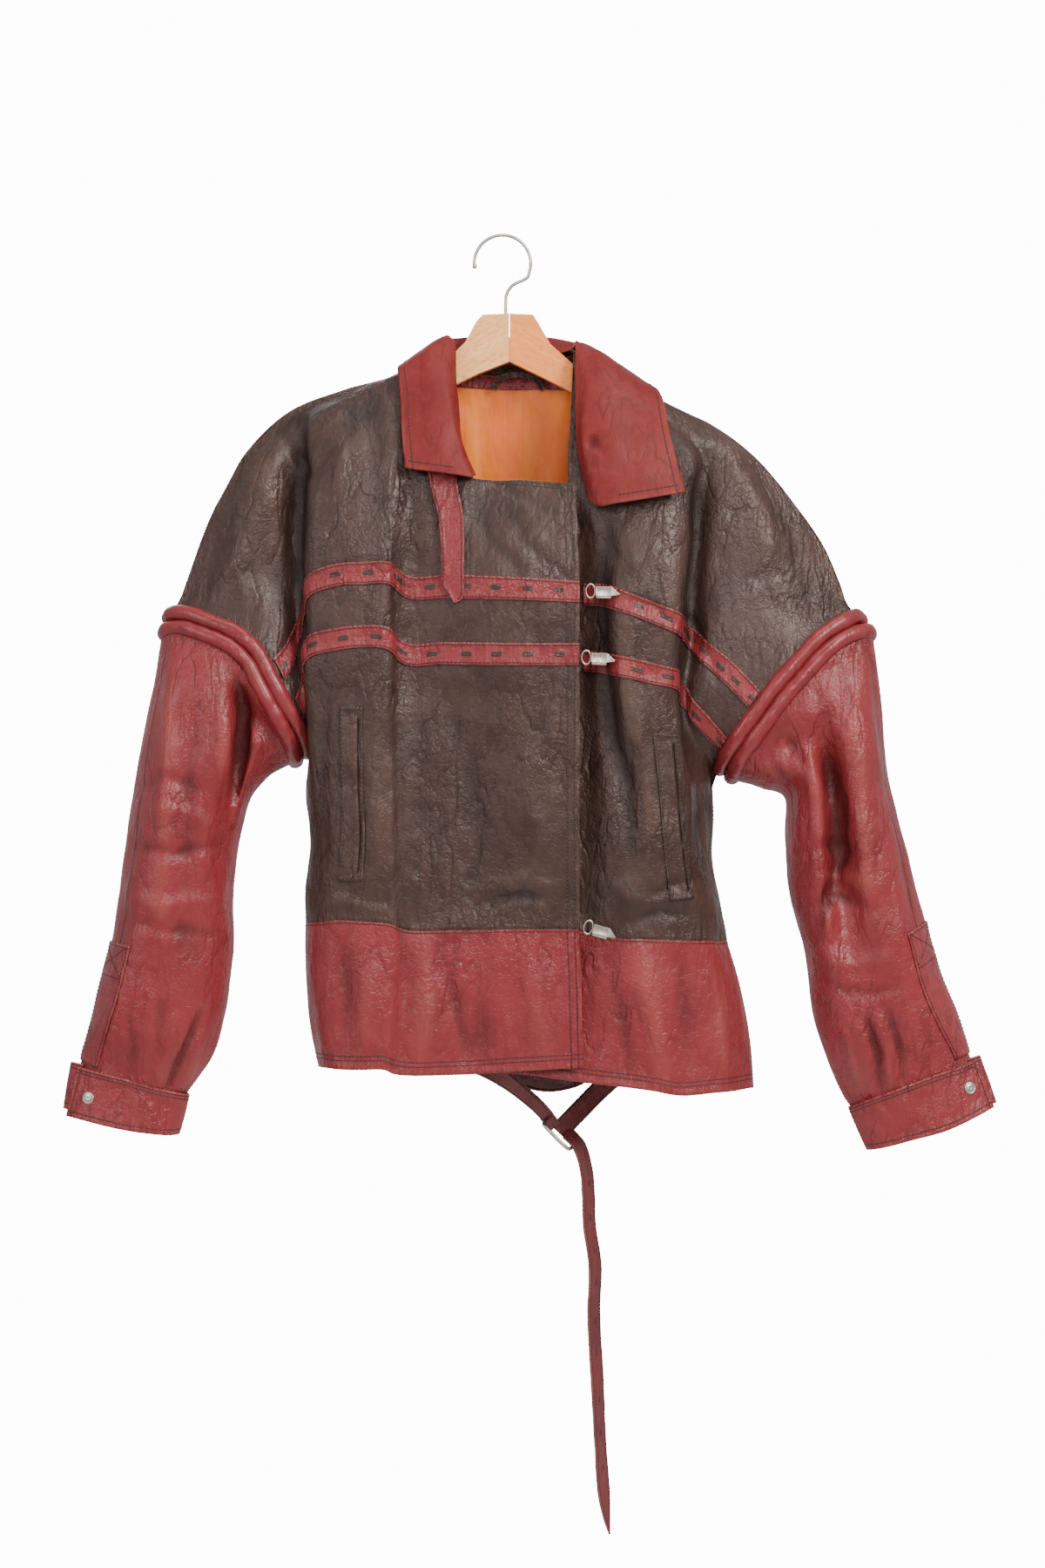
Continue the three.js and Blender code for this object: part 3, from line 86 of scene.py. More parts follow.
FRONT_LEFT = [
    [-46, 0, -103, -52, 0, -105, -58, 0, -108, -64, 0, -111, -69, 0, -113, -74, 0, -116, -78, 0, -118,
     -82, 0, -120, -86, 0, -122, -90, 0, -125, -94, 0, -127],
    [-46, -13, -109, -53, -14, -111, -60, -14, -113, -67, -14, -115, -73, -14, -117, -79, -14, -119,
     -85, -14, -121, -91, -13, -124, -98, -11, -127, -107, -7, -130, -119, 0, -133],
    [-46, -24, -146, -58, -26, -147, -70, -27, -148, -80, -28, -148, -88, -29, -148, -96, -29, -148,
     -104, -28, -148, -114, -25, -147, -126, -20, -146, -137, -12, -144, -148, 0, -141],
    [-37, -38, -190, -52, -40, -188, -68, -41, -186, -86, -42, -184, -99, -43, -182, -122, -42, -179,
     -144, -39, -175, -172, -27, -169, -183, -18, -167, -192, -10, -165, -200, 0, -163],
    [-26, -46, -225, -44, -49, -223, -60, -50, -221, -86, -51, -218, -99, -54, -214, -124, -55, -211,
     -146, -53, -208, -174, -42, -204, -186, -19, -203, -210, -19, -200, -235, 0, -197],
    [66, -52, -229, 24, -57, -248, -38, -57, -262, -89, -56, -258, -100, -62, -250, -125, -64, -246,
     -146, -62, -243, -176, -52, -238, -187, -20, -236, -222, -24, -230, -252, 0, -226],
    [68, -60, -264, 20, -65, -276, -40, -61, -284, -89, -57, -284, -101, -66, -276, -126, -68, -271,
     -146, -66, -270, -178, -56, -272, -188, -20, -272, -234, -29, -266, -272, 0, -266],
    [69, -63, -292, 18, -68, -294, -42, -62, -296, -90, -57, -296, -102, -68, -288, -126, -70, -285,
     -146, -68, -286, -178, -57, -293, -188, -21, -300, -246, -31, -312, -298, -4, -338.5],
    [69.5, -64, -299, 18, -68.5, -300, -43, -62, -301, -90, -57, -300, -102, -68.5, -292, -126, -70.5, -290,
     -146, -68.5, -291, -178, -57, -299, -188, -21.5, -312, -232, -33, -327, -267, -28, -346],
    [70, -65, -306, 18, -69, -306, -44, -62, -305, -90, -57, -304, -102, -69, -295, -126, -71, -294,
     -146, -69, -295, -178, -57, -305, -188, -22, -324, -207, -34, -346, -230, -39, -366],
    [70, -66, -319, 18, -70, -316, -46, -62, -313, -90, -57, -312, -102, -69, -302, -126, -71, -302,
     -147, -69, -303, -178, -57, -316, -187, -24, -350, -196, -33, -372, -209, -42, -389],
    [70, -67, -338, 18, -70, -336, -47, -61, -334, -90, -57, -332, -102, -69, -322, -126, -71, -322,
     -147, -69, -323, -178, -57, -336, -186, -26, -372, -190, -34, -392, -199, -42, -409],
    [70, -68, -375, 18, -70, -375, -50, -60, -374, -92, -57, -372, -104, -69, -361, -126, -71, -359,
     -147, -69, -361, -178, -58, -370, -182, -34, -396, -184, -36, -411, -189, -39, -425],
    [70, -68, -395, 18, -70, -395, -52, -60, -394, -92, -57, -392, -104, -68, -381, -126, -71, -379,
     -147, -69, -381, -177, -58, -390, -178, -40, -412, -178, -36, -428, -180, -30, -443],
    [70, -68, -438, 18, -69, -438, -44, -60, -438, -92, -60, -437, -104, -67, -434, -126, -70, -433,
     -147, -68, -433, -176, -54, -438, -175, -38, -448, -173, -18, -460, -173, 0, -471],
    [70, -67, -500, 18, -68, -500, -32, -60, -500, -90, -62, -500, -104, -67, -499, -126, -69, -498,
     -146, -67, -498, -169, -55, -503, -178, -36, -508, -180, -18, -512, -180, 0, -514],
    [70, -65, -556, 20, -66, -556, -17, -58, -556, -88, -62, -556, -104, -66, -555, -124, -67, -554,
     -145, -64, -554, -164, -53, -556, -175, -34, -558, -176, -17, -560, -174, 0, -562],
    [70, -61, -594, 22, -62, -594, -20, -56, -594, -90, -60, -592, -105, -64, -591, -126, -65, -590,
     -148, -61, -590, -167, -50, -593, -178, -32, -595, -180, -16, -597, -178, 0, -600],
    [70, -58, -634, 20, -57, -634, -42, -55, -635, -90, -57, -634, -102, -61, -629, -126, -61, -627,
     -146, -58, -626, -167, -47, -628, -177, -30, -629, -180, -15, -630, -178, 0, -630],
]

FRONT_RIGHT = [
    [66, 0, -104, 74, 0, -108, 82, 0, -112, 90, 0, -117, 98, 0, -122, 106, 0, -127, 114, 0, -132,
     122, 0, -137, 130, 0, -142, 138, 0, -147, 146, 0, -152],
    [65, -13, -110, 75, -14, -113, 84, -14, -117, 94, -14, -122, 104, -14, -127, 113, -14, -132,
     122, -13, -137, 131, -12, -142, 141, -10, -148, 154, -6, -154, 170, 0, -162],
    [63, -26, -150, 74, -28, -153, 86, -30, -156, 100, -31, -159, 116, -31, -163, 132, -29, -166,
     146, -25, -169, 158, -20, -171, 170, -14, -172, 183, -8, -173, 195, 0, -174],
    [60, -40, -205, 72, -42, -206, 86, -44, -207, 104, -46, -208, 130, -46, -208, 152, -44, -208,
     174, -36, -206, 184, -20, -206, 196, -20, -206, 216, -15, -206, 236, 0, -206],
    [60, -45, -240, 72, -47, -242, 88, -50, -244, 108, -53, -246, 134, -54, -246, 154, -52, -245,
     172, -45, -244, 181, -22, -243, 194, -26, -243, 232, -21, -244, 269, 0, -246],
    [60, -44, -262, 75, -44, -268, 94, -56, -273, 112, -60, -276, 136, -61, -277, 154, -58, -278,
     170, -50, -279, 178, -24, -281, 192, -30, -282, 246, -27, -283, 294, 0, -282],
    [12, -50, -285, 74, -43, -296, 97, -60, -298, 114, -65, -300, 138, -66, -303, 154, -62, -305,
     168, -53, -308, 175, -26, -314, 190, -34, -320, 256, -31, -334, 318, -4, -342],
    [12, -54, -303, 74, -43, -309, 97, -61, -311, 114, -67, -314, 138, -67, -320, 154, -63, -325,
     167, -54, -330, 174, -27, -338, 187, -36, -346, 230, -39, -362, 268, -40, -381],
    [12, -55, -318, 74, -43, -320, 96, -61, -322, 114, -68, -329, 138, -68, -338, 154, -64, -345,
     168, -54, -352, 173, -28, -360, 184, -38, -370, 211, -42, -393, 235, -43, -418],
    [12, -56, -337, 74, -42, -340, 93, -60, -342, 112, -68, -348, 138, -68, -358, 154, -64, -365,
     167, -54, -372, 172, -30, -380, 180, -39, -390, 203, -42, -411, 224, -43, -433],
    [12, -57, -374, 74, -42, -381, 90, -58, -383, 110, -67, -387, 136, -68, -393, 152, -64, -397,
     162, -56, -400, 167, -36, -412, 173, -40, -424, 189, -38, -442, 205, -36, -460],
    [12, -58, -393, 74, -42, -400, 89, -58, -402, 110, -67, -406, 136, -68, -412, 152, -64, -415,
     161, -56, -419, 166, -38, -431, 171, -38, -442, 184, -34, -457, 199, -26, -471],
    [12, -58, -450, 76, -42, -454, 94, -57, -455, 112, -66, -455, 137, -67, -456, 157, -62, -458,
     166, -54, -462, 171, -40, -470, 178, -28, -479, 187, -15, -485, 193, 0, -491],
    [12, -57, -505, 76, -44, -508, 98, -60, -509, 114, -65, -510, 142, -66, -511, 162, -61, -512,
     172, -53, -516, 177, -38, -521, 184, -26, -526, 190, -12, -529, 194, 0, -532],
    [12, -54, -560, 76, -46, -562, 99, -60, -563, 118, -64, -564, 147, -63, -565, 167, -58, -566,
     178, -48, -568, 185, -34, -570, 190, -22, -572, 193, -10, -573, 193, 0, -574],
    [12, -50, -603, 76, -46, -606, 100, -58, -607, 122, -60, -608, 152, -58, -608, 173, -53, -606,
     183, -44, -606, 191, -32, -607, 196, -20, -608, 199, -10, -609, 200, 0, -610],
    [12, -46, -634, 76, -45, -637, 103, -54, -642, 126, -56, -643, 154, -54, -644, 175, -49, -645,
     188, -41, -645, 196, -30, -646, 202, -19, -646, 205, -9, -646, 206, 0, -646],
]

BACK = [
    [-94, 0, -127, -70, 0, -114, -46, 0, -103, -44, 15, -107, -24, 23, -112, 10, 26, -114, 44, 23, -112,
     64, 15, -107, 66, 0, -104, 106, 0, -127, 146, 0, -152],
    [-119, 0, -133, -94, 13, -126, -66, 17, -119, -50, 22, -121, -22, 27, -124, 10, 29, -126, 42, 27, -125,
     70, 22, -123, 88, 17, -122, 128, 13, -142, 170, 0, -162],
    [-148, 0, -141, -120, 14, -143, -92, 22, -146, -60, 28, -148, -24, 31, -150, 10, 32, -151, 44, 31, -152,
     84, 28, -156, 124, 22, -161, 160, 14, -167, 195, 0, -174],
    [-200, 0, -163, -176, 18, -168, -140, 28, -176, -92, 33, -184, -40, 35, -190, 10, 36, -192, 60, 35, -194,
     118, 33, -198, 170, 28, -202, 206, 18, -204, 236, 0, -206],
    [-235, 0, -197, -206, 20, -204, -160, 32, -214, -104, 37, -222, -44, 39, -228, 12, 40, -230,
     70, 39, -232, 132, 37, -236, 190, 32, -241, 236, 20, -244, 269, 0, -246],
    [-252, 0, -226, -220, 22, -236, -170, 34, -248, -110, 39, -258, -46, 42, -264, 14, 43, -267,
     76, 42, -270, 142, 39, -274, 204, 34, -278, 256, 22, -281, 294, 0, -282],
    [-272, 0, -266, -234, 24, -276, -178, 35, -286, -114, 40, -292, -48, 43, -298, 14, 44, -300,
     78, 43, -302, 148, 40, -306, 212, 35, -309, 268, 24, -311, 308, 0, -313],
    [-298, 4, -338.5, -248, 26, -336, -184, 36, -336, -116, 41, -336, -48, 44, -336, 14, 44, -337,
     80, 44, -338, 150, 41, -340, 216, 36, -342, 276, 27, -344, 318, 4, -342],
    [-267, 20, -346, -232, 31, -347, -182, 36.5, -347, -117, 41.5, -348, -49, 44, -349, 14, 44, -350,
     80, 44, -352, 149, 41.5, -356, 206, 37, -360, 257, 32, -361, 293, 20, -361],
    [-230, 32, -366, -208, 34, -362, -182, 37, -356, -118, 42, -360, -50, 44, -362, 14, 44, -364,
     80, 44, -366, 148, 42, -372, 196, 38, -377, 236, 35, -380, 268, 32, -381],
    [-209, 33, -389, -198, 34, -391, -174, 37, -395, -118, 41, -398, -50, 44, -400, 14, 44, -402,
     78, 44, -404, 140, 41, -408, 184, 38, -412, 214, 35, -416, 235, 34, -418],
    [-189, 31, -425, -184, 33, -426, -168, 37, -429, -116, 41, -432, -50, 44, -434, 14, 44, -436,
     76, 44, -438, 134, 41, -442, 172, 37, -448, 192, 32, -455, 205, 28, -460],
    [-173, 0, -471, -172, 18, -472, -158, 32, -474, -112, 41, -478, -50, 44, -480, 12, 44, -482,
     74, 44, -484, 132, 41, -486, 176, 32, -489, 190, 18, -491, 193, 0, -491],
    [-180, 0, -514, -178, 18, -515, -162, 33, -517, -112, 40, -519, -50, 43, -521, 10, 43, -523,
     72, 43, -525, 130, 40, -527, 174, 32, -529, 190, 18, -531, 194, 0, -532],
    [-174, 0, -562, -172, 18, -562, -158, 32, -563, -110, 39, -564, -50, 42, -566, 10, 42, -567,
     72, 42, -568, 130, 39, -570, 174, 31, -572, 190, 17, -573, 193, 0, -574],
    [-178, 0, -600, -176, 17, -600, -162, 30, -601, -112, 38, -602, -50, 41, -604, 10, 41, -605,
     72, 41, -606, 132, 38, -608, 180, 30, -609, 196, 16, -610, 200, 0, -610],
    [-178, 0, -630, -176, 16, -630, -162, 29, -631, -112, 37, -632, -50, 40, -634, 12, 40, -636,
     74, 40, -638, 136, 37, -642, 184, 29, -644, 202, 15, -646, 206, 0, -646],
]

HEM_FRONT_LEFT = [
    [72, -57, -690, 20, -56, -692, -42, -54, -693, -92, -57, -692, -103, -62, -686, -127, -61, -684,
     -147, -57, -683, -167, -46, -684, -177, -29, -684, -180, -14, -684, -179, 0, -684],
    [73, -55, -728, 20, -54, -730, -42, -51, -732, -94, -56, -730, -104, -60, -726, -128, -59, -724,
     -146, -55, -724, -163, -45, -724, -172, -28, -724, -176, -14, -724, -174, 0, -724],
    [74, -52, -760, 20, -51, -763, -42, -48, -767, -98, -54, -766, -107, -58, -762, -128, -57, -762,
     -145, -53, -762, -158, -44, -761, -166, -28, -761, -169, -13, -761, -168, 0, -761],
]

HEM_FRONT_RIGHT = [
    [12, -45, -690, 78, -44, -692, 106, -53, -694, 130, -55, -694, 158, -53, -694, 180, -48, -693,
     194, -40, -692, 204, -29, -691, 212, -19, -690, 217, -9, -690, 219, 0, -690],
    [13, -44, -732, 80, -43, -736, 108, -50, -740, 132, -52, -742, 162, -50, -742, 186, -45, -742,
     202, -38, -741, 213, -28, -740, 221, -18, -740, 226, -9, -740, 228, 0, -740],
    [14, -42, -766, 80, -42, -775, 110, -48, -778, 134, -50, -781, 165, -48, -786, 190, -43, -784,
     206, -36, -783, 217, -27, -782, 225, -17, -781, 230, -9, -781, 231, 0, -781],
]

HEM_BACK = [
    [-179, 0, -684, -177, 16, -684, -163, 28, -685, -112, 36, -686, -50, 39, -687, 14, 39, -688,
     78, 39, -689, 144, 36, -690, 196, 28, -690, 214, 15, -690, 219, 0, -690],
    [-174, 0, -724, -172, 15, -725, -158, 27, -726, -110, 35, -728, -50, 38, -730, 16, 38, -732,
     82, 38, -735, 150, 35, -738, 204, 27, -739, 223, 14, -740, 228, 0, -740],
    [-168, 0, -761, -166, 14, -762, -152, 26, -763, -108, 34, -765, -50, 37, -768, 16, 37, -771,
     84, 37, -774, 154, 34, -778, 208, 26, -780, 226, 13, -781, 231, 0, -781],
]

# The rolls' front halves: x, z and how far each point stands in front of the seam plane
ROLL_LEFT_1 = [
    -306, -350, 0, -301, -346, 13, -286, -347, 26, -266, -354, 34, -242, -365, 40, -226, -378, 42,
    -215.8, -394.9, 43, -206.7, -412.8, 43, -198, -429, 42, -188, -447, 35, -181, -463, 21, -180, -471, 8,
    -180, -473, 0,
]
ROLL_LEFT_2 = [
    -310, -364, 0, -306, -360, 12.5, -289.5, -360, 26, -269, -367, 35, -248, -377, 41, -233, -390.5, 43,
    -223.6, -408, 44, -212.9, -427.5, 44, -202.5, -446.7, 42, -194.3, -463, 33, -190.6, -474, 20,
    -190.4, -479.6, 8, -190.6, -480.8, 0,
]
ROLL_RIGHT_1 = [
    329, -353, 0, 324, -349, 13, 312, -354, 26, 291, -367, 36, 271, -388, 41, 251, -410, 43, 233, -434, 43,
    217, -456, 39, 206, -473, 27, 201, -485, 10, 200, -488, 0,
]
ROLL_RIGHT_2 = [
    337, -365, 0, 334, -362.5, 12, 320, -365.5, 26, 298, -379, 37, 278, -400.3, 42, 258, -422.8, 44,
    240.8, -446, 43, 225.6, -467, 38, 215.6, -483, 26, 211.7, -493.3, 10, 210.6, -496, 0,
]

SLEEVE_LEFT = [
    [-318, 0, -400, -300, -38, -402, -272, -50, -406, -246, -46, -416, -234, -30, -438, -222, -40, -466,
     -208, 0, -491],
    [-328, 0, -445, -308, -44, -450, -280, -54, -455, -250, -52, -458, -238, -26, -468, -230, -34, -486,
     -218, 0, -499],
    [-338, 0, -505, -318, -46, -510, -292, -54, -514, -262, -50, -516, -248, -30, -518, -240, -26, -522,
     -233, 0, -522],
    [-350, 0, -582, -328, -44, -584, -302, -50, -586, -276, -46, -587, -258, -34, -588, -250, -20, -589,
     -246, 0, -590],
    [-359, 0, -646, -338, -40, -650, -312, -46, -654, -286, -42, -656, -264, -32, -658, -252, -18, -660,
     -247, 0, -661],
    [-370, 0, -690, -350, -36, -696, -324, -42, -700, -298, -40, -702, -274, -30, -705, -260, -17, -707,
     -253, 0, -708],
    [-379, 0, -728, -362, -30, -734, -338, -38, -740, -312, -36, -745, -288, -28, -750, -274, -16, -752,
     -266, 0, -752],
    [-386, 0, -755, -370, -22, -762, -348, -28, -768, -326, -28, -774, -304, -22, -779, -292, -12, -782,
     -286, 0, -782],
]

SLEEVE_RIGHT = [
    [346, 0, -408, 330, -36, -414, 304, -46, -426, 280, -46, -444, 262, -36, -468, 248, -36, -490,
     238, 0, -507],
    [350, 0, -450, 334, -44, -456, 312, -50, -464, 294, -30, -474, 278, -46, -486, 266, -34, -500,
     257, 0, -513],
    [356, 0, -505, 338, -46, -512, 318, -50, -520, 300, -28, -528, 286, -46, -536, 270, -34, -542,
     259, 0, -548],
    [373, 0, -567, 352, -44, -576, 330, -48, -584, 308, -28, -590, 290, -44, -596, 274, -30, -600,
     263, 0, -602],
    [388, 0, -628, 368, -42, -638, 344, -46, -644, 318, -34, -650, 298, -40, -654, 284, -24, -656,
     277, 0, -657],
    [402, 0, -676, 382, -38, -688, 358, -42, -696, 332, -38, -703, 308, -34, -708, 292, -20, -710,
     284, 0, -710],
    [416, 0, -714, 398, -32, -724, 376, -36, -734, 352, -36, -744, 326, -30, -752, 306, -17, -757,
     298, 0, -757],
    [428, 0, -749, 414, -22, -755, 394, -28, -764, 372, -28, -774, 348, -22, -785, 328, -12, -792,
     318, 0, -796],
]

COLLAR = [
    [-24, -50, -222, -25, -56, -222.5, -27, -63, -224, -36, -67, -223, -60, -68, -220, -88, -65, -216],
    [-37, -38, -186, -38, -46, -183, -42, -54, -180, -52, -57, -181, -72, -56, -184, -91, -52, -186],
    [-41, -24, -142, -44, -34, -140, -49, -40, -138, -58, -43, -140, -76, -41, -145, -93, -38, -150],
    [-43, -7, -96, -46, -9, -94, -51, -10, -92, -60, -14, -95, -78, -16, -107, -95, -17, -120],
    [-45, 3, -97, -47, 4, -93, -50, 4, -90, -57, 5, -93, -75, 7, -105, -92, 9, -119],
    [-45, 12, -101, -46, 14, -96, -47, 18, -91, -53, 23, -95, -66, 30, -110, -82, 33, -127],
    [-24, 21, -107, -24, 23, -101, -24, 26, -90, -26, 33, -94, -31, 41, -116, -36, 45, -142],
    [10, 24, -109, 10, 25, -102, 10, 30, -90, 10, 37, -94, 10, 45, -117, 10, 49, -146],
    [44, 21, -107, 44, 23, -101, 44, 27, -91, 47, 34, -95, 53, 42, -117, 60, 45, -144],
    [65, 12, -101, 67, 14, -99, 69, 18, -96, 78, 23, -99, 98, 28, -116, 122, 31, -139],
    [67, 3, -99, 70, 3, -98, 74, 3, -98, 83, 4, -101, 108, 6, -117, 138, 8, -138],
    [67, -8, -96, 71, -10, -98, 76, -11, -102, 86, -15, -105, 112, -17, -121, 144, -17, -143],
    [66, -36, -148, 71, -40, -145, 77, -44, -143, 88, -48, -147, 118, -49, -162, 152, -46, -182],
    [68, -47, -204, 70, -53, -200, 74, -58, -196, 86, -61, -198, 120, -62, -206, 160, -59, -214],
    [77, -53, -240, 81, -60, -247, 88, -67, -251, 100, -70, -249, 132, -71, -244, 166, -67, -238],
]

# Stations round a cuff: depth, then x and z of its upper and of its lower edge
CUFF_LEFT = [
    -17, -389, -761, -399, -806, -25, -376, -764, -386, -809, -31, -346, -771, -352, -817,
    -28, -316, -780, -322, -822, -18, -296, -785, -304, -824, -4, -287, -787, -296, -823,
    12, -294, -785, -302, -820, 22, -318, -779, -325, -816, 25, -350, -771, -356, -811,
    20, -384, -763, -390, -806, 7, -396, -758, -403, -801, -8, -394, -757, -401, -800,
    -12, -384, -759, -391, -802,
]

CUFF_RIGHT = [
    -17, 434, -754, 450, -798, -25, 422, -759, 438, -804, -31, 392, -769, 408, -818,
    -28, 358, -782, 374, -828, -18, 330, -793, 346, -836, -4, 317, -799, 334, -838, 12, 326, -795, 342, -834,
    22, 356, -782, 371, -824, 25, 392, -769, 406, -812, 20, 424, -758, 438, -802, 7, 438, -752, 453, -796,
    -8, 436, -751, 452, -795, -12, 426, -754, 440, -798,
]

# Rows of three points, each x and z
THROAT_TAB = [
    -68, -217, -55, -217, -43, -217, -64, -236, -51, -238, -39, -240, -58, -258, -46, -259, -35, -260,
    -55, -285, -44, -285, -34, -285, -54, -312, -44, -313, -34, -314, -54, -321, -44, -326, -34, -332,
    -43, -338, -42, -338.5, -41, -338,
]

# Stations along a strap: its middle and half of its width as a vector, each x, y, z
BELT_LEFT = [
    -62, 48, -690, 0, 1, 9, -80, 49, -696, -6, 1, 6, -90, 50, -714, -9, 1, 0, -82, 50, -734, -6, 1, -7,
    -54, 48, -750, -4, 2, -9, -10, 46, -769, -4, 4, -8, 18, 40, -789, -4.6, 6.2, -5.2,
    37, 29, -806, -4.2, 7, -4.6,
]

BELT_SLACK = [
    -55, 48, -690, 0, 1, 9, -36, 52, -700, 6, 2, 6, -16, 57, -736, 7, 3, 5, 2, 60, -766, 4, 7, 5,
    38, 60, -781, 0, 8, 6, 78, 58, -770, -3, 7, 6, 98, 54, -732, -8, 2, 5, 104, 51, -704, -8, 1, 5,
    117, 48, -690, 0, 1, 9,
]

BELT_RIGHT = [
    127, 48, -690, 0, 1, 9, 144, 49, -697, 6, 1, 6, 152, 50, -716, 9, 1, 0, 142, 51, -740, 8, 1, -5,
    116, 52, -764, 6, 2, -7, 94, 48, -783, 6.5, 3, -6.5, 72, 36, -804, 6.5, 3, -6.5,
    57, 27, -819, 6.5, 2, -6.5,
]

BELT_TAIL = [
    59, 26, -823, 3.5, 5, 5, 70, 24, -834, 5.5, 7, 2, 77, 22, -853, 5.5, 8.4, 0, 80, 22, -880, 5.5, 8.4, 0,
    81, 24, -910, 5.5, 8.4, 0, 86, 24, -945, 5.5, 8.4, 0, 85, 22, -990, 5.5, 8.4, 0,
    88, 22, -1050, 5.5, 8.4, 0, 91, 22, -1110, 5, 8.6, 0, 95, 22, -1165, 4.6, 7, 0,
    99, 22, -1195, 0.6, 0.8, 0,
]

FOLDS_FRONT = [
    # lap, from its top corner
    ([-23, -230, 6, -262, 46, -307], 8, -3.6),
    ([-26, -238, -12, -277, 20, -317], 7, -3.0),
    ([-12, -227, 28, -246, 60, -264], 6, -2.0),
    ([-17, -235, 12, -272, 50, -294], 5, 1.6),
    # left arm: the deep fold and the glossy crease across it
    ([-180, -158, -185, -230, -187, -302, -182, -352, -175, -394], 5, -6.0, True),
    ([-201, -184, -188, -203, -175, -227], 4, -3.0),
    ([-204, -198, -191, -230, -188, -262], 5, -2.2),
    ([-222, -198, -207, -254, -198, -326], 9, 2.4),
    # long pleat down to the hem
    ([-98, -301, -96, -382, -94, -502, -91, -632, -89, -686, -98, -765], 4, -3.4, True),
    ([-104, -302, -102, -406, -100, -526, -98, -632, -96, -694, -105, -765], 6, 1.6),
    # chest and waist
    ([-52, -406, -31, -486, -17, -559, -37, -621], 11, -3.0),
    ([-29, -616, -4, -606, 17, -602, 45, -607], 5, -3.2),
    ([-26, -603, 18, -590, 54, -598], 7, 2.0),
    ([-86, -230, -79, -270, -82, -306], 7, -2.4),
    ([-118, -152, -110, -230, -114, -298], 9, -2.2),
    ([-145, -158, -148, -230, -142, -302], 10, 2.2),
    ([-100, -139, -138, -171, -172, -224], 12, -3.0),
    ([-148, -139, -198, -168, -231, -214], 12, -2.6),
    ([-207, -182, -236, -246, -252, -310], 13, 3.0),
    ([-225, -230, -252, -278, -271, -334], 9, -3.0),
    ([-180, -352, -196, -376, -207, -400], 5, -2.4),
    ([-151, -597, -118, -610, -97, -606], 6, -2.4),
    ([-172, -616, -140, -606, -103, -619], 7, 2.0),
    ([-159, -422, -164, -502, -162, -582], 7, -2.4),
    ([-110, -422, -114, -502, -110, -590], 9, 2.0),
    ([-78, -414, -73, -502, -79, -590], 8, -2.0),
    ([18, -334, 36, -390, 31, -486], 10, -1.8),
    ([10, -486, 36, -542, 26, -590], 9, 2.0),
    ([50, -294, 57, -422, 54, -582], 6, -1.2),
    # hem, left
    ([-74, -638, -68, -702, -76, -765], 10, 3.4),
    ([-145, -638, -140, -702, -145, -758], 8, -3.4),
    ([-126, -634, -122, -694, -126, -760], 8, 2.4),
    ([-14, -640, -20, -702, -14, -765], 10, -2.6),
    ([-60, -650, -42, -700, -30, -760], 6, -3.0),
    ([34, -638, 28, -702, 33, -765], 12, 1.6),
]

FOLDS_RIGHT = [
    # recess beside the lap
    ([98, -262, 91, -317, 89, -370, 98, -456, 111, -502, 116, -566], 8, -7.0),
    ([118, -278, 113, -342, 111, -406, 129, -502, 132, -582], 10, 3.0),
    # right arm: the deep fold
    ([185, -198, 177, -282, 170, -342, 164, -406, 167, -462, 174, -502], 5, -6.0, True),
    ([167, -347, 178, -360, 185, -376], 4, -2.6),
    ([170, -366, 188, -384, 199, -414], 5, -2.2),
    ([154, -262, 156, -342, 148, -422], 9, 2.6),
    ([143, -158, 170, -214, 178, -278], 11, -3.0),
    ([194, -179, 233, -238, 250, -310], 13, 3.0),
    ([218, -198, 258, -262, 282, -334], 10, -3.0),
    ([258, -230, 286, -286, 306, -342], 9, 2.0),
    ([108, -334, 137, -342, 164, -363], 5, -1.8),
    ([90, -254, 102, -294, 122, -320], 6, -2.4),
    ([126, -610, 153, -594, 183, -586], 6, -2.6),
    ([108, -632, 140, -618, 175, -622], 6, -2.6),
    ([98, -590, 118, -606, 146, -611], 7, 2.2),
    ([183, -502, 178, -550, 188, -614], 7, -2.6),
    ([116, -462, 121, -526, 118, -590], 8, -2.4),
    # hem, right
    ([98, -650, 108, -710, 118, -778], 9, -3.2),
    ([124, -645, 137, -710, 148, -782], 12, 3.2),
    ([162, -648, 166, -710, 170, -784], 9, -2.4),
    ([188, -650, 198, -710, 204, -782], 8, 2.2),
]

FOLDS_BACK = [
    # back, unseen: upright folds like the front's
    ([-126, -158, -118, -294, -122, -502, -118, -758], 16, -3.4),
    ([-86, -166, -76, -342, -81, -582, -73, -758], 14, 2.4),
    ([0, -166, 4, -390, -2, -630, 1, -758], 10, -2.2),
    ([66, -166, 60, -342, 70, -582, 66, -758], 15, 2.6),
    ([122, -166, 114, -358, 127, -582, 121, -758], 15, -3.4),
    ([-186, -182, -180, -278, -172, -390], 7, -5.0),
    ([182, -198, 177, -302, 172, -422], 7, -5.0),
    ([-222, -198, -238, -262, -252, -326], 12, 2.8),
    ([218, -198, 250, -262, 278, -334], 12, 2.8),
    ([-158, -590, -86, -606, -14, -595], 8, -2.2),
    ([18, -598, 98, -611, 178, -598], 8, -2.2),
    ([-142, -550, -46, -566, 50, -554, 146, -566], 9, 1.8),
]

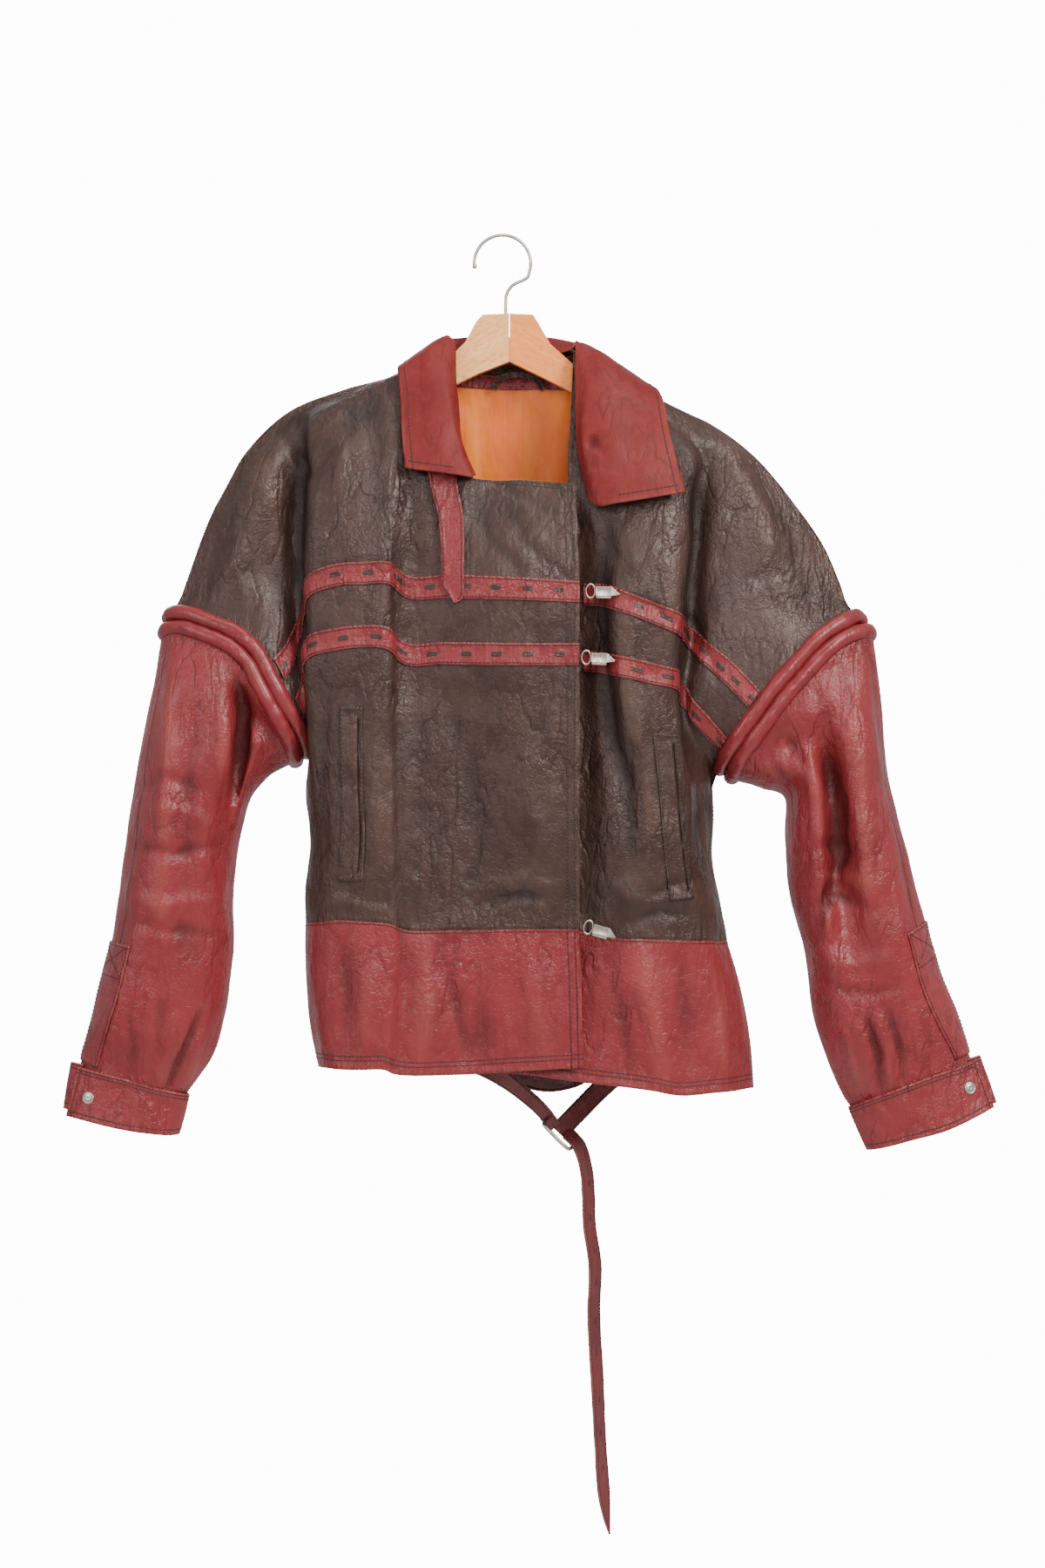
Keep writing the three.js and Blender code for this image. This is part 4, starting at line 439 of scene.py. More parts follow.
FOLDS_SLEEVE_LEFT = [
    # left sleeve
    ([-302, -373, -303, -470, -308, -566, -313, -670], 8, 3.0),
    ([-282, -378, -281, -470, -289, -566, -290, -662], 9, -2.6),
    ([-243, -388, -235, -438, -240, -482, -244, -522], 6, -6.0),
    ([-255, -398, -252, -454, -255, -510], 8, 3.0),
    ([-262, -381, -259, -403, -262, -422], 3, -2.0),
    ([-252, -382, -249, -405, -246, -422], 3, -2.0),
    ([-270, -378, -270, -397, -271, -414], 3, -1.6),
    ([-222, -402, -212, -432, -209, -462], 5, -2.6),
    ([-207, -422, -201, -446, -199, -470], 4, 2.0),
    ([-337, -506, -305, -496, -265, -512], 6, -2.2),
    ([-334, -526, -297, -526, -252, -542], 7, 2.0),
    ([-342, -557, -298, -566, -249, -555], 6, -2.4),
    ([-348, -598, -310, -614, -255, -606], 8, 2.0),
    ([-353, -624, -313, -634, -252, -640], 6, -2.0),
    ([-318, -670, -310, -710, -313, -758], 6, -2.0),
    ([-308, -787, -298, -763, -284, -734, -273, -702], 4, -5.0),
    ([-319, -784, -308, -750, -297, -710], 5, 2.6),
    ([-294, -782, -282, -758, -271, -726], 4, 2.4),
    ([-342, -779, -337, -742, -342, -702], 6, -1.8),
]

FOLDS_SLEEVE_RIGHT = [
    # right sleeve
    ([294, -469, 306, -518, 308, -574, 294, -614, 282, -645], 7, -6.0),
    ([279, -462, 287, -518, 290, -582], 7, 3.2),
    ([316, -422, 326, -502, 330, -582, 335, -646], 8, 3.2),
    ([338, -381, 348, -470, 362, -550, 380, -642], 4, -2.4),
    ([258, -454, 270, -477, 279, -491], 5, -3.0),
    ([242, -477, 255, -496, 266, -502], 4, -2.2),
    ([282, -414, 294, -446, 298, -472], 5, -2.2),
    ([308, -395, 316, -422, 316, -454], 4, -1.8),
    ([268, -566, 297, -557, 334, -573], 6, -2.2),
    ([271, -614, 306, -606, 346, -619], 7, -2.4),
    ([276, -590, 308, -586, 351, -598], 7, 2.2),
    ([282, -654, 313, -667, 354, -662], 7, 2.0),
    ([286, -678, 322, -694, 367, -686], 6, -2.0),
    ([346, -787, 342, -750, 330, -710], 4, -5.0),
    ([367, -778, 362, -742, 350, -702], 4, -4.0),
    ([356, -782, 351, -746, 340, -709], 4, 2.6),
    ([330, -792, 322, -758, 311, -726], 5, 2.4),
    ([388, -766, 378, -734, 367, -702], 5, 1.8),
]


def metres(table, *shape):
    """A table of millimetres in metres, in the shape given."""
    made = np.array(table, float) * MM
    return made.reshape(shape) if shape else made


def net(table):
    """A net of points from rows of millimetres, each row its x, y, z run on."""
    return metres(table, len(table), -1, 3)


def on_seam(points, side):
    """The net with its points of depth 0 moved half a seam's gap to the panel's side."""
    points[..., 1] = np.where(points[..., 1] == 0, side * SEAM_GAP / 2, points[..., 1])
    return points


def running(lengths):
    """Running totals from 0 down the first axis."""
    return np.concatenate([np.zeros((1, *lengths.shape[1:])), np.cumsum(lengths, axis=0)])


def knots(points):
    """Mean distance between neighbouring columns of a net, as running totals."""
    gaps = np.linalg.norm(np.diff(points, axis=1), axis=2).mean(axis=0)
    return running(np.maximum(gaps, MM))


def spline(points, places, s, sharp=()):
    """A smooth line through the points, read at the values s. It turns a corner at a sharp knot."""
    last = len(points) - 1
    spans = np.diff(places).reshape((-1,) + (1,) * (points.ndim - 1))
    steps = np.diff(points, axis=0) / spans
    leaving = np.empty_like(points)
    leaving[0] = steps[0]
    leaving[-1] = steps[-1]
    share = spans[:-1] / (spans[:-1] + spans[1:])
    leaving[1:-1] = steps[:-1] * (1 - share) + steps[1:] * share
    arriving = leaving.copy()
    for k in sharp:
        leaving[k] = steps[k]
        arriving[k] = steps[k - 1]
    s = np.asarray(s, float)
    i = np.clip(np.floor(s).astype(int), 0, last - 1)
    t = (s - i).reshape((-1,) + (1,) * (points.ndim - 1))
    return (points[i] * (2 * t**3 - 3 * t**2 + 1) + leaving[i] * spans[i] * (t**3 - 2 * t**2 + t)
            + points[i + 1] * (3 * t**2 - 2 * t**3) + arriving[i + 1] * spans[i] * (t**3 - t**2))


def smooth_line(points, count):
    """A number of places along the smooth line through the points."""
    last = len(points) - 1
    return spline(points, np.arange(last + 1.0), np.linspace(0, last, count))


class Cloth:
    """A smooth surface through a net of given points, in metres."""

    def __init__(self, points, sharp_rows=(), column_knots=None, side=0):
        self.net = points
        self.column_knots = knots(self.net) if column_knots is None else column_knots
        self.row_knots = knots(self.net.transpose(1, 0, 2))
        self.sharp_rows = sharp_rows
        self.side = side

    def points(self, columns, rows):
        lines = spline(self.net.transpose(1, 0, 2), self.column_knots, columns)
        grid = spline(lines.transpose(1, 0, 2), self.row_knots, rows, self.sharp_rows)
        if self.side:
            grid[..., 1] = self.side * np.maximum(self.side * grid[..., 1], SEAM_GAP / 2)
        return grid

    def steps(self, spacing, across, first=0.0, last=None, extra=()):
        """Parameter values about `spacing` apart along the columns (across) or rows, through every knot."""
        places = self.column_knots if across else self.row_knots
        last = len(places) - 1 if last is None else last
        values = {first, last, *extra}
        for k in range(math.floor(first), math.ceil(last)):
            count = max(1, round((places[k + 1] - places[k]) / spacing))
            values.update(k + i / count for i in range(count + 1))
        return np.array(sorted(v for v in values if first <= v <= last))


def grid_normals(grid, wrap=False):
    """Unit normals of a grid of points, columns x rows, by the right-hand rule of right and down."""
    if wrap:
        closed = np.concatenate([grid[:, -2:-1], grid, grid[:, 1:2]], axis=1)
        across = np.gradient(closed, axis=1)[:, 1:-1]
    else:
        across = np.gradient(grid, axis=1)
    down = np.gradient(grid, axis=0)
    normals = np.cross(across, down)
    normals /= np.maximum(np.linalg.norm(normals, axis=2, keepdims=True), 1e-12)
    return normals


def smoothstep(low, high, x):
    t = np.clip((x - low) / (high - low), 0, 1)
    return t * t * (3 - 2 * t)


def fold_depth(x, z, path, width, depth, crease=False):
    """Height that one fold adds at the places (x, z): a soft trough or ridge along a path in millimetres."""
    path = metres(path, -1, 2)
    lengths = np.linalg.norm(np.diff(path, axis=0), axis=1)
    starts = running(lengths)
    nearest = np.full(x.shape, np.inf)
    along = np.zeros(x.shape)
    for k, length in enumerate(lengths):
        way = (path[k + 1] - path[k]) / length
        t = np.clip((x - path[k][0]) * way[0] + (z - path[k][1]) * way[1], 0, length)
        gap = np.hypot(x - path[k][0] - t * way[0], z - path[k][1] - t * way[1])
        closer = gap < nearest
        nearest = np.where(closer, gap, nearest)
        along = np.where(closer, starts[k] + t, along)
    taper = np.sin(np.pi * np.clip(along / starts[-1], 0, 1)) ** 0.6
    reach = nearest / (width * MM)
    profile = np.exp(-reach) if crease else np.exp(-reach**2)
    return depth * MM * taper * profile


def folds_height(sheet, folds):
    """Height that all the folds together add to a sheet."""
    total = np.zeros(sheet.grid.shape[:2])
    for fold in folds:
        total += fold_depth(sheet.grid[..., 0], sheet.grid[..., 2], *fold)
    return total


def crinkle(points, sizes, seed, octaves=3):
    """Noise from -1 to 1 at each point. Its features have the lengths `sizes` in millimetres."""
    scaled = points.reshape(-1, 3) / (np.array(sizes, float) * MM)
    values = [noise.fractal(Vector((x + seed, y, z)), 0.9, 2.1, octaves) for x, y, z in scaled]
    return np.array(values).reshape(points.shape[:-1])


def grid_at(grid, i, j):
    """Values between the points of a grid."""
    i0 = np.clip(np.floor(i).astype(int), 0, grid.shape[0] - 2)
    j0 = np.clip(np.floor(j).astype(int), 0, grid.shape[1] - 2)
    u = (i - i0)[:, None]
    v = (j - j0)[:, None]
    top = grid[i0, j0] * (1 - v) + grid[i0, j0 + 1] * v
    low = grid[i0 + 1, j0] * (1 - v) + grid[i0 + 1, j0 + 1] * v
    return top * (1 - u) + low * u


class Sheet:
    """A fine grid of one cut piece: its middle points, outward normals and how far it was folded."""

    def __init__(self, grid, outward, wrap=False):
        self.grid = grid
        self.wrap = wrap
        normals = grid_normals(grid, wrap)
        self.flip = -1.0 if self._faces_away(normals, outward) else 1.0
        self.normals = normals * self.flip
        self.folded = np.zeros(grid.shape[:2])

    def _faces_away(self, normals, outward):
        if outward is None:
            centre = self.grid.mean(axis=1, keepdims=True)
            return ((self.grid - centre) * normals).sum() < 0
        return (normals * np.array(outward, float)).sum() < 0

    def push(self, height):
        """Moves the points out along the normals, except at the seam plane, where they move in it."""
        step = self.normals * height[..., None]
        on_seam = np.abs(self.grid[..., 1]) < 0.4 * MM
        step[..., 1] = np.where(on_seam & (not self.wrap), 0.0, step[..., 1])
        self.grid = self.grid + step
        self.folded = self.folded + height
        self.normals = grid_normals(self.grid, self.wrap) * self.flip

    def dome(self):
        """Raises the middle of a strap a little above its long edges."""
        shares = np.linspace(-1, 1, self.grid.shape[1])
        self.push(np.tile(STRAP_DOME * (1 - shares**2), (len(self.grid), 1)))

    def lifted(self, distance):
        return self.grid + self.normals * distance

    def line_at(self, i, j):
        """Points and normals at the rows i and columns j, which may lie between points."""
        return grid_at(self.grid, i, j), grid_at(self.normals, i, j)

    def rows_inside(self, edges, *insets, start=0.0, end=1.0):
        """A line inside each named edge for each inset in millimetres."""
        return [self.inset_line(edge, inset * MM, start, end) for edge in edges.split() for inset in insets]

    def inset_line(self, edge, inset, start=0.0, end=1.0):
        """Points and normals of the line that runs `inset` metres inside an edge of the sheet."""
        grid = self.grid
        normals = self.normals
        if edge in ("left", "right"):
            grid = grid.transpose(1, 0, 2)
            normals = normals.transpose(1, 0, 2)
        if edge in ("bottom", "right"):
            grid = grid[::-1]
            normals = normals[::-1]
        run = running(np.linalg.norm(np.diff(grid, axis=0), axis=2))
        count = grid.shape[1]
        places = []
        facing = []
        for j in range(int(start * (count - 1)), int(end * (count - 1)) + 1):
            i = max(min(int(np.searchsorted(run[:, j], inset)), len(run) - 1), 1)
            t = (inset - run[i - 1, j]) / max(run[i, j] - run[i - 1, j], 1e-9)
            t = min(max(t, 0.0), 1.0)
            places.append(grid[i - 1, j] * (1 - t) + grid[i, j] * t)
            facing.append(normals[i - 1, j] * (1 - t) + normals[i, j] * t)
        return np.array(places), np.array(facing)


def mesh_object(name, verts, faces, uvs=None, values=None):
    """A smooth mesh object at the origin. `uvs` and `values` (attributes by name) are per vertex."""
    mesh = bpy.data.meshes.new(name)
    mesh.from_pydata([tuple(v) for v in verts], [], [tuple(f) for f in faces])
    mesh.shade_smooth()
    if uvs is not None:
        layer = mesh.uv_layers.new(name="UVMap")
        corner_vertices = np.empty(len(mesh.loops), dtype=np.int32)
        mesh.loops.foreach_get("vertex_index", corner_vertices)
        layer.data.foreach_set("uv", np.asarray(uvs, float)[corner_vertices].ravel())
    for label, numbers in (values or {}).items():
        mesh.attributes.new(label, "FLOAT", "POINT").data.foreach_set("value", np.asarray(numbers, float))
    obj = bpy.data.objects.new(name, mesh)
    bpy.context.scene.collection.objects.link(obj)
    return obj


def squares(number):
    """The faces between the numbered points of a grid."""
    corners = [number[:-1, :-1], number[:-1, 1:], number[1:, 1:], number[1:, :-1]]
    return np.stack(corners, axis=2).reshape(-1, 4)


def shell(name, sheet, thickness, lift=0.0):
    """A closed thin solid on a sheet, moved out by `lift`."""
    return mesh_object(name, *shell_parts(sheet, thickness, lift))


def shell_parts(sheet, thickness, lift=0.0):
    """The vertices, faces, UVs and attributes of a shell."""
    grid = sheet.lifted(lift)
    rows, columns = grid.shape[:2]
    inner = grid - sheet.normals * thickness
    count = rows * columns
    verts = np.concatenate([grid.reshape(-1, 3), inner.reshape(-1, 3)])
    number = np.arange(count).reshape(rows, columns)
    if sheet.wrap:
        number[:, -1] = number[:, 0]
    outer = squares(number)
    if sheet.flip < 0:
        outer = outer[:, ::-1]
    faces = np.concatenate([outer, outer[:, ::-1] + count])
    edges = np.concatenate([outer[:, [k, (k + 1) % 4]] for k in range(4)])
    known = {tuple(e) for e in edges.tolist()}
    rims = [(p, p + count, q + count, q) for p, q in edges.tolist() if (q, p) not in known]
    faces = np.concatenate([faces, np.array(rims)]) if rims else faces
    run_across = running(np.linalg.norm(np.diff(grid, axis=1), axis=2).T).T
    run_down = running(np.linalg.norm(np.diff(grid, axis=0), axis=2))
    uvs = np.stack([run_across.ravel(), run_down.ravel()], axis=1)
    used = np.unique(faces)
    renumber = np.full(2 * count, -1)
    renumber[used] = np.arange(len(used))
    folded = np.tile(sheet.folded.ravel() / MM, 2)[used]
    rim = np.tile(near_edge(run_across, run_down, sheet.wrap).ravel(), 2)[used]
    return verts[used], renumber[faces], np.tile(uvs, (2, 1))[used], {"folded": folded, "rim": rim}


def joined(name, parts):
    """One object from the parts of several shells."""
    starts = np.cumsum([0] + [len(part[0]) for part in parts[:-1]])
    faces = np.concatenate([part[1] + start for part, start in zip(parts, starts)])
    values = {label: np.concatenate([part[3][label] for part in parts]) for label in parts[0][3]}
    return mesh_object(name, np.concatenate([part[0] for part in parts]), faces,
                       np.concatenate([part[2] for part in parts]), values)


def near_edge(run_across, run_down, wrap):
    """1 at a piece's edge, fading inwards within about a centimetre."""
    distance = np.minimum(run_down, run_down[-1:] - run_down)
    if not wrap:
        distance = np.minimum(distance, np.minimum(run_across, run_across[:, -1:] - run_across))
    return np.exp(-distance / min(RIM_REACH, distance.max() / 2))


def between(s, run, values):
    """A vector read at the length s along a line."""
    return np.array([np.interp(s, run, values[:, i]) for i in range(3)])


def stitch_row(places, facing):
    """Vertices and faces of short thread lengths along a line, each one a grain with pointed ends."""
    run = running(np.linalg.norm(np.diff(places, axis=0), axis=1))
    verts = []
    faces = []
    for k in range(int(run[-1] / STITCH_PITCH)):
        first = k * STITCH_PITCH
        start = between(first + (STITCH_PITCH - STITCH_LENGTH) / 2, run, places)
        end = between(first + (STITCH_PITCH + STITCH_LENGTH) / 2, run, places)
        up = between(first, run, facing)
        along = end - start
        up = up - along * (up @ along) / (along @ along)
        up /= np.linalg.norm(up)
        side = np.cross(along / np.linalg.norm(along), up)
        base = len(verts)
        verts.append(start + up * STITCH_RADIUS * 0.1)
        for share in (0.2, 0.8):
            middle = start + along * share + up * STITCH_RADIUS * 0.45
            for corner in range(5):
                turn = 2 * math.pi * corner / 5
                verts.append(middle + STITCH_RADIUS * 0.85 * (side * math.cos(turn) + up * math.sin(turn)))
        verts.append(end + up * STITCH_RADIUS * 0.1)
        for corner in range(5):
            p = base + 1 + corner
            q = base + 1 + (corner + 1) % 5
            faces += [(base, p, q), (p, p + 5, q + 5, q), (p + 5, base + 11, q + 5)]
    return verts, faces


def groove_shade_row(places, facing, width=GROOVE_SHADE_WIDTH):
    """Vertices and faces of a narrow dark strip on the leather: painted shade that stands for the groove
    which the needle and thread press into it.
    """
    along = np.gradient(places, axis=0)
    side = np.cross(facing, along)
    side *= width / 2 / np.maximum(np.linalg.norm(side, axis=1, keepdims=True), 1e-9)
    facing = facing / np.maximum(np.linalg.norm(facing, axis=1, keepdims=True), 1e-9)
    over = places + facing * GROOVE_SHADE_HEIGHT
    under = places - facing * GROOVE_SHADE_HEIGHT
    verts = np.stack([over - side, over + side, under + side, under - side], axis=1).reshape(-1, 3)
    faces = []
    for k in range(len(places) - 1):
        base = 4 * k
        faces += [(base + i, base + (i + 1) % 4, base + 4 + (i + 1) % 4, base + 4 + i) for i in range(4)]
    last = len(verts) - 4
    faces += [(0, 3, 2, 1), (last, last + 1, last + 2, last + 3)]
    return list(verts), faces


def stitches(name, lines, row):
    """One object with the stitches, or with the dark painted-shade groove strips (row), of several lines,
    each (places, facing).
    """
    verts = []
    faces = []
    for places, facing in lines:
        more, shapes = row(places, facing)
        faces += [tuple(i + len(verts) for i in face) for face in shapes]
        verts += more
    return outward(mesh_object(name, verts, faces))


def outward(obj):
    """Turns a closed mesh's faces to point out."""
    shape = bmesh.new()
    shape.from_mesh(obj.data)
    bmesh.ops.recalc_face_normals(shape, faces=shape.faces)
    shape.to_mesh(obj.data)
    shape.free()
    return obj


def put_on(obj, slot, *nodes, finish=None):
    """Rides the piece on the jacket, gives it its finish, the slot's unless another is named, and hides the
    solids it stands for.
    """
    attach(obj, "root")
    obj.data.materials.clear()
    obj.data.materials.append(finishes()[finish or slot])
    if nodes:
        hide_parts(*nodes)


def feed(tree, node, inputs):
    """Links each output, or sets each plain value, at the named or numbered input of a node."""
    for name, value in inputs.items():
        if isinstance(value, bpy.types.NodeSocket):
            tree.links.new(value, node.inputs[name])
        else:
            node.inputs[name].default_value = value


def add_node(tree, kind, inputs=None, **settings):
    made = tree.nodes.new("ShaderNode" + kind)
    for name, value in settings.items():
        setattr(made, name, value)
    feed(tree, made, inputs or {})
    return made


def maths(tree, operation, a, b=0.0, clamp=False):
    return add_node(tree, "Math", {0: a, 1: b}, operation=operation, use_clamp=clamp).outputs[0]


def times(tree, *factors):
    return functools.reduce(functools.partial(maths, tree, "MULTIPLY"), factors)


def plus(tree, *terms):
    return functools.reduce(functools.partial(maths, tree, "ADD"), terms)


def mixed(tree, share, a, b):
    return add_node(tree, "Mix", {0: share, 6: a, 7: b}, data_type="RGBA").outputs[2]


def ranged(tree, value, low, high, out_low=0.0, out_high=1.0):
    """A value brought smoothly from the range low to high into another range."""
    inputs = {"Value": value, "From Min": low, "From Max": high, "To Min": out_low, "To Max": out_high}
    return add_node(tree, "MapRange", inputs, interpolation_type="SMOOTHSTEP").outputs["Result"]


def object_place(tree):
    return add_node(tree, "TexCoord").outputs["Object"]


def stretched(tree, lengths, turn=(0.0, 0.0, 0.0)):
    """Object coordinates turned, then stretched so that features are `lengths` times as long."""
    inputs = {"Vector": object_place(tree), "Rotation": turn, "Scale": lengths}
    return add_node(tree, "Mapping", inputs, vector_type="TEXTURE").outputs["Vector"]


def noise_at(tree, vector, scale, detail=2.0):
    return add_node(tree, "TexNoise", {"Vector": vector, "Scale": scale, "Detail": detail}).outputs["Fac"]


def bumped(tree, height, strength, distance):
    inputs = {"Strength": strength, "Distance": distance, "Height": height}
    return add_node(tree, "Bump", inputs).outputs["Normal"]


def attribute(tree, name):
    return add_node(tree, "Attribute", attribute_name=name).outputs["Fac"]


def new_group(name, inputs, outputs):
    """An empty shader group and its two end nodes. Sockets are (name, kind, default)."""
    group = bpy.data.node_groups.new(name, "ShaderNodeTree")
    for label, kind, default in inputs:
        socket = group.interface.new_socket(name=label, in_out="INPUT", socket_type="NodeSocket" + kind)
        socket.default_value = default
    for label, kind in outputs:
        group.interface.new_socket(name=label, in_out="OUTPUT", socket_type="NodeSocket" + kind)
    return group, group.nodes.new("NodeGroupInput"), group.nodes.new("NodeGroupOutput")


def crease_lines(tree, vector, scale, width):
    """0 along wandering creases and 1 between them."""
    away = maths(tree, "ABSOLUTE", maths(tree, "SUBTRACT", noise_at(tree, vector, scale), 0.5))
    return ranged(tree, away, 0.0, width)


def leather_group():
    """Grain, crinkles, folds and wear of tanned leather, with painted shade darkening its creases and fold
    troughs and a painted highlight paling its fold ridges.
    """
    group, given, made = new_group(
        "leather_hide",
        [("Colour", "Color", (0.1, 0.06, 0.04, 1)), ("Deep", "Color", (0.02, 0.01, 0.01, 1)),
         ("Wear and highlight", "Color", (0.3, 0.2, 0.15, 1)), ("Roughness", "Float", 0.45), ("Crinkle", "Float", 0.5),
         ("Mottle", "Float", 0.4)],
        [("Colour", "Color"), ("Roughness", "Float"), ("Normal", "Vector")])
    body, deep, wear_and_highlight_colour, roughness, crinkle, mottle = list(given.outputs)[:6]
    place = object_place(group)
    folded = attribute(group, "folded")
    rim = attribute(group, "rim")
    # Height: creases, crinkles and pores in patches, a broad swell and puckers along the seams
    drape = stretched(group, (1.0, 1.0, 2.8), (0.0, 0.10, 0.0))
    patches = ranged(group, noise_at(group, place, 13.0), 0.42, 0.62, 0.4, 1.0)
    creases = crease_lines(group, drape, 46.0, 0.055)
    hairlines = crease_lines(group, place, 120.0, 0.07)
    ripples = noise_at(group, place, 150.0, 3.0)
    swell = noise_at(group, drape, 40.0, 3.0)
    puckers = noise_at(group, stretched(group, (0.5, 0.5, 3.0)), 150.0, 1.0)
    pebble = add_node(group, "TexVoronoi", {"Vector": place, "Scale": 900.0}, feature="SMOOTH_F1")
    height = plus(group, times(group, creases, 0.22), times(group, hairlines, 0.10),
                  times(group, ripples, 0.32))
    height = plus(group, times(group, height, patches), times(group, swell, 1.5),
                  times(group, rim, puckers, 1.2), times(group, pebble.outputs["Distance"], 0.06))
    # Colour: darker with stains, and with painted shade in the creases and fold troughs; paler at scuffs and
    # rubbed edges, and with a painted highlight on the fold ridges
    stains = ranged(group, noise_at(group, place, 22.0, 5.0), 0.3, 0.75)
    # Painted shade: the colour darkens in the fold troughs, which also turn duller
    painted_trough_shade = ranged(group, folded, -0.3, -4.5, 0.0, 0.75)
    # Painted highlight: the colour pales on the fold ridges
    ridge = ranged(group, folded, 0.5, 3.8, 0.0, 0.3)
    scuffs = ranged(group, noise_at(group, place, 120.0, 6.0), 0.50, 0.68)
    rubbed = times(group, maths(group, "POWER", rim, 4.0), ranged(group, swell, 0.38, 0.62, 0.0, 0.45))
    # Stains, then painted shade along the creases and in the fold troughs, mix the body towards the deep
    # colour
    for share in (times(group, stains, mottle),
                  times(group, maths(group, "SUBTRACT", 1.0, creases), patches, 0.30), painted_trough_shade):
        body = mixed(group, share, body, deep)
    # Paler at real scuffs and rubbed edges, and where the painted highlight of the ridges is
    wear_and_highlight_share = maths(group, "MAXIMUM", times(group, scuffs, 0.07), maths(group, "MAXIMUM", ridge, rubbed))
    # Roughness: uneven, and duller in the troughs
    rough = plus(group, ranged(group, noise_at(group, place, 30.0, 4.0), 0.3, 0.7, -0.07, 0.09), roughness)
    rough = maths(group, "ADD", rough, times(group, painted_trough_shade, 0.25), clamp=True)
    feed(group, made, {"Colour": mixed(group, wear_and_highlight_share, body, wear_and_highlight_colour), "Roughness": rough,
                       "Normal": bumped(group, height, crinkle, 0.003)})
    return group


def new_material(name):
    """A material with only its Principled shader and output."""
    material = bpy.data.materials.new(name)
    material.use_nodes = True
    tree = material.node_tree
    return material, tree, tree.nodes["Principled BSDF"]


def leather(name, group, colours, roughness, crinkle, mottle=0.4, specular=0.5):
    """A leather material. `colours` are its body, the dark tone of its stains and of the painted shade in
    its creases and folds, and the pale tone of its worn places and of the painted highlight on its ridges.
    """
    material, tree, shader = new_material(name)
    body, deep, wear_and_highlight_colour = [(*c, 1.0) for c in colours]
    use = tree.nodes.new("ShaderNodeGroup")
    use.node_tree = group
    feed(tree, use, {"Colour": body, "Deep": deep, "Wear and highlight": wear_and_highlight_colour, "Roughness": roughness,
                     "Crinkle": crinkle, "Mottle": mottle})
    feed(tree, shader, {"Base Color": use.outputs["Colour"], "Roughness": use.outputs["Roughness"],
                        "Normal": use.outputs["Normal"], "Specular IOR Level": specular,
                        "Specular Tint": (1.0, 0.90, 0.87, 1)})
    return material


def satin(name):
    """The ochre lining: a smooth weave with soft upright folds, its colour painted darker in their hollows
    and lighter on their crests as shade and light.
    """
    material, tree, shader = new_material(name)
    folds = noise_at(tree, stretched(tree, (1.0, 1.0, 8.0)), 45.0, 4.0)
    weave = noise_at(tree, stretched(tree, (1.0, 1.0, 0.33)), 1500.0, 1.0)
    # Painted shade and light: the colour follows the folds' height, darker in the hollows and lighter on the
    # crests
    colour = mixed(tree, ranged(tree, folds, 0.32, 0.68), (0.92, 0.15, 0.001, 1), (1.0, 0.25, 0.004, 1))
    feed(tree, shader, {"Base Color": colour, "Roughness": ranged(tree, weave, 0.3, 0.7, 0.34, 0.46),
                        "Normal": bumped(tree, plus(tree, folds, times(tree, weave, 0.05)), 0.6, 0.004),
                        "Sheen Weight": 0.3})
    return material


def beech(name, turn, light, dark):
    """Beech with its grain along the arm and short flecks. `turn` is the arm's slope in radians."""
    material, tree, shader = new_material(name)
    light, dark, fleck = (*light, 1), (*dark, 1), (0.42, 0.19, 0.07, 1)
    along = stretched(tree, (16.0, 1.0, 1.0), (0.0, turn, 0.0))
    grain = noise_at(tree, along, 420.0, 4.0)
    broad = noise_at(tree, along, 60.0)
    flecks = noise_at(tree, stretched(tree, (5.0, 1.0, 1.0), (0.0, turn, 0.0)), 900.0, 0.0)
    colour = mixed(tree, ranged(tree, grain, 0.35, 0.65), light, dark)
    colour = mixed(tree, ranged(tree, broad, 0.4, 0.7, 0.0, 0.4), colour, dark)
    colour = mixed(tree, ranged(tree, flecks, 0.62, 0.7, 0.0, 0.55), colour, fleck)
    feed(tree, shader, {"Base Color": colour, "Roughness": ranged(tree, grain, 0.3, 0.7, 0.48, 0.6),
                        "Normal": bumped(tree, grain, 0.25, 0.0004), "Specular IOR Level": 0.3})
    return material


def shades(tree, mask, colour, darker):
    """A colour that turns darker, by a share of itself, where the mask is 1."""
    return mixed(tree, mask, (*colour, 1), (*(c * darker for c in colour), 1))


def metal(name, colour, roughness):
    """Plated metal with fine scratches and duller patches."""
    material, tree, shader = new_material(name)
    patches = noise_at(tree, object_place(tree), 160.0, 4.0)
    scratches = noise_at(tree, stretched(tree, (7.0, 1.0, 1.0), (0.0, 0.4, 0.0)), 2200.0)
    feed(tree, shader, {"Base Color": shades(tree, ranged(tree, patches, 0.45, 0.75), colour, 0.72),
                        "Roughness": plus(tree, ranged(tree, patches, 0.35, 0.7, 0.0, 0.18), roughness),
                        "Normal": bumped(tree, scratches, 0.2, 0.0001), "Metallic": 1.0})
    return material


def thread(name, colour):
    """Waxed sewing thread: two plies seen as a fine slant, with painted shade darkening the grooves between
    them.
    """
    material, tree, shader = new_material(name)
    ply_groove_shade = noise_at(tree, stretched(tree, (1.0, 1.0, 2.0), (0.0, 0.7, 0.0)), 2500.0, 1.0)
    # Painted shade in the grooves between the plies
    feed(tree, shader, {"Base Color": shades(tree, ranged(tree, ply_groove_shade, 0.4, 0.6), colour, 0.55),
                        "Roughness": 0.6})
    return material


BROAD_SWELL = 1.3 * MM


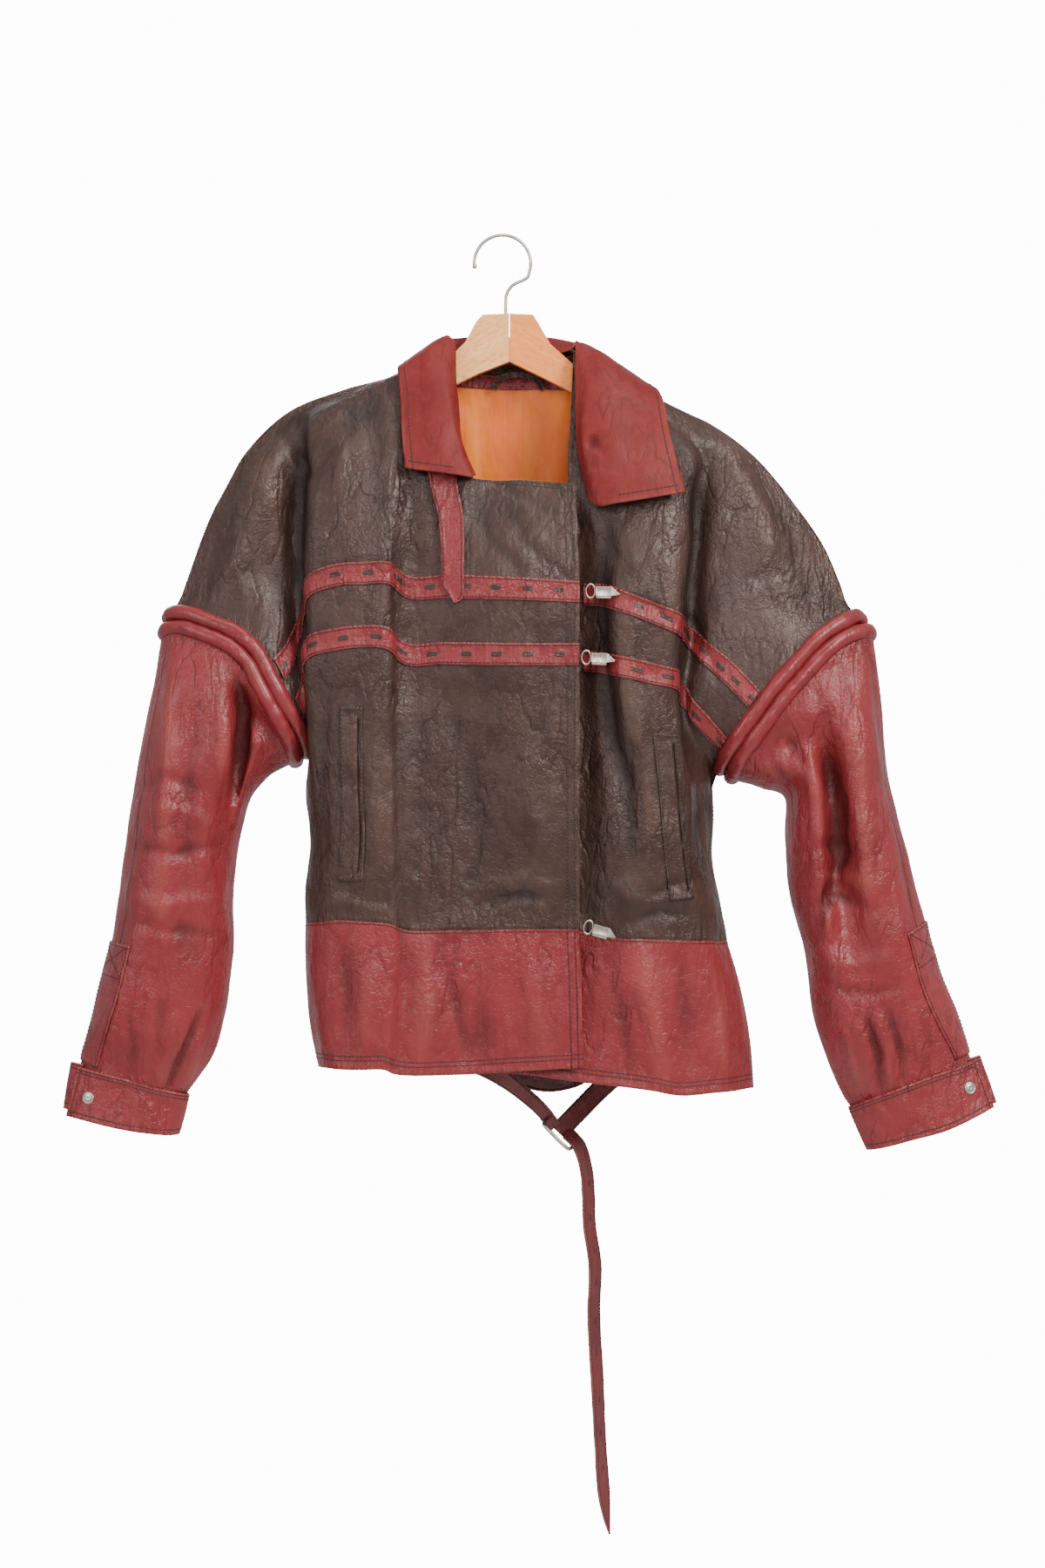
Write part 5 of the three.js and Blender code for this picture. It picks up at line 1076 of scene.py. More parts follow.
class Panel:
    """A cut piece with its folds, read at any columns and rows."""

    def __init__(self, cloth, outward, folds, wrinkle=0.0, wrap=False, seed=0.0):
        self.cloth = cloth
        self.outward = outward
        self.folds = folds
        self.wrinkle = wrinkle * MM
        self.wrap = wrap
        self.seed = seed

    def height(self, sheet):
        """How far each point moves out: the folds on the side that shows them, and fine wrinkles."""
        grid = sheet.grid
        total = folds_height(sheet, self.folds)
        # Folds and wrinkles die out at a seam: a sleeve's first ring, or the seam plane of the body
        if self.wrap:
            from_seam = running(np.linalg.norm(np.diff(grid, axis=0), axis=2))
            away = sheet.normals[..., 1]
            total *= smoothstep(-0.1, 0.5, -away) + smoothstep(0.3, 0.7, away)
            total *= smoothstep(0.0, 14 * MM, from_seam)
            calm = smoothstep(0.0, 12 * MM, from_seam)
        else:
            from_seam = np.abs(grid[..., 1])
            total *= smoothstep(0.3 * MM, 9 * MM, from_seam)
            calm = smoothstep(0.2 * MM, 8 * MM, from_seam)
        if self.wrinkle:
            fine = crinkle(grid, (13, 13, 30), self.seed, 4)
            fine = fine + 0.6 * crinkle(grid, (34, 34, 26), self.seed + 7)
            broad = crinkle(grid, (45, 45, 70), self.seed + 13, 2)
            total += (self.wrinkle * fine + BROAD_SWELL * broad) * calm
        return total

    def sheet(self, columns, rows):
        made = Sheet(self.cloth.points(columns, rows), self.outward, self.wrap)
        if self.folds or self.wrinkle:
            made.push(self.height(made))
        return made

    def fine(self, spacing, columns=(), rows=()):
        """The whole sheet, or the part between two columns and two rows."""
        return self.sheet(self.cloth.steps(spacing, True, *columns), self.cloth.steps(spacing, False, *rows))


def all_round(front):
    """A ring from the points of its front, the back being the same line and flatter."""
    return np.concatenate([front, front[1:-1][::-1] * np.array([1, -BACK_SHARE, 1])])


def closed_spline(points, s):
    """A smooth closed line through the points, centripetal, read at shares s of its length in knots."""
    count = len(points)
    s = np.asarray(s, float) * count
    i = np.floor(s).astype(int)
    t = (s - i)[:, None]
    p = [points[(i + k) % count] for k in (-1, 0, 1, 2)]
    d = [np.maximum(np.linalg.norm(p[k + 1] - p[k], axis=1, keepdims=True), 1e-9) ** 0.5 for k in range(3)]
    leaving = ((p[1] - p[0]) / d[0] - (p[2] - p[0]) / (d[0] + d[1]) + (p[2] - p[1]) / d[1]) * d[1]
    arriving = ((p[2] - p[1]) / d[1] - (p[3] - p[1]) / (d[1] + d[2]) + (p[3] - p[2]) / d[2]) * d[1]
    return (p[1] * (2 * t**3 - 3 * t**2 + 1) + leaving * (t**3 - 2 * t**2 + t)
            + p[2] * (3 * t**2 - 2 * t**3) + arriving * (t**3 - t**2))


def extended(sheet, side, line):
    """The sheet with one more line of points along its top, left or right side."""
    axis = 0 if side == "top" else 1
    place = -1 if side == "right" else 0
    made = copy.copy(sheet)
    for label in ("grid", "normals", "folded"):
        whole = getattr(sheet, label)
        extra = line if label == "grid" else whole.take(place, axis)
        parts = [np.expand_dims(extra, axis), whole]
        setattr(made, label, np.concatenate(parts[::-1] if side == "right" else parts, axis=axis))
    return made


def turned_up(sheet):
    """The sheet with the seam allowance of its top, which lies inside the panel above it."""
    drop = sheet.normals[0] * (LEATHER + SEAM_GAP)
    return extended(sheet, "top", sheet.grid[0] - drop + np.array([0.0, 0.0, SEAM_ALLOWANCE]))


def under_roll(sheet, side, roll):
    """The sheet with its armhole edge carried on to the middle of the roll that covers it."""
    edge, before = (sheet.grid[:, k] for k in ((-1, -2) if side == "right" else (0, 1)))
    line = roll.line(np.arange(400) / 400)
    gaps = np.linalg.norm(edge[:, None] - line[None], axis=2)
    near = 1 - smoothstep(0.7 * UNDER_REACH, UNDER_REACH, gaps.min(axis=1))[:, None]
    way = edge - before
    way *= SEAM_GAP / 2 / np.linalg.norm(way, axis=1, keepdims=True)
    return extended(sheet, side, edge + near * (line[gaps.argmin(axis=1)] - edge) + (1 - near) * way)


class Roll:
    """The middle line of one armhole roll and the directions round it."""

    def __init__(self, half, axis):
        half = metres(half, -1, 3)
        self.knots = all_round(np.stack([half[:, 0], -half[:, 2], half[:, 1]], axis=1))
        self.axis = np.array(axis)

    def line(self, s):
        return closed_spline(self.knots, s)

    def sideways(self, s):
        step = 1e-3
        along = self.line(s + step) - self.line(s - step)
        along /= np.linalg.norm(along, axis=1, keepdims=True)
        side = self.axis - along * (along @ self.axis)[:, None]
        side /= np.linalg.norm(side, axis=1, keepdims=True)
        return side, np.cross(along, side)


SLEEVE_POINTS = 12
SLEEVE_START = ROLL_RADIUS - 1.5 * MM
SLEEVE_TUCK = 11 * MM
BODY_WRINKLE = 0.5
HEM_WRINKLE = 0.45
SLEEVE_WRINKLE = 0.35
CUFF_WRINKLE = 0.3
# Each side's net, its hem's rows, the way it faces, its sharp rows, its folds and its wrinkles' seed
PANELS = {
    "front_left": (FRONT_LEFT, HEM_FRONT_LEFT, -1, (4, 5, 7), FOLDS_FRONT, 3.0),
    "front_right": (FRONT_RIGHT, HEM_FRONT_RIGHT, -1, (5, 6), FOLDS_RIGHT, 11.0),
    "back": (BACK, HEM_BACK, 1, (7,), FOLDS_BACK, 23.0),
}


@functools.cache
def panels():
    """The panels of the body, of its hem and of the collar by name."""
    made = {"collar": Panel(Cloth(net(COLLAR)), (0, -1, 1), [], SLEEVE_WRINKLE, seed=31.0)}
    for name, (upper, hem, side, sharp_rows, folds, seed) in PANELS.items():
        cloth = Cloth(on_seam(net(upper), side), sharp_rows, side=side)
        foot = cloth.net[-1:] - np.array([0, 0, SEAM_GAP])
        rows = np.concatenate([foot, on_seam(net(hem), side)])
        lower = Cloth(rows, side=side, column_knots=cloth.column_knots)
        made[name] = Panel(cloth, (0, side, 0), folds, BODY_WRINKLE, seed=seed)
        made["hem_" + name] = Panel(lower, (0, side, 0), folds, HEM_WRINKLE, seed=seed)
    return made


@functools.cache
def rolls():
    """The four armhole rolls by name."""
    halves = {"left_1": ROLL_LEFT_1, "left_2": ROLL_LEFT_2, "right_1": ROLL_RIGHT_1, "right_2": ROLL_RIGHT_2}
    return {"roll_" + name: Roll(half, (0.69 if "left" in name else -0.69, 0, 0.72))
            for name, half in halves.items()}


@functools.cache
def sleeves():
    """Both sleeves by name."""
    return {
        "sleeve_left": sleeve_panel(rolls()["roll_left_2"], SLEEVE_LEFT, FOLDS_SLEEVE_LEFT, 41.0),
        "sleeve_right": sleeve_panel(rolls()["roll_right_2"], SLEEVE_RIGHT, FOLDS_SLEEVE_RIGHT, 43.0),
    }


def sleeve_panel(roll, fronts, folds, seed):
    """A sleeve whose first ring lies beside the lower roll."""
    s = np.arange(SLEEVE_POINTS) / SLEEVE_POINTS
    rings = [roll.line(s) - roll.sideways(s)[0] * SLEEVE_START]
    rings += [all_round(front) for front in net(fronts)]
    rings.append(tucked(rings[-2], rings[-1]))
    # A column before the first and one after the last make the seam smooth, and are cut off again
    rows = np.array([[ring[-1], *ring, ring[0], ring[1]] for ring in rings])
    return Panel(Cloth(rows), None, folds, SLEEVE_WRINKLE, wrap=True, seed=seed)


def tucked(before, last):
    """The ring that follows the last one, a little narrower, inside the cuff."""
    middle = last.mean(axis=0)
    way = middle - before.mean(axis=0)
    return middle + (last - middle) * 0.96 + way * SLEEVE_TUCK / np.linalg.norm(way)


# The deep colours darken stains and, as painted shade, creases and fold troughs. The worn colours pale
# scuffs and rubbed edges and, as painted highlight, fold ridges. The dark red is painted shade for stitch
# grooves.
SHADE_AND_STAIN_RED = (0.055, 0.004, 0.004)
GROOVE_SHADE_RED = (0.020, 0.002, 0.002)
WEAR_AND_HIGHLIGHT_RED = (0.36, 0.080, 0.060)
SHADE_AND_STAIN_TAUPE = (0.009, 0.005, 0.004)
WEAR_AND_HIGHLIGHT_TAUPE = (0.13, 0.075, 0.048)
SHADE_AND_STAIN_BELT = (0.03, 0.006, 0.006)
WEAR_AND_HIGHLIGHT_BELT = (0.3, 0.1, 0.08)


@functools.cache
def finishes():
    """Every material by name."""
    look = bpy.context.scene.jacket_look
    hide = leather_group()
    # Colours of the body, of its stains and painted shade, and of its worn places and painted highlights,
    # then roughness, crinkle, mottle and specular
    leathers = {
        "taupe_leather": ((look.taupe, SHADE_AND_STAIN_TAUPE, WEAR_AND_HIGHLIGHT_TAUPE), 0.36, 1.0, 0.45, 0.32),
        "red_leather": ((look.red, SHADE_AND_STAIN_RED, WEAR_AND_HIGHLIGHT_RED), 0.31, 0.95, 0.22, 0.36),
        "roll_leather": ((look.red, SHADE_AND_STAIN_RED, WEAR_AND_HIGHLIGHT_RED), 0.28, 0.3, 0.2, 0.42),
        "collar_leather": ((look.collar, SHADE_AND_STAIN_RED, WEAR_AND_HIGHLIGHT_RED), 0.52, 0.35, 0.25, 0.22),
        "belt_leather": ((look.belt, SHADE_AND_STAIN_BELT, WEAR_AND_HIGHLIGHT_BELT), 0.42, 0.5, 0.4, 0.4),
        # Painted shade: the dark strips for the stitch grooves and the belt's slits
        "red_pressed": ((GROOVE_SHADE_RED, GROOVE_SHADE_RED, GROOVE_SHADE_RED), 0.5, 0.2),
        "taupe_pressed": ((SHADE_AND_STAIN_TAUPE, SHADE_AND_STAIN_TAUPE, SHADE_AND_STAIN_TAUPE), 0.5, 0.2),
    }
    made = {name: leather(name, hide, *values) for name, values in leathers.items()}
    made["lining_satin"] = satin("lining_satin")
    made["beech_left"] = beech("beech_left", -0.55, (1.0, 0.49, 0.17), (0.95, 0.40, 0.13))
    made["beech_right"] = beech("beech_right", 0.5, (1.0, 0.33, 0.07), (0.92, 0.26, 0.05))
    made["nickel"] = metal("nickel", (0.46, 0.42, 0.35), 0.26)
    made["red_thread"] = thread("red_thread", (0.16, 0.02, 0.02))
    made["taupe_thread"] = thread("taupe_thread", (0.07, 0.05, 0.04))
    return made


def make_sheet(name, sheet, thickness, slot, lift=0.0):
    """One cut piece as a closed shell that stands for its solid."""
    obj = shell(name + "_leather", sheet, thickness, lift)
    put_on(obj, slot, name)


def make_stitches(name, slot, lines):
    """The thread along the lines, and the dark strips of painted shade that stand for the grooves which it
    presses into the leather.
    """
    colour = "taupe" if slot == "taupe_leather" else "red"
    put_on(stitches("stitches_" + name, lines, stitch_row), slot, finish=colour + "_thread")
    put_on(stitches("pressed_" + name, lines, groove_shade_row), slot, finish=colour + "_pressed")


LAP_ROW = 4
# Each panel's flat size and area, and the rolls that cover its armhole edges
BODY = {
    "front_left": ((0.44, 0.70), 0.160, {"right": "roll_left_1"}),
    "front_right": ((0.36, 0.65), 0.130, {"right": "roll_right_1"}),
    "back": ((0.64, 0.69), 0.247, {"left": "roll_left_1", "right": "roll_right_1"}),
}


def make_fronts_and_back(spacing):
    for name, (flat, area, armholes) in BODY.items():
        sheet = panels()[name].fine(spacing)
        for side, roll in armholes.items():
            sheet = under_roll(sheet, side, rolls()[roll])
        make_sheet(name, sheet, LEATHER, "taupe_leather")
    front = panels()["front_left"]
    rows = front.cloth.steps(spacing, False)
    start = float(np.searchsorted(rows, LAP_ROW)) / (len(rows) - 1)
    make_stitches("lap", "taupe_leather", front.fine(spacing).rows_inside("left", 4.5, 11, start=start))


HEM = {"hem_front_left": (0.29, 0.135), "hem_front_right": (0.24, 0.14), "hem_back": (0.43, 0.137)}


def make_hem(spacing):
    for name, flat in HEM.items():
        sheet = panels()[name].fine(spacing)
        make_sheet(name, turned_up(sheet), LEATHER, "red_leather")
        lines = sheet.rows_inside("bottom", 8.5, 12.5)
        if name != "hem_back":
            lines += sheet.rows_inside("left", 4.5, 11)
        make_stitches(name, "red_leather", lines + sheet.rows_inside("top", 2))


ROLL_FULLNESS = 1.18
ROLL_STATIONS = 220
ROLL_SIDES = 14


def roll_radius(s, turn, seed):
    """A roll's uneven fullness: small puckers along it and softer lumps."""
    puckers = 0.030 * np.sin(s * 190 + 3 * np.sin(s * 31 + seed) + 0.6 * np.cos(turn))
    lumps = 0.035 * np.sin(s * 47 + seed) + 0.025 * np.sin(s * 83 + 2 * turn)
    return ROLL_RADIUS * ROLL_FULLNESS * (1.0 + puckers + lumps)


def make_rolls():
    s = np.arange(ROLL_STATIONS + 1) / ROLL_STATIONS
    turn = 2 * np.pi * np.arange(ROLL_SIDES + 1) / ROLL_SIDES
    for number, (name, roll) in enumerate(rolls().items()):
        side, over = roll.sideways(s)
        radius = roll_radius(s[:, None] % 1.0, turn[None], number * 1.7)
        spoke = side[:, None] * np.cos(turn)[None, :, None] + over[:, None] * np.sin(turn)[None, :, None]
        obj = outward(ring_object(name + "_leather", roll.line(s)[:, None] + spoke * radius[..., None]))
        put_on(obj, "red_leather", name, finish="roll_leather")


def ring_object(name, grid):
    """A closed object from a grid whose last row and column repeat the first."""
    rows, columns = grid.shape[0] - 1, grid.shape[1] - 1
    number = np.pad(np.arange(rows * columns).reshape(rows, columns), ((0, 1), (0, 1)), mode="wrap")
    return mesh_object(name, grid[:-1, :-1].reshape(-1, 3), squares(number))


# Each sleeve's flat size, and the column and row where its outer seam starts and ends
SLEEVES = {
    "sleeve_left": ((0.43, 0.42), (1.6, 0.3), (1.65, 5.0)),
    "sleeve_right": ((0.44, 0.42), (1.15, 0.3), (1.6, 5.0)),
}


def make_sleeves(spacing):
    lines = []
    for name, (flat, start, end) in SLEEVES.items():
        cloth = sleeves()[name].cloth
        across = cloth.steps(spacing, True, 1, SLEEVE_POINTS + 1)
        down = cloth.steps(spacing, False)
        sheet = sleeves()[name].sheet(across, down)
        make_sheet(name, sheet, LEATHER, "red_leather")
        t = np.linspace(0, 1, 90)
        i = np.interp(start[1] + (end[1] - start[1]) * t, down, np.arange(len(down)))
        j = np.interp(start[0] + (end[0] - start[0]) * t, across, np.arange(len(across)))
        lines.append(sheet.line_at(i, j))
    # Painted shade: dark strips for the grooves of the sleeves' outer seams
    put_on(stitches("pressed_sleeves", lines, groove_shade_row), "red_leather", finish="red_pressed")


# Each band's panel, its columns and rows there, and the middles of its slits in millimetres
BAND_SLITS_UPPER = (-151, -121, -93, -65, -32, -6, 23, 51)
BANDS = {
    "band_left_upper": ("front_left", (0, 10), (10, 11), (-201, *BAND_SLITS_UPPER)),
    "band_left_lower": ("front_left", (0, 10), (12, 13), (-171, -144, -114, -90, -63, -32, -5, 23, 52)),
    "band_right_upper": ("front_right", (1, 10), (8, 9), (123, 148, 170, 184, 199, 212, 228)),
    "band_right_lower": ("front_right", (1, 10), (10, 11), (122, 149, 177, 199)),
}
BAND_LIFT = SEAM_GAP + STRAP_LEATHER
LACE_LENGTH = 11.5 * MM
LACE_SHARE = (0.36, 0.64)
LACE_LEATHER = 1.0 * MM
LACE_LIFT = 0.9 * MM
WING_X = 175
WING_SHARE = 0.72


def columns_at(panel, columns, row, places):
    """The columns at which a panel's row passes the given X places."""
    fine = np.linspace(*columns, 400)
    x = panel.cloth.points(fine, np.array([row]))[0, :, 0]
    side = 1 if x[-1] > x[0] else -1
    return np.interp(np.array(places) * side, np.maximum.accumulate(x * side), fine)


def make_bands(spacing):
    lines = []
    laces = []
    for name, (panel_name, columns, rows, middles) in BANDS.items():
        panel = panels()[panel_name]
        across = panel.cloth.steps(spacing, True, *columns)
        down = panel.cloth.steps(spacing, False, *rows)
        sheet = panel.sheet(across, down)
        spots = columns_at(panel, columns, sum(rows) / 2, np.array(middles) * MM)
        sheet.push(band_swell(sheet, across, down, spots, rows))
        make_sheet(name, sheet, STRAP_LEATHER, "red_leather",
                   lift=BAND_LIFT)
        for x in middles:
            half = LACE_LENGTH / 2 * (1.0 if abs(x) < WING_X else WING_SHARE)
            ends = sorted(columns_at(panel, columns, sum(rows) / 2, (x * MM - half, x * MM + half)))
            laces.append(lace_bit(panel, ends, rows))
        sheet.grid = sheet.lifted(BAND_LIFT)
        lines += sheet.rows_inside("top bottom", 2.2)
    put_on(joined("laces_bands", laces), "taupe_leather")
    make_stitches("bands", "red_leather", lines)


def lace_bit(panel, ends, rows):
    """One visible length of the lace: a domed strip whose ends dive into the band."""
    low, high = (rows[0] + share * (rows[1] - rows[0]) for share in LACE_SHARE)
    along = np.linspace(0, 1, 15)
    over = np.linspace(0, 1, 7)
    sheet = panel.sheet(ends[0] + along * (ends[1] - ends[0]), low + over * (high - low))
    rise = smoothstep(0.0, 0.22, along) * smoothstep(0.0, 0.22, 1 - along)
    dome = 1 - (2 * over - 1) ** 4
    sheet.grid = sheet.lifted(BAND_LIFT + LACE_LIFT)
    sheet.push((1.1 * rise[None, :] * dome[:, None] + 0.4 * dome[:, None] - 0.8) * MM)
    return shell_parts(sheet, LACE_LEATHER)


def band_swell(sheet, across, down, spots, rows):
    """A band's own puckers, and the leather raised round each lace."""
    share = (down - rows[0]) / (rows[1] - rows[0])
    bulge = np.sin(np.pi * share)[:, None] * np.ones((1, len(across))) * 0.5 * MM
    for spot in spots:
        near = np.exp(-((across - spot) / 0.18) ** 2)[None, :]
        bulge = bulge + 0.35 * MM * near * np.exp(-((share - 0.5) / 0.3) ** 2)[:, None]
    return bulge + 0.35 * MM * np.abs(crinkle(sheet.grid, (7, 7, 14), 51.0))


# Each welt's panel, its columns and rows there, and whether its mouth is towards the last column
WELTS = {
    "welt_left": ("front_left", (5, 6), (14, 17), False),
    "welt_right": ("front_right", (4, 5), (12, 15), True),
}
WELT_LIFT = SEAM_GAP + LEATHER


def make_welts(spacing):
    lines = []
    for name, (panel_name, columns, rows, turned) in WELTS.items():
        panel = panels()[panel_name]
        near_mouth = (0.0, 0.10, 0.20, 0.26, 0.32, 0.42)
        extra = [columns[0] + (1 - s if turned else s) * (columns[1] - columns[0]) for s in near_mouth]
        across = panel.cloth.steps(spacing, True, *columns, extra=extra)
        sheet = panel.sheet(across, panel.cloth.steps(spacing, False, *rows))
        share = (across - columns[0]) / (columns[1] - columns[0])
        share = 1 - share if turned else share
        ridge = 1.1 * MM * np.exp(-((share - 0.36) / 0.1) ** 2)
        groove = 1.5 * MM * np.exp(-((share - 0.22) / 0.06) ** 2)
        ends = np.linspace(0, 1, sheet.grid.shape[0])
        length_wise = smoothstep(0.03, 0.07, ends) * smoothstep(0.03, 0.07, 1 - ends)
        puckers = 0.2 * MM * crinkle(sheet.grid, (9, 9, 14), 61.0)
        sheet.push(length_wise[:, None] * (ridge - groove)[None, :] + puckers)
        make_sheet(name, sheet, LEATHER, "taupe_leather", lift=WELT_LIFT)
        sheet.grid = sheet.lifted(WELT_LIFT)
        lines += sheet.rows_inside("left right top bottom", 1.8)
    make_stitches("welts", "taupe_leather", lines)


# The raised edge outside the collar's stitching and the puckered patch of its right stand
COLLAR_FOLDS = (
    ([76, -186, 86, -196, 94, -206], 5, -2.4),
    ([88, -180, 80, -196, 74, -212], 4, -2.0),
)


def make_collar(spacing):
    sheet = panels()["collar"].fine(spacing)
    sheet.push(folds_height(sheet, COLLAR_FOLDS))
    make_sheet("collar", sheet, LEATHER, "collar_leather")
    lines = sheet.rows_inside("right", 7.5) + sheet.rows_inside("top bottom", 7.5, start=0.42, end=0.97)
    make_stitches("collar", "collar_leather", lines)


# Each piece's columns and rows of the back, its depth inside, its thickness, slot and flat size
NECK_PARTS = {
    "lining_back": ((2, 8), (1, 5), LEATHER + 0.5 * MM, LINING, "lining_satin", (0.36, 0.12)),
    "neck_facing": ((3, 7), (1, 1.5), LEATHER + LINING + MM, STRAP_LEATHER, "red_leather", (0.13, 0.015)),
}
HANG_LOOP_LINE = (-8, 19, -139, -4, 16, -130, 14, 14, -125, 32, 16, -130, 38, 19, -139)
HANG_LOOP_STEPS = 41
HANG_LOOP_HALF = 2.5 * MM


def make_neck(spacing):
    for name, (columns, rows, inside, thickness, slot, flat) in NECK_PARTS.items():
        sheet = panels()["back"].fine(spacing, columns, rows)
        make_sheet(name, sheet, thickness, slot, lift=-inside)
    line = smooth_line(metres(HANG_LOOP_LINE, -1, 3), HANG_LOOP_STEPS)
    along = np.gradient(line, axis=0)
    across = np.stack([along[:, 2], np.zeros(len(line)), -along[:, 0]], axis=1)
    across *= HANG_LOOP_HALF / np.linalg.norm(across, axis=1, keepdims=True)
    shares = np.linspace(-1, 1, 7)
    sheet = Sheet(line[:, None] + across[:, None] * shares[None, :, None], (0, -1, 0))
    sheet.dome()
    make_sheet("hang_loop", sheet, STRAP_LEATHER, "taupe_leather")


def cuff_cloth(stations):
    """A cuff's cloth from its stations [depth, top x, top z, bottom x, bottom z]."""
    table = metres(stations, -1, 5)
    return Cloth(np.stack([table[:, [1, 0, 2]], table[:, [3, 0, 4]]]))


CUFFS = {
    "cuff_left": (CUFF_LEFT, 71.0, (0.27, 0.046)),
    "cuff_right": (CUFF_RIGHT, 73.0, (0.30, 0.050)),
}
# Small tucks at the cuffs' upper edges, under the sleeves' pleats
CUFF_TUCKS = (
    ([-311, -786, -308, -800], 3, -1.6),
    ([-323, -783, -321, -796], 3, -1.2),
    ([344, -786, 350, -800], 3, -1.6),
    ([366, -777, 370, -790], 3, -1.3),
)


def make_cuffs(spacing):
    lines = []
    for name, (stations, seed, flat) in CUFFS.items():
        sheet = Panel(cuff_cloth(stations), None, [], CUFF_WRINKLE, seed=seed).fine(spacing)
        rows, columns = sheet.grid.shape[:2]
        swell = 0.5 * MM * np.sin(np.pi * np.linspace(0, 1, rows)[:, None]) * np.ones((rows, columns))
        sheet.push(swell + folds_height(sheet, CUFF_TUCKS))
        make_sheet(name, sheet, LEATHER, "red_leather")
        lines += sheet.rows_inside("top bottom", 5.2) + sheet.rows_inside("top", 2.2)
        lines += sheet.rows_inside("left", 4.5)
    make_stitches("cuffs", "red_leather", lines)


PLACKET_ROWS = (5, 8)
PLACKET_LIFT = SEAM_GAP + STRAP_LEATHER


def make_plackets(spacing):
    lines = []
    for side in ("left", "right"):
        sheet = placket_sheet(sleeves()["sleeve_" + side], spacing)
        make_sheet("placket_" + side, sheet, STRAP_LEATHER, "red_leather",
                   lift=PLACKET_LIFT)
        sheet.grid = sheet.lifted(PLACKET_LIFT)
        lines += sheet.rows_inside("left right top", 2.5) + crossed_box(sheet)
    make_stitches("plackets", "red_leather", lines)


def placket_sheet(panel, spacing):
    """The strip of a sleeve beside its outer edge, from the whole sleeve so that its folds agree."""
    down = panel.cloth.steps(spacing, False)
    width = len(panel.cloth.steps(spacing, True, 1, 2))
    around = panel.sheet(panel.cloth.steps(spacing, True, 1, SLEEVE_POINTS + 1), down)
    kept = (down >= PLACKET_ROWS[0]) & (down <= PLACKET_ROWS[1])
    return Sheet(around.grid[kept][:, :width], (0, -1, 0))


def crossed_box(sheet):
    """The stitched square with its two diagonals at the top of a placket."""
    rows, columns = sheet.grid.shape[:2]
    deep = min(rows - 1, int(rows * 0.26))
    last = columns - 1
    t = np.linspace(0.08, 0.92, 24)
    lines = []
    for start, end in (((0, 0), (deep, last)), ((0, last), (deep, 0)), ((deep, 0), (deep, last))):
        lines.append(sheet.line_at(*(start[k] + (end[k] - start[k]) * t for k in (0, 1))))
    return lines


def strap_sheet(stations, spacing):
    """A strap from its stations, each its middle and half of its width as a vector."""
    table = np.array(stations, float).reshape(-1, 1, 2, 3)
    rows = (table[:, :, 0] + np.array([[-1], [0], [1]]) * table[:, :, 1]) * MM
    cloth = Cloth(rows)
    return Sheet(cloth.points(np.linspace(0, 2, 9), cloth.steps(spacing, False)), (0, -1, 0))


# Each strap's stations and its flat length
BELT = {
    "belt_left": (BELT_LEFT, 0.22),
    "belt_slack": (BELT_SLACK, 0.28),
    "belt_right": (BELT_RIGHT, 0.20),
    "belt_tail": (BELT_TAIL, 0.385),
}
# Where the ends of the straps go round the buckle's bars
BELT_ENDS = {
    "belt_left": [48, 26, -820, -4.4, 6.8, -4.6],
    "belt_right": [52, 26, -825, 6.5, 2, -6.5],
}
SLIT_LENGTH = 5.5 * MM
SLIT_WIDTH = 1.7 * MM
BELT_SLITS = (-871, -903, -933, -962, -998, -1027, -1070, -1101, -1133)


def make_belt(spacing):
    lines = []
    for name, (stations, length) in BELT.items():
        sheet = strap_sheet(stations + BELT_ENDS.get(name, []), spacing)
        shares = np.linspace(-1, 1, sheet.grid.shape[1])
        sheet.push(np.tile(0.5 * MM * (1 - shares**2), (len(sheet.grid), 1))
                   + 0.3 * MM * crinkle(sheet.grid, (12, 12, 12), 81.0))
        make_sheet(name, sheet, BELT_LEATHER, "belt_leather")
        lines += sheet.rows_inside("left right", 2.0)
        if name == "belt_tail":
            # Painted shade: the slits are dark strips lying on the tail, not holes
            slit = functools.partial(groove_shade_row, width=SLIT_WIDTH)
            put_on(stitches("belt_slits", belt_slits(sheet), slit), "belt_leather", finish="red_pressed")
    make_stitches("belt", "belt_leather", lines)


def belt_slits(sheet):
    """The short slits along the tail's middle that take the buckle's tongue."""
    middle = sheet.grid.shape[1] // 2
    height = -sheet.grid[:, middle, 2]
    slits = []
    for place in BELT_SLITS:
        z = -place * MM + np.linspace(-0.5, 0.5, 6) * SLIT_LENGTH
        i = np.interp(z, height, np.arange(len(height)))
        slits.append(sheet.line_at(i, np.full(len(i), float(middle))))
    return slits


BELT_LOOPS = {"belt_loop_left": -60, "belt_loop_right": 122}
BELT_LOOP_LINE = ((41, 18), (54, 13), (56, 0), (54, -13), (41, -18))
BELT_LOOP_HEIGHT = -690
BELT_LOOP_STEPS = 33


def make_belt_loops():
    for name, x in BELT_LOOPS.items():
        line = smooth_line(metres([(x, depth, BELT_LOOP_HEIGHT + up) for depth, up in BELT_LOOP_LINE]),
                           BELT_LOOP_STEPS)
        widths = np.linspace(-4, 4, 7) * MM
        sheet = Sheet(line[:, None] + np.array([1.0, 0, 0]) * widths[None, :, None], (0, 1, 0))
        make_sheet(name, sheet, STRAP_LEATHER, "red_leather")


TAB_LIFT = 5.0 * MM


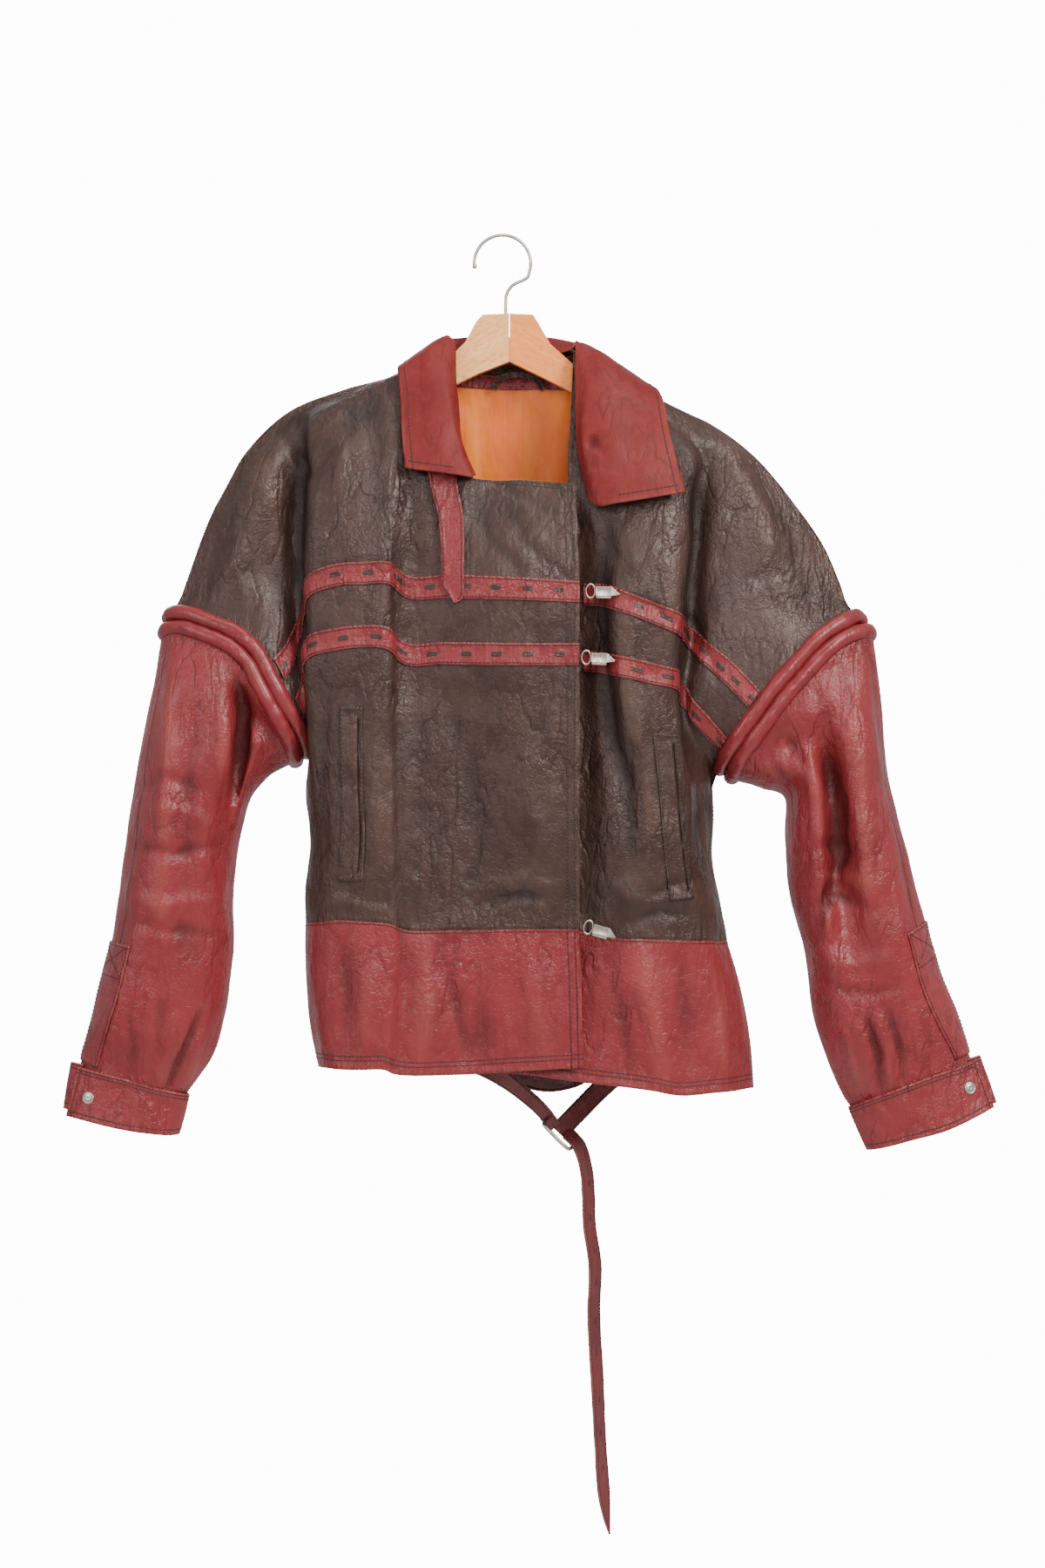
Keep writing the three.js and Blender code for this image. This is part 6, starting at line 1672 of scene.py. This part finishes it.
def make_throat_tab(spacing):
    """The pointed tab: its seen outline dropped on the front, then smoothed clear of the band below."""
    flat = Cloth(np.insert(metres(THROAT_TAB, -1, 3, 2), 1, 0.0, axis=2))
    seen = flat.points(np.linspace(0, 2, 9), flat.steps(spacing, False))
    front = panels()["front_left"]
    ground = Panel(front.cloth, front.outward, []).fine(spacing)
    seen[..., 1] = depth_at(ground, seen[..., 0], seen[..., 2])
    sheet = Sheet(seen, (0, -1, 0))
    sheet.push(0.3 * MM * np.abs(crinkle(seen, (10, 10, 10), 91.0)))
    make_sheet("throat_tab", sheet, STRAP_LEATHER, "red_leather", lift=TAB_LIFT)
    sheet.grid = sheet.lifted(TAB_LIFT)
    make_stitches("tab", "red_leather", sheet.rows_inside("left right", 2.4, end=0.96))


def depth_at(sheet, x, z):
    """Y of a sheet at the places (x, z), from its nearest points."""
    points = sheet.grid.reshape(-1, 3)
    result = np.empty(x.shape)
    for index in np.ndindex(x.shape):
        gap = (points[:, 0] - x[index]) ** 2 + (points[:, 2] - z[index]) ** 2
        near = np.argpartition(gap, 6)[:6]
        weight = 1 / (gap[near] + (0.5 * MM) ** 2)
        result[index] = (points[near, 1] * weight).sum() / weight.sum()
    return result


def take(obj):
    """Makes one object the selected and active one, and no other."""
    bpy.ops.object.select_all(action="DESELECT")
    obj.select_set(True)
    bpy.context.view_layer.objects.active = obj


def settle(obj):
    """Keeps the object's place, turn and size in its mesh, with its origin at the frame's."""
    take(obj)
    bpy.ops.object.transform_apply(location=True, rotation=True, scale=True)


def apply_all(obj):
    take(obj)
    for modifier in list(obj.modifiers):
        bpy.ops.object.modifier_apply(modifier=modifier.name)


def bevelled(obj, width, segments):
    """Rounds the object's sharp edges."""
    modifier = obj.modifiers.new("bevel", "BEVEL")
    modifier.width = width
    modifier.segments = segments
    modifier.limit_method = "ANGLE"
    modifier.angle_limit = math.radians(40)
    apply_all(obj)
    bpy.ops.object.shade_smooth_by_angle(angle=SMOOTH_ANGLE)


def select_faces(test):
    """Selects the edited mesh's faces whose middle and normal pass the test, and nothing else."""
    shape = bmesh.from_edit_mesh(bpy.context.object.data)
    chosen = [face for face in shape.faces if test(face.calc_center_median(), face.normal)]
    for face in shape.faces:
        face.select_set(False)
    for face in chosen:
        face.select_set(True)
    shape.select_flush_mode()
    bmesh.update_edit_mesh(bpy.context.object.data)


SNAP_RADIUS = 5.6 * MM
SNAP_HEIGHT = 2.1 * MM
# Each cap's cuff and its x and z on it
SNAPS = {"snap_left": ("cuff_left", (-378, -789)), "snap_right": ("cuff_right", (427, -780))}


def make_snaps():
    """Press-stud caps: a raised rim, a soft dome and a small dimple at the middle."""
    for name, (cuff, place) in SNAPS.items():
        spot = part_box(name)
        centre = (np.array(spot[0]) + np.array(spot[1])) / 2
        facing = snap_facing(cuff, place)
        foot = centre - facing * SNAP_HEIGHT / 2
        bpy.ops.mesh.primitive_cylinder_add(vertices=40, radius=SNAP_RADIUS, depth=SNAP_HEIGHT * 0.55)
        cap = bpy.context.object
        cap.name = name + "_cap"
        bpy.ops.object.mode_set(mode="EDIT")
        select_faces(lambda middle, normal: normal.z > 0.9)
        for inset, rise in ((0.9, 0.35), (0.7, -0.35), (1.5, 0.35), (1.2, 0.1), (0.5, -0.15)):
            bpy.ops.mesh.inset(thickness=inset * MM)
            bpy.ops.transform.translate(value=(0, 0, rise * MM), orient_type="GLOBAL")
        bpy.ops.object.mode_set(mode="OBJECT")
        bevelled(cap, 0.25 * MM, 3)
        cap.rotation_euler = Vector(facing).to_track_quat("Z", "Y").to_euler()
        cap.location = foot + facing * SNAP_HEIGHT * 0.28
        settle(cap)
        put_on(cap, "nickel", name)


def snap_facing(cuff, place):
    """The outward direction of the cuff's front where a cap sits."""
    sheet = Panel(cuff_cloth(CUFFS[cuff][0]), None, []).fine(3.2 * MM)
    gap = (sheet.grid[..., 0] - place[0] * MM) ** 2 + (sheet.grid[..., 2] - place[1] * MM) ** 2
    gap = gap + np.where(sheet.normals[..., 1] < -0.2, 0.0, 1.0)
    return sheet.normals[np.unravel_index(np.argmin(gap), gap.shape)]


# Where each clasp hangs, and its turn in radians
CLASPS = ((80, -72, -328, 0.02), (76, -72, -388, 0.03), (78, -67, -632, 0.26))
CLASP_RING_RADIUS = 5.0 * MM
CLASP_WIRE_RADIUS = 0.8 * MM
CLASP_RING_STRETCH = (0.8, 1.25, 1.0)
CLASP_START = 4.6 * MM
CLASP_SHOULDER = 19 * MM
CLASP_TIP = 26 * MM
CLASP_HALF_WIDTH = 4.2 * MM
CLASP_DEPTH = 3.6 * MM
CLASP_LIP = 2.2 * MM


def make_clasps():
    """Three clasps: a drawn wire ring and a body folded from sheet metal, with a pointed end."""
    first_ring = clasp_ring()
    first_body = clasp_body()
    for number, (x, y, z, tilt) in enumerate(CLASPS, 1):
        for part, label in ((first_ring, "ring"), (first_body, "body")):
            obj = part.copy()
            obj.data = part.data.copy()
            obj.name = f"clasp_{label}_{number}_metal"
            bpy.context.scene.collection.objects.link(obj)
            obj.location = np.array((x, y, z)) * MM
            obj.rotation_euler = (0, tilt, 0)
            settle(obj)
            put_on(obj, "nickel", f"clasp_{label}_{number}")
    for part in (first_ring, first_body):
        bpy.data.objects.remove(part)


def clasp_ring():
    bpy.ops.mesh.primitive_torus_add(major_radius=CLASP_RING_RADIUS, minor_radius=CLASP_WIRE_RADIUS,
                                     major_segments=48, minor_segments=12)
    ring = bpy.context.object
    ring.scale = CLASP_RING_STRETCH
    ring.rotation_euler = (math.pi / 2, 0, 0)
    settle(ring)
    bpy.ops.object.shade_smooth()
    return ring


def clasp_body():
    """A flat box drawn out to a point, with a folded lip along its lower edge and a sunk face."""
    bpy.ops.mesh.primitive_cube_add(size=1.0)
    body = bpy.context.object
    body.scale = (CLASP_SHOULDER - CLASP_START, CLASP_DEPTH, 2 * CLASP_HALF_WIDTH)
    body.location = ((CLASP_SHOULDER + CLASP_START) / 2, -CLASP_DEPTH / 2 + 0.5 * MM, 0)
    settle(body)
    bpy.ops.object.mode_set(mode="EDIT")
    select_faces(lambda middle, normal: normal.x > 0.9)
    point = (CLASP_TIP - CLASP_SHOULDER, -1.0 * MM, -2.6 * MM)
    bpy.ops.mesh.extrude_region_move(TRANSFORM_OT_translate={"value": point})
    bpy.ops.transform.resize(value=(1, 0.5, 0.14), orient_type="GLOBAL")
    select_faces(lambda middle, normal: normal.z < -0.9 and middle.x < CLASP_SHOULDER)
    bpy.ops.mesh.inset(thickness=0.6 * MM)
    bpy.ops.mesh.extrude_region_move(TRANSFORM_OT_translate={"value": (0, -0.3 * MM, -CLASP_LIP)})
    select_faces(lambda middle, normal: normal.y < -0.9 and middle.x < CLASP_SHOULDER and abs(middle.z) < MM)
    bpy.ops.mesh.inset(thickness=1.2 * MM)
    bpy.ops.transform.translate(value=(0, 0.5 * MM, 0), orient_type="GLOBAL")
    bpy.ops.object.mode_set(mode="OBJECT")
    bevelled(body, 0.35 * MM, 3)
    return body


BUCKLE_HEIGHT = 34 * MM
BUCKLE_DEPTH = 30 * MM
BUCKLE_WIRE = 1.9 * MM
BUCKLE_CORNER = 6 * MM
BUCKLE_LEAN = 0.27
BUCKLE_PLACE = (52, 27, -825)


def wire(name, line, radius, swell=None):
    """A round wire along a line of points, closed on itself unless it has a swell at its tip."""
    bpy.ops.curve.primitive_bezier_curve_add()
    obj = bpy.context.object
    obj.name = name
    curve = obj.data
    curve.splines.clear()
    run = curve.splines.new("POLY")
    run.points.add(len(line) - 1)
    for point, place in zip(run.points, line):
        point.co = (*place, 1.0)
    if swell is not None:
        run.points.foreach_set("radius", swell)
    run.use_cyclic_u = swell is None
    curve.bevel_depth = radius
    curve.bevel_resolution = 5
    curve.use_fill_caps = True
    take(obj)
    bpy.ops.object.convert(target="MESH")
    bpy.ops.object.shade_smooth()
    return obj


def make_buckle():
    """A rounded wire frame, turned on its corner by the strap that hangs from it."""
    reach = np.array([BUCKLE_HEIGHT / 2 - BUCKLE_CORNER, BUCKLE_DEPTH / 2 - BUCKLE_CORNER, 0])
    points = []
    for number, corner in enumerate(((1, 1, 0), (-1, 1, 0), (-1, -1, 0), (1, -1, 0))):
        for k in range(3):
            turn = (number + k / 2) * math.pi / 2
            points.append(corner * reach + BUCKLE_CORNER * np.array([math.cos(turn), math.sin(turn), 0]))
    frame_wire = wire("belt_buckle_metal", closed_spline(np.array(points), np.arange(96) / 96), BUCKLE_WIRE)
    frame_wire.rotation_euler = (BUCKLE_LEAN, math.pi / 4, 0)
    frame_wire.location = np.array(BUCKLE_PLACE) * MM
    settle(frame_wire)
    put_on(outward(frame_wire), "nickel", "belt_buckle")


HOOK_RADIUS = 25.9 * MM
HOOK_TIP_TURN = 1.06 * math.pi
HOOK_SWEEP = 1.24 * math.pi
HOOK_STEPS = 14
HOOK_STEM = ((10, 0, -44), (4, 0, -52), (3, 0, -60), (3, 0, -70.4))
HOOK_BLOB = 2.1 * MM


def make_hook():
    """The wire hook with the small blob that blunts its tip."""
    turns = HOOK_TIP_TURN - np.arange(HOOK_STEPS + 1) / HOOK_STEPS * HOOK_SWEEP
    height = HOOK_RADIUS * (np.sin(turns) - 1) + HOOK_WIRE / 2
    arch = np.stack([HOOK_RADIUS * np.cos(turns), np.zeros(len(turns)), height], axis=1)
    line = smooth_line(np.concatenate([arch, metres(HOOK_STEM)]), 150)
    run = running(np.linalg.norm(np.diff(line, axis=0), axis=1))
    swell = 1 + (HOOK_BLOB / HOOK_WIRE * 2 - 1) * np.exp(-((run - 2.2 * MM) / (1.6 * MM)) ** 2)
    swell[0] *= 0.5
    obj = wire("hanger_hook_wire", line, HOOK_WIRE / 2, swell)
    put_on(outward(obj), "nickel", "hanger_hook")


WOOD_THICKNESS = 16 * MM
# Each half's finish and the x and z of its outline, the first and last points at the mitre
HANGER = {
    "hanger_left": ("beech_left", [
        (6.2, -71), (-18, -72), (-24, -78), (-34, -97), (-51, -114), (-110, -141), (-188, -172),
        (-198, -181), (-191, -191), (-110, -165), (-51, -140), (-22, -126), (6.2, -115)]),
    "hanger_right": ("beech_right", [
        (6.6, -71), (28, -72), (32, -78), (44, -99), (80, -131), (130, -157), (194, -190), (200, -200),
        (190, -207), (130, -180), (79, -151), (40, -131), (6.6, -115)]),
}


def make_hanger():
    """Two flat beech halves, cut to their outlines and mitred at the middle."""
    for name, (finish, outline) in HANGER.items():
        bpy.ops.mesh.primitive_circle_add(vertices=len(outline), fill_type="NGON")
        half = bpy.context.object
        half.name = name + "_wood"
        for vertex, (x, z) in zip(half.data.vertices, outline):
            vertex.co = (x * MM, -WOOD_THICKNESS / 2, z * MM)
        bpy.ops.object.mode_set(mode="EDIT")
        bpy.ops.mesh.select_all(action="SELECT")
        bpy.ops.mesh.extrude_region_move(TRANSFORM_OT_translate={"value": (0, WOOD_THICKNESS, 0)})
        bpy.ops.mesh.select_all(action="SELECT")
        bpy.ops.mesh.normals_make_consistent(inside=False)
        bpy.ops.object.mode_set(mode="OBJECT")
        bpy.ops.object.shade_smooth_by_angle(angle=SMOOTH_ANGLE)
        put_on(half, "beech", name, finish=finish)

CAMERA_X = 0.0184
CAMERA_Z = -0.5024
CAMERA_DISTANCE = 4.5
VIEW_HEIGHT = 1.44
SENSOR = 36.0
FLOOR_Z = -1.36
FLOOR_RADIUS = 0.85
ROOM_LIGHT = 0.7
BACKDROP_LIGHT = 14.0


def make_camera(scene):
    data = bpy.data.cameras.new("camera")
    data.sensor_width = SENSOR
    data.lens = SENSOR * CAMERA_DISTANCE / VIEW_HEIGHT
    data.clip_end = 50.0
    camera = bpy.data.objects.new("camera", data)
    camera.location = (CAMERA_X, -CAMERA_DISTANCE, CAMERA_Z)
    camera.rotation_euler = (math.pi / 2, 0, 0)
    scene.collection.objects.link(camera)
    scene.camera = camera


def soft_light(scene, name, place, size, power, colour):
    """A soft box that faces the middle of the jacket."""
    data = bpy.data.lights.new(name, "AREA")
    data.shape = "RECTANGLE"
    data.size, data.size_y = size
    data.energy = power
    data.color = colour
    light = bpy.data.objects.new(name, data)
    light.location = place
    aim = Vector((CAMERA_X, 0, CAMERA_Z)) - Vector(place)
    light.rotation_euler = aim.to_track_quat("-Z", "Y").to_euler()
    scene.collection.objects.link(light)


def make_lights(scene):
    soft_light(scene, "window", (1.9, -2.3, 1.3), (1.1, 1.5), 118.0, (1.0, 0.985, 0.96))
    soft_light(scene, "fill", (-2.4, -2.2, 0.4), (1.4, 2.0), 32.0, (0.96, 0.98, 1.0))
    soft_light(scene, "top", (0.2, -0.8, 1.9), (1.8, 0.9), 22.0, (1.0, 1.0, 1.0))
    soft_light(scene, "front", (0.3, -3.4, 0.5), (0.9, 0.9), 34.0, (1.0, 0.99, 0.97))
    soft_light(scene, "rear", (-1.0, 2.4, 1.0), (1.8, 1.8), 22.0, (1.0, 1.0, 1.0))
    world = bpy.data.worlds.new("studio")
    world.use_nodes = True
    tree = world.node_tree
    seen = add_node(tree, "LightPath").outputs["Is Camera Ray"]
    strength = add_node(tree, "Mix", {0: seen, 2: ROOM_LIGHT, 3: BACKDROP_LIGHT}, data_type="FLOAT")
    feed(tree, tree.nodes["Background"], {"Color": (0.97, 0.97, 1.0, 1), "Strength": strength.outputs[0]})
    scene.world = world


def make_floor():
    bpy.ops.mesh.primitive_circle_add(vertices=96, radius=FLOOR_RADIUS, fill_type="NGON",
                                      location=(CAMERA_X, 0, FLOOR_Z))
    floor = bpy.context.object
    floor.name = "floor"
    bpy.ops.object.mode_set(mode="EDIT")
    bpy.ops.mesh.inset(thickness=0.05)
    bpy.ops.object.mode_set(mode="OBJECT")
    material, tree, shader = new_material("floor_paint")
    specks = noise_at(tree, object_place(tree), 30.0, 3.0)
    shade = mixed(tree, specks, (0.80, 0.80, 0.80, 1), (0.84, 0.84, 0.84, 1))
    feed(tree, shader, {"Base Color": shade, "Roughness": 0.8})
    floor.data.materials.append(material)


class JacketLook(bpy.types.PropertyGroup):
    """Colours and fineness of the jacket."""

    taupe: bpy.props.FloatVectorProperty(
        name="Taupe", description="Colour of the body leather", subtype="COLOR", size=3,
        default=(0.054, 0.027, 0.021))
    red: bpy.props.FloatVectorProperty(
        name="Red", description="Colour of the sleeves, hem and bands", subtype="COLOR", size=3,
        default=(0.215, 0.024, 0.028))
    collar: bpy.props.FloatVectorProperty(
        name="Collar", description="Colour of the collar leather", subtype="COLOR", size=3,
        default=(0.175, 0.017, 0.016))
    belt: bpy.props.FloatVectorProperty(
        name="Belt", description="Colour of the belt leather", subtype="COLOR", size=3,
        default=(0.13, 0.016, 0.016))
    spacing: bpy.props.FloatProperty(
        name="Spacing", description="Distance between the points of the leather", unit="LENGTH",
        default=0.0032, min=0.001, max=0.02)


def built(make, context, fineness=1.0):
    """Makes pieces whose points lie the scene's spacing apart, or closer by the fineness."""
    make(context.scene.jacket_look.spacing / fineness)
    return {"FINISHED"}


class JACKET_OT_fronts_and_back(bpy.types.Operator):
    """Both fronts, the back and the lap's stitching"""
    bl_idname = "jacket.fronts_and_back"
    bl_label = "Fronts and back"

    def execute(self, context):
        return built(make_fronts_and_back, context)


class JACKET_OT_hem(bpy.types.Operator):
    """The three lengths of the hem band"""
    bl_idname = "jacket.hem"
    bl_label = "Hem band"

    def execute(self, context):
        return built(make_hem, context)


class JACKET_OT_rolls(bpy.types.Operator):
    """The two padded rolls of each armhole"""
    bl_idname = "jacket.rolls"
    bl_label = "Armhole rolls"

    def execute(self, context):
        make_rolls()
        return {"FINISHED"}


class JACKET_OT_sleeves(bpy.types.Operator):
    """Both sleeves"""
    bl_idname = "jacket.sleeves"
    bl_label = "Sleeves"

    def execute(self, context):
        return built(make_sleeves, context)


class JACKET_OT_plackets(bpy.types.Operator):
    """The straps that run up the sleeves from the cuffs"""
    bl_idname = "jacket.plackets"
    bl_label = "Plackets"

    def execute(self, context):
        return built(make_plackets, context)


class JACKET_OT_cuffs(bpy.types.Operator):
    """Both cuffs with their rows of stitches"""
    bl_idname = "jacket.cuffs"
    bl_label = "Cuffs"

    def execute(self, context):
        return built(make_cuffs, context, 1.5)


class JACKET_OT_bands(bpy.types.Operator):
    """The four slotted bands across the fronts"""
    bl_idname = "jacket.bands"
    bl_label = "Slotted bands"

    def execute(self, context):
        return built(make_bands, context, 2)


class JACKET_OT_welts(bpy.types.Operator):
    """The welts of the two upright pockets"""
    bl_idname = "jacket.welts"
    bl_label = "Pocket welts"

    def execute(self, context):
        return built(make_welts, context, 2)


class JACKET_OT_throat_tab(bpy.types.Operator):
    """The pointed tab under the collar"""
    bl_idname = "jacket.throat_tab"
    bl_label = "Throat tab"

    def execute(self, context):
        return built(make_throat_tab, context, 1.5)


class JACKET_OT_collar(bpy.types.Operator):
    """The fold-down collar"""
    bl_idname = "jacket.collar"
    bl_label = "Collar"

    def execute(self, context):
        return built(make_collar, context, 1.5)


class JACKET_OT_neck(bpy.types.Operator):
    """The lining, its facing strip and the hanging loop"""
    bl_idname = "jacket.neck"
    bl_label = "Inside of the neck"

    def execute(self, context):
        return built(make_neck, context, 1.5)


class JACKET_OT_belt(bpy.types.Operator):
    """The four lengths of the belt that show"""
    bl_idname = "jacket.belt"
    bl_label = "Belt"

    def execute(self, context):
        return built(make_belt, context, 1.5)


class JACKET_OT_belt_loops(bpy.types.Operator):
    """The two loops that carry the belt"""
    bl_idname = "jacket.belt_loops"
    bl_label = "Belt loops"

    def execute(self, context):
        make_belt_loops()
        return {"FINISHED"}


class JACKET_OT_snaps(bpy.types.Operator):
    """The caps of the cuffs' press studs"""
    bl_idname = "jacket.snaps"
    bl_label = "Press studs"

    def execute(self, context):
        make_snaps()
        return {"FINISHED"}


class JACKET_OT_clasps(bpy.types.Operator):
    """The three clasps of the front"""
    bl_idname = "jacket.clasps"
    bl_label = "Clasps"

    def execute(self, context):
        make_clasps()
        return {"FINISHED"}


class JACKET_OT_buckle(bpy.types.Operator):
    """The belt's buckle"""
    bl_idname = "jacket.buckle"
    bl_label = "Buckle"

    def execute(self, context):
        make_buckle()
        return {"FINISHED"}


class JACKET_OT_hook(bpy.types.Operator):
    """The hanger's wire hook"""
    bl_idname = "jacket.hook"
    bl_label = "Hook"

    def execute(self, context):
        make_hook()
        return {"FINISHED"}


class JACKET_OT_hanger(bpy.types.Operator):
    """The hanger's two wooden halves"""
    bl_idname = "jacket.hanger"
    bl_label = "Hanger"

    def execute(self, context):
        make_hanger()
        return {"FINISHED"}


class JACKET_OT_stage(bpy.types.Operator):
    """The camera, the soft lights and the pale floor"""
    bl_idname = "jacket.stage"
    bl_label = "Stage"

    def execute(self, context):
        make_camera(context.scene)
        make_lights(context.scene)
        make_floor()
        return {"FINISHED"}


CLASSES = (
    JacketLook,
    JACKET_OT_stage,
    JACKET_OT_fronts_and_back,
    JACKET_OT_hem,
    JACKET_OT_rolls,
    JACKET_OT_sleeves,
    JACKET_OT_plackets,
    JACKET_OT_cuffs,
    JACKET_OT_bands,
    JACKET_OT_welts,
    JACKET_OT_throat_tab,
    JACKET_OT_collar,
    JACKET_OT_neck,
    JACKET_OT_belt,
    JACKET_OT_belt_loops,
    JACKET_OT_snaps,
    JACKET_OT_clasps,
    JACKET_OT_buckle,
    JACKET_OT_hook,
    JACKET_OT_hanger,
)


class JACKET_PT_pieces(bpy.types.Panel):
    """The jacket's pieces, in the order in which they are made"""
    bl_idname = "JACKET_PT_pieces"
    bl_label = "Jacket"
    bl_space_type = "VIEW_3D"
    bl_region_type = "UI"
    bl_category = "Jacket"

    def draw(self, context):
        look = context.scene.jacket_look
        for name in ("taupe", "red", "collar", "belt", "spacing"):
            self.layout.prop(look, name)
        for kind in CLASSES[1:]:
            self.layout.operator(kind.bl_idname)


def register():
    for kind in (*CLASSES, JACKET_PT_pieces):
        bpy.utils.register_class(kind)
    bpy.types.Scene.jacket_look = bpy.props.PointerProperty(type=JacketLook)


def unregister():
    del bpy.types.Scene.jacket_look
    for kind in reversed((*CLASSES, JACKET_PT_pieces)):
        bpy.utils.unregister_class(kind)


def main():
    register()
    for kind in CLASSES[1:]:
        group, name = kind.bl_idname.split(".")
        bpy.ops.object.select_all(action="DESELECT")
        getattr(getattr(bpy.ops, group), name)()


if __name__ == "__main__":
    main()
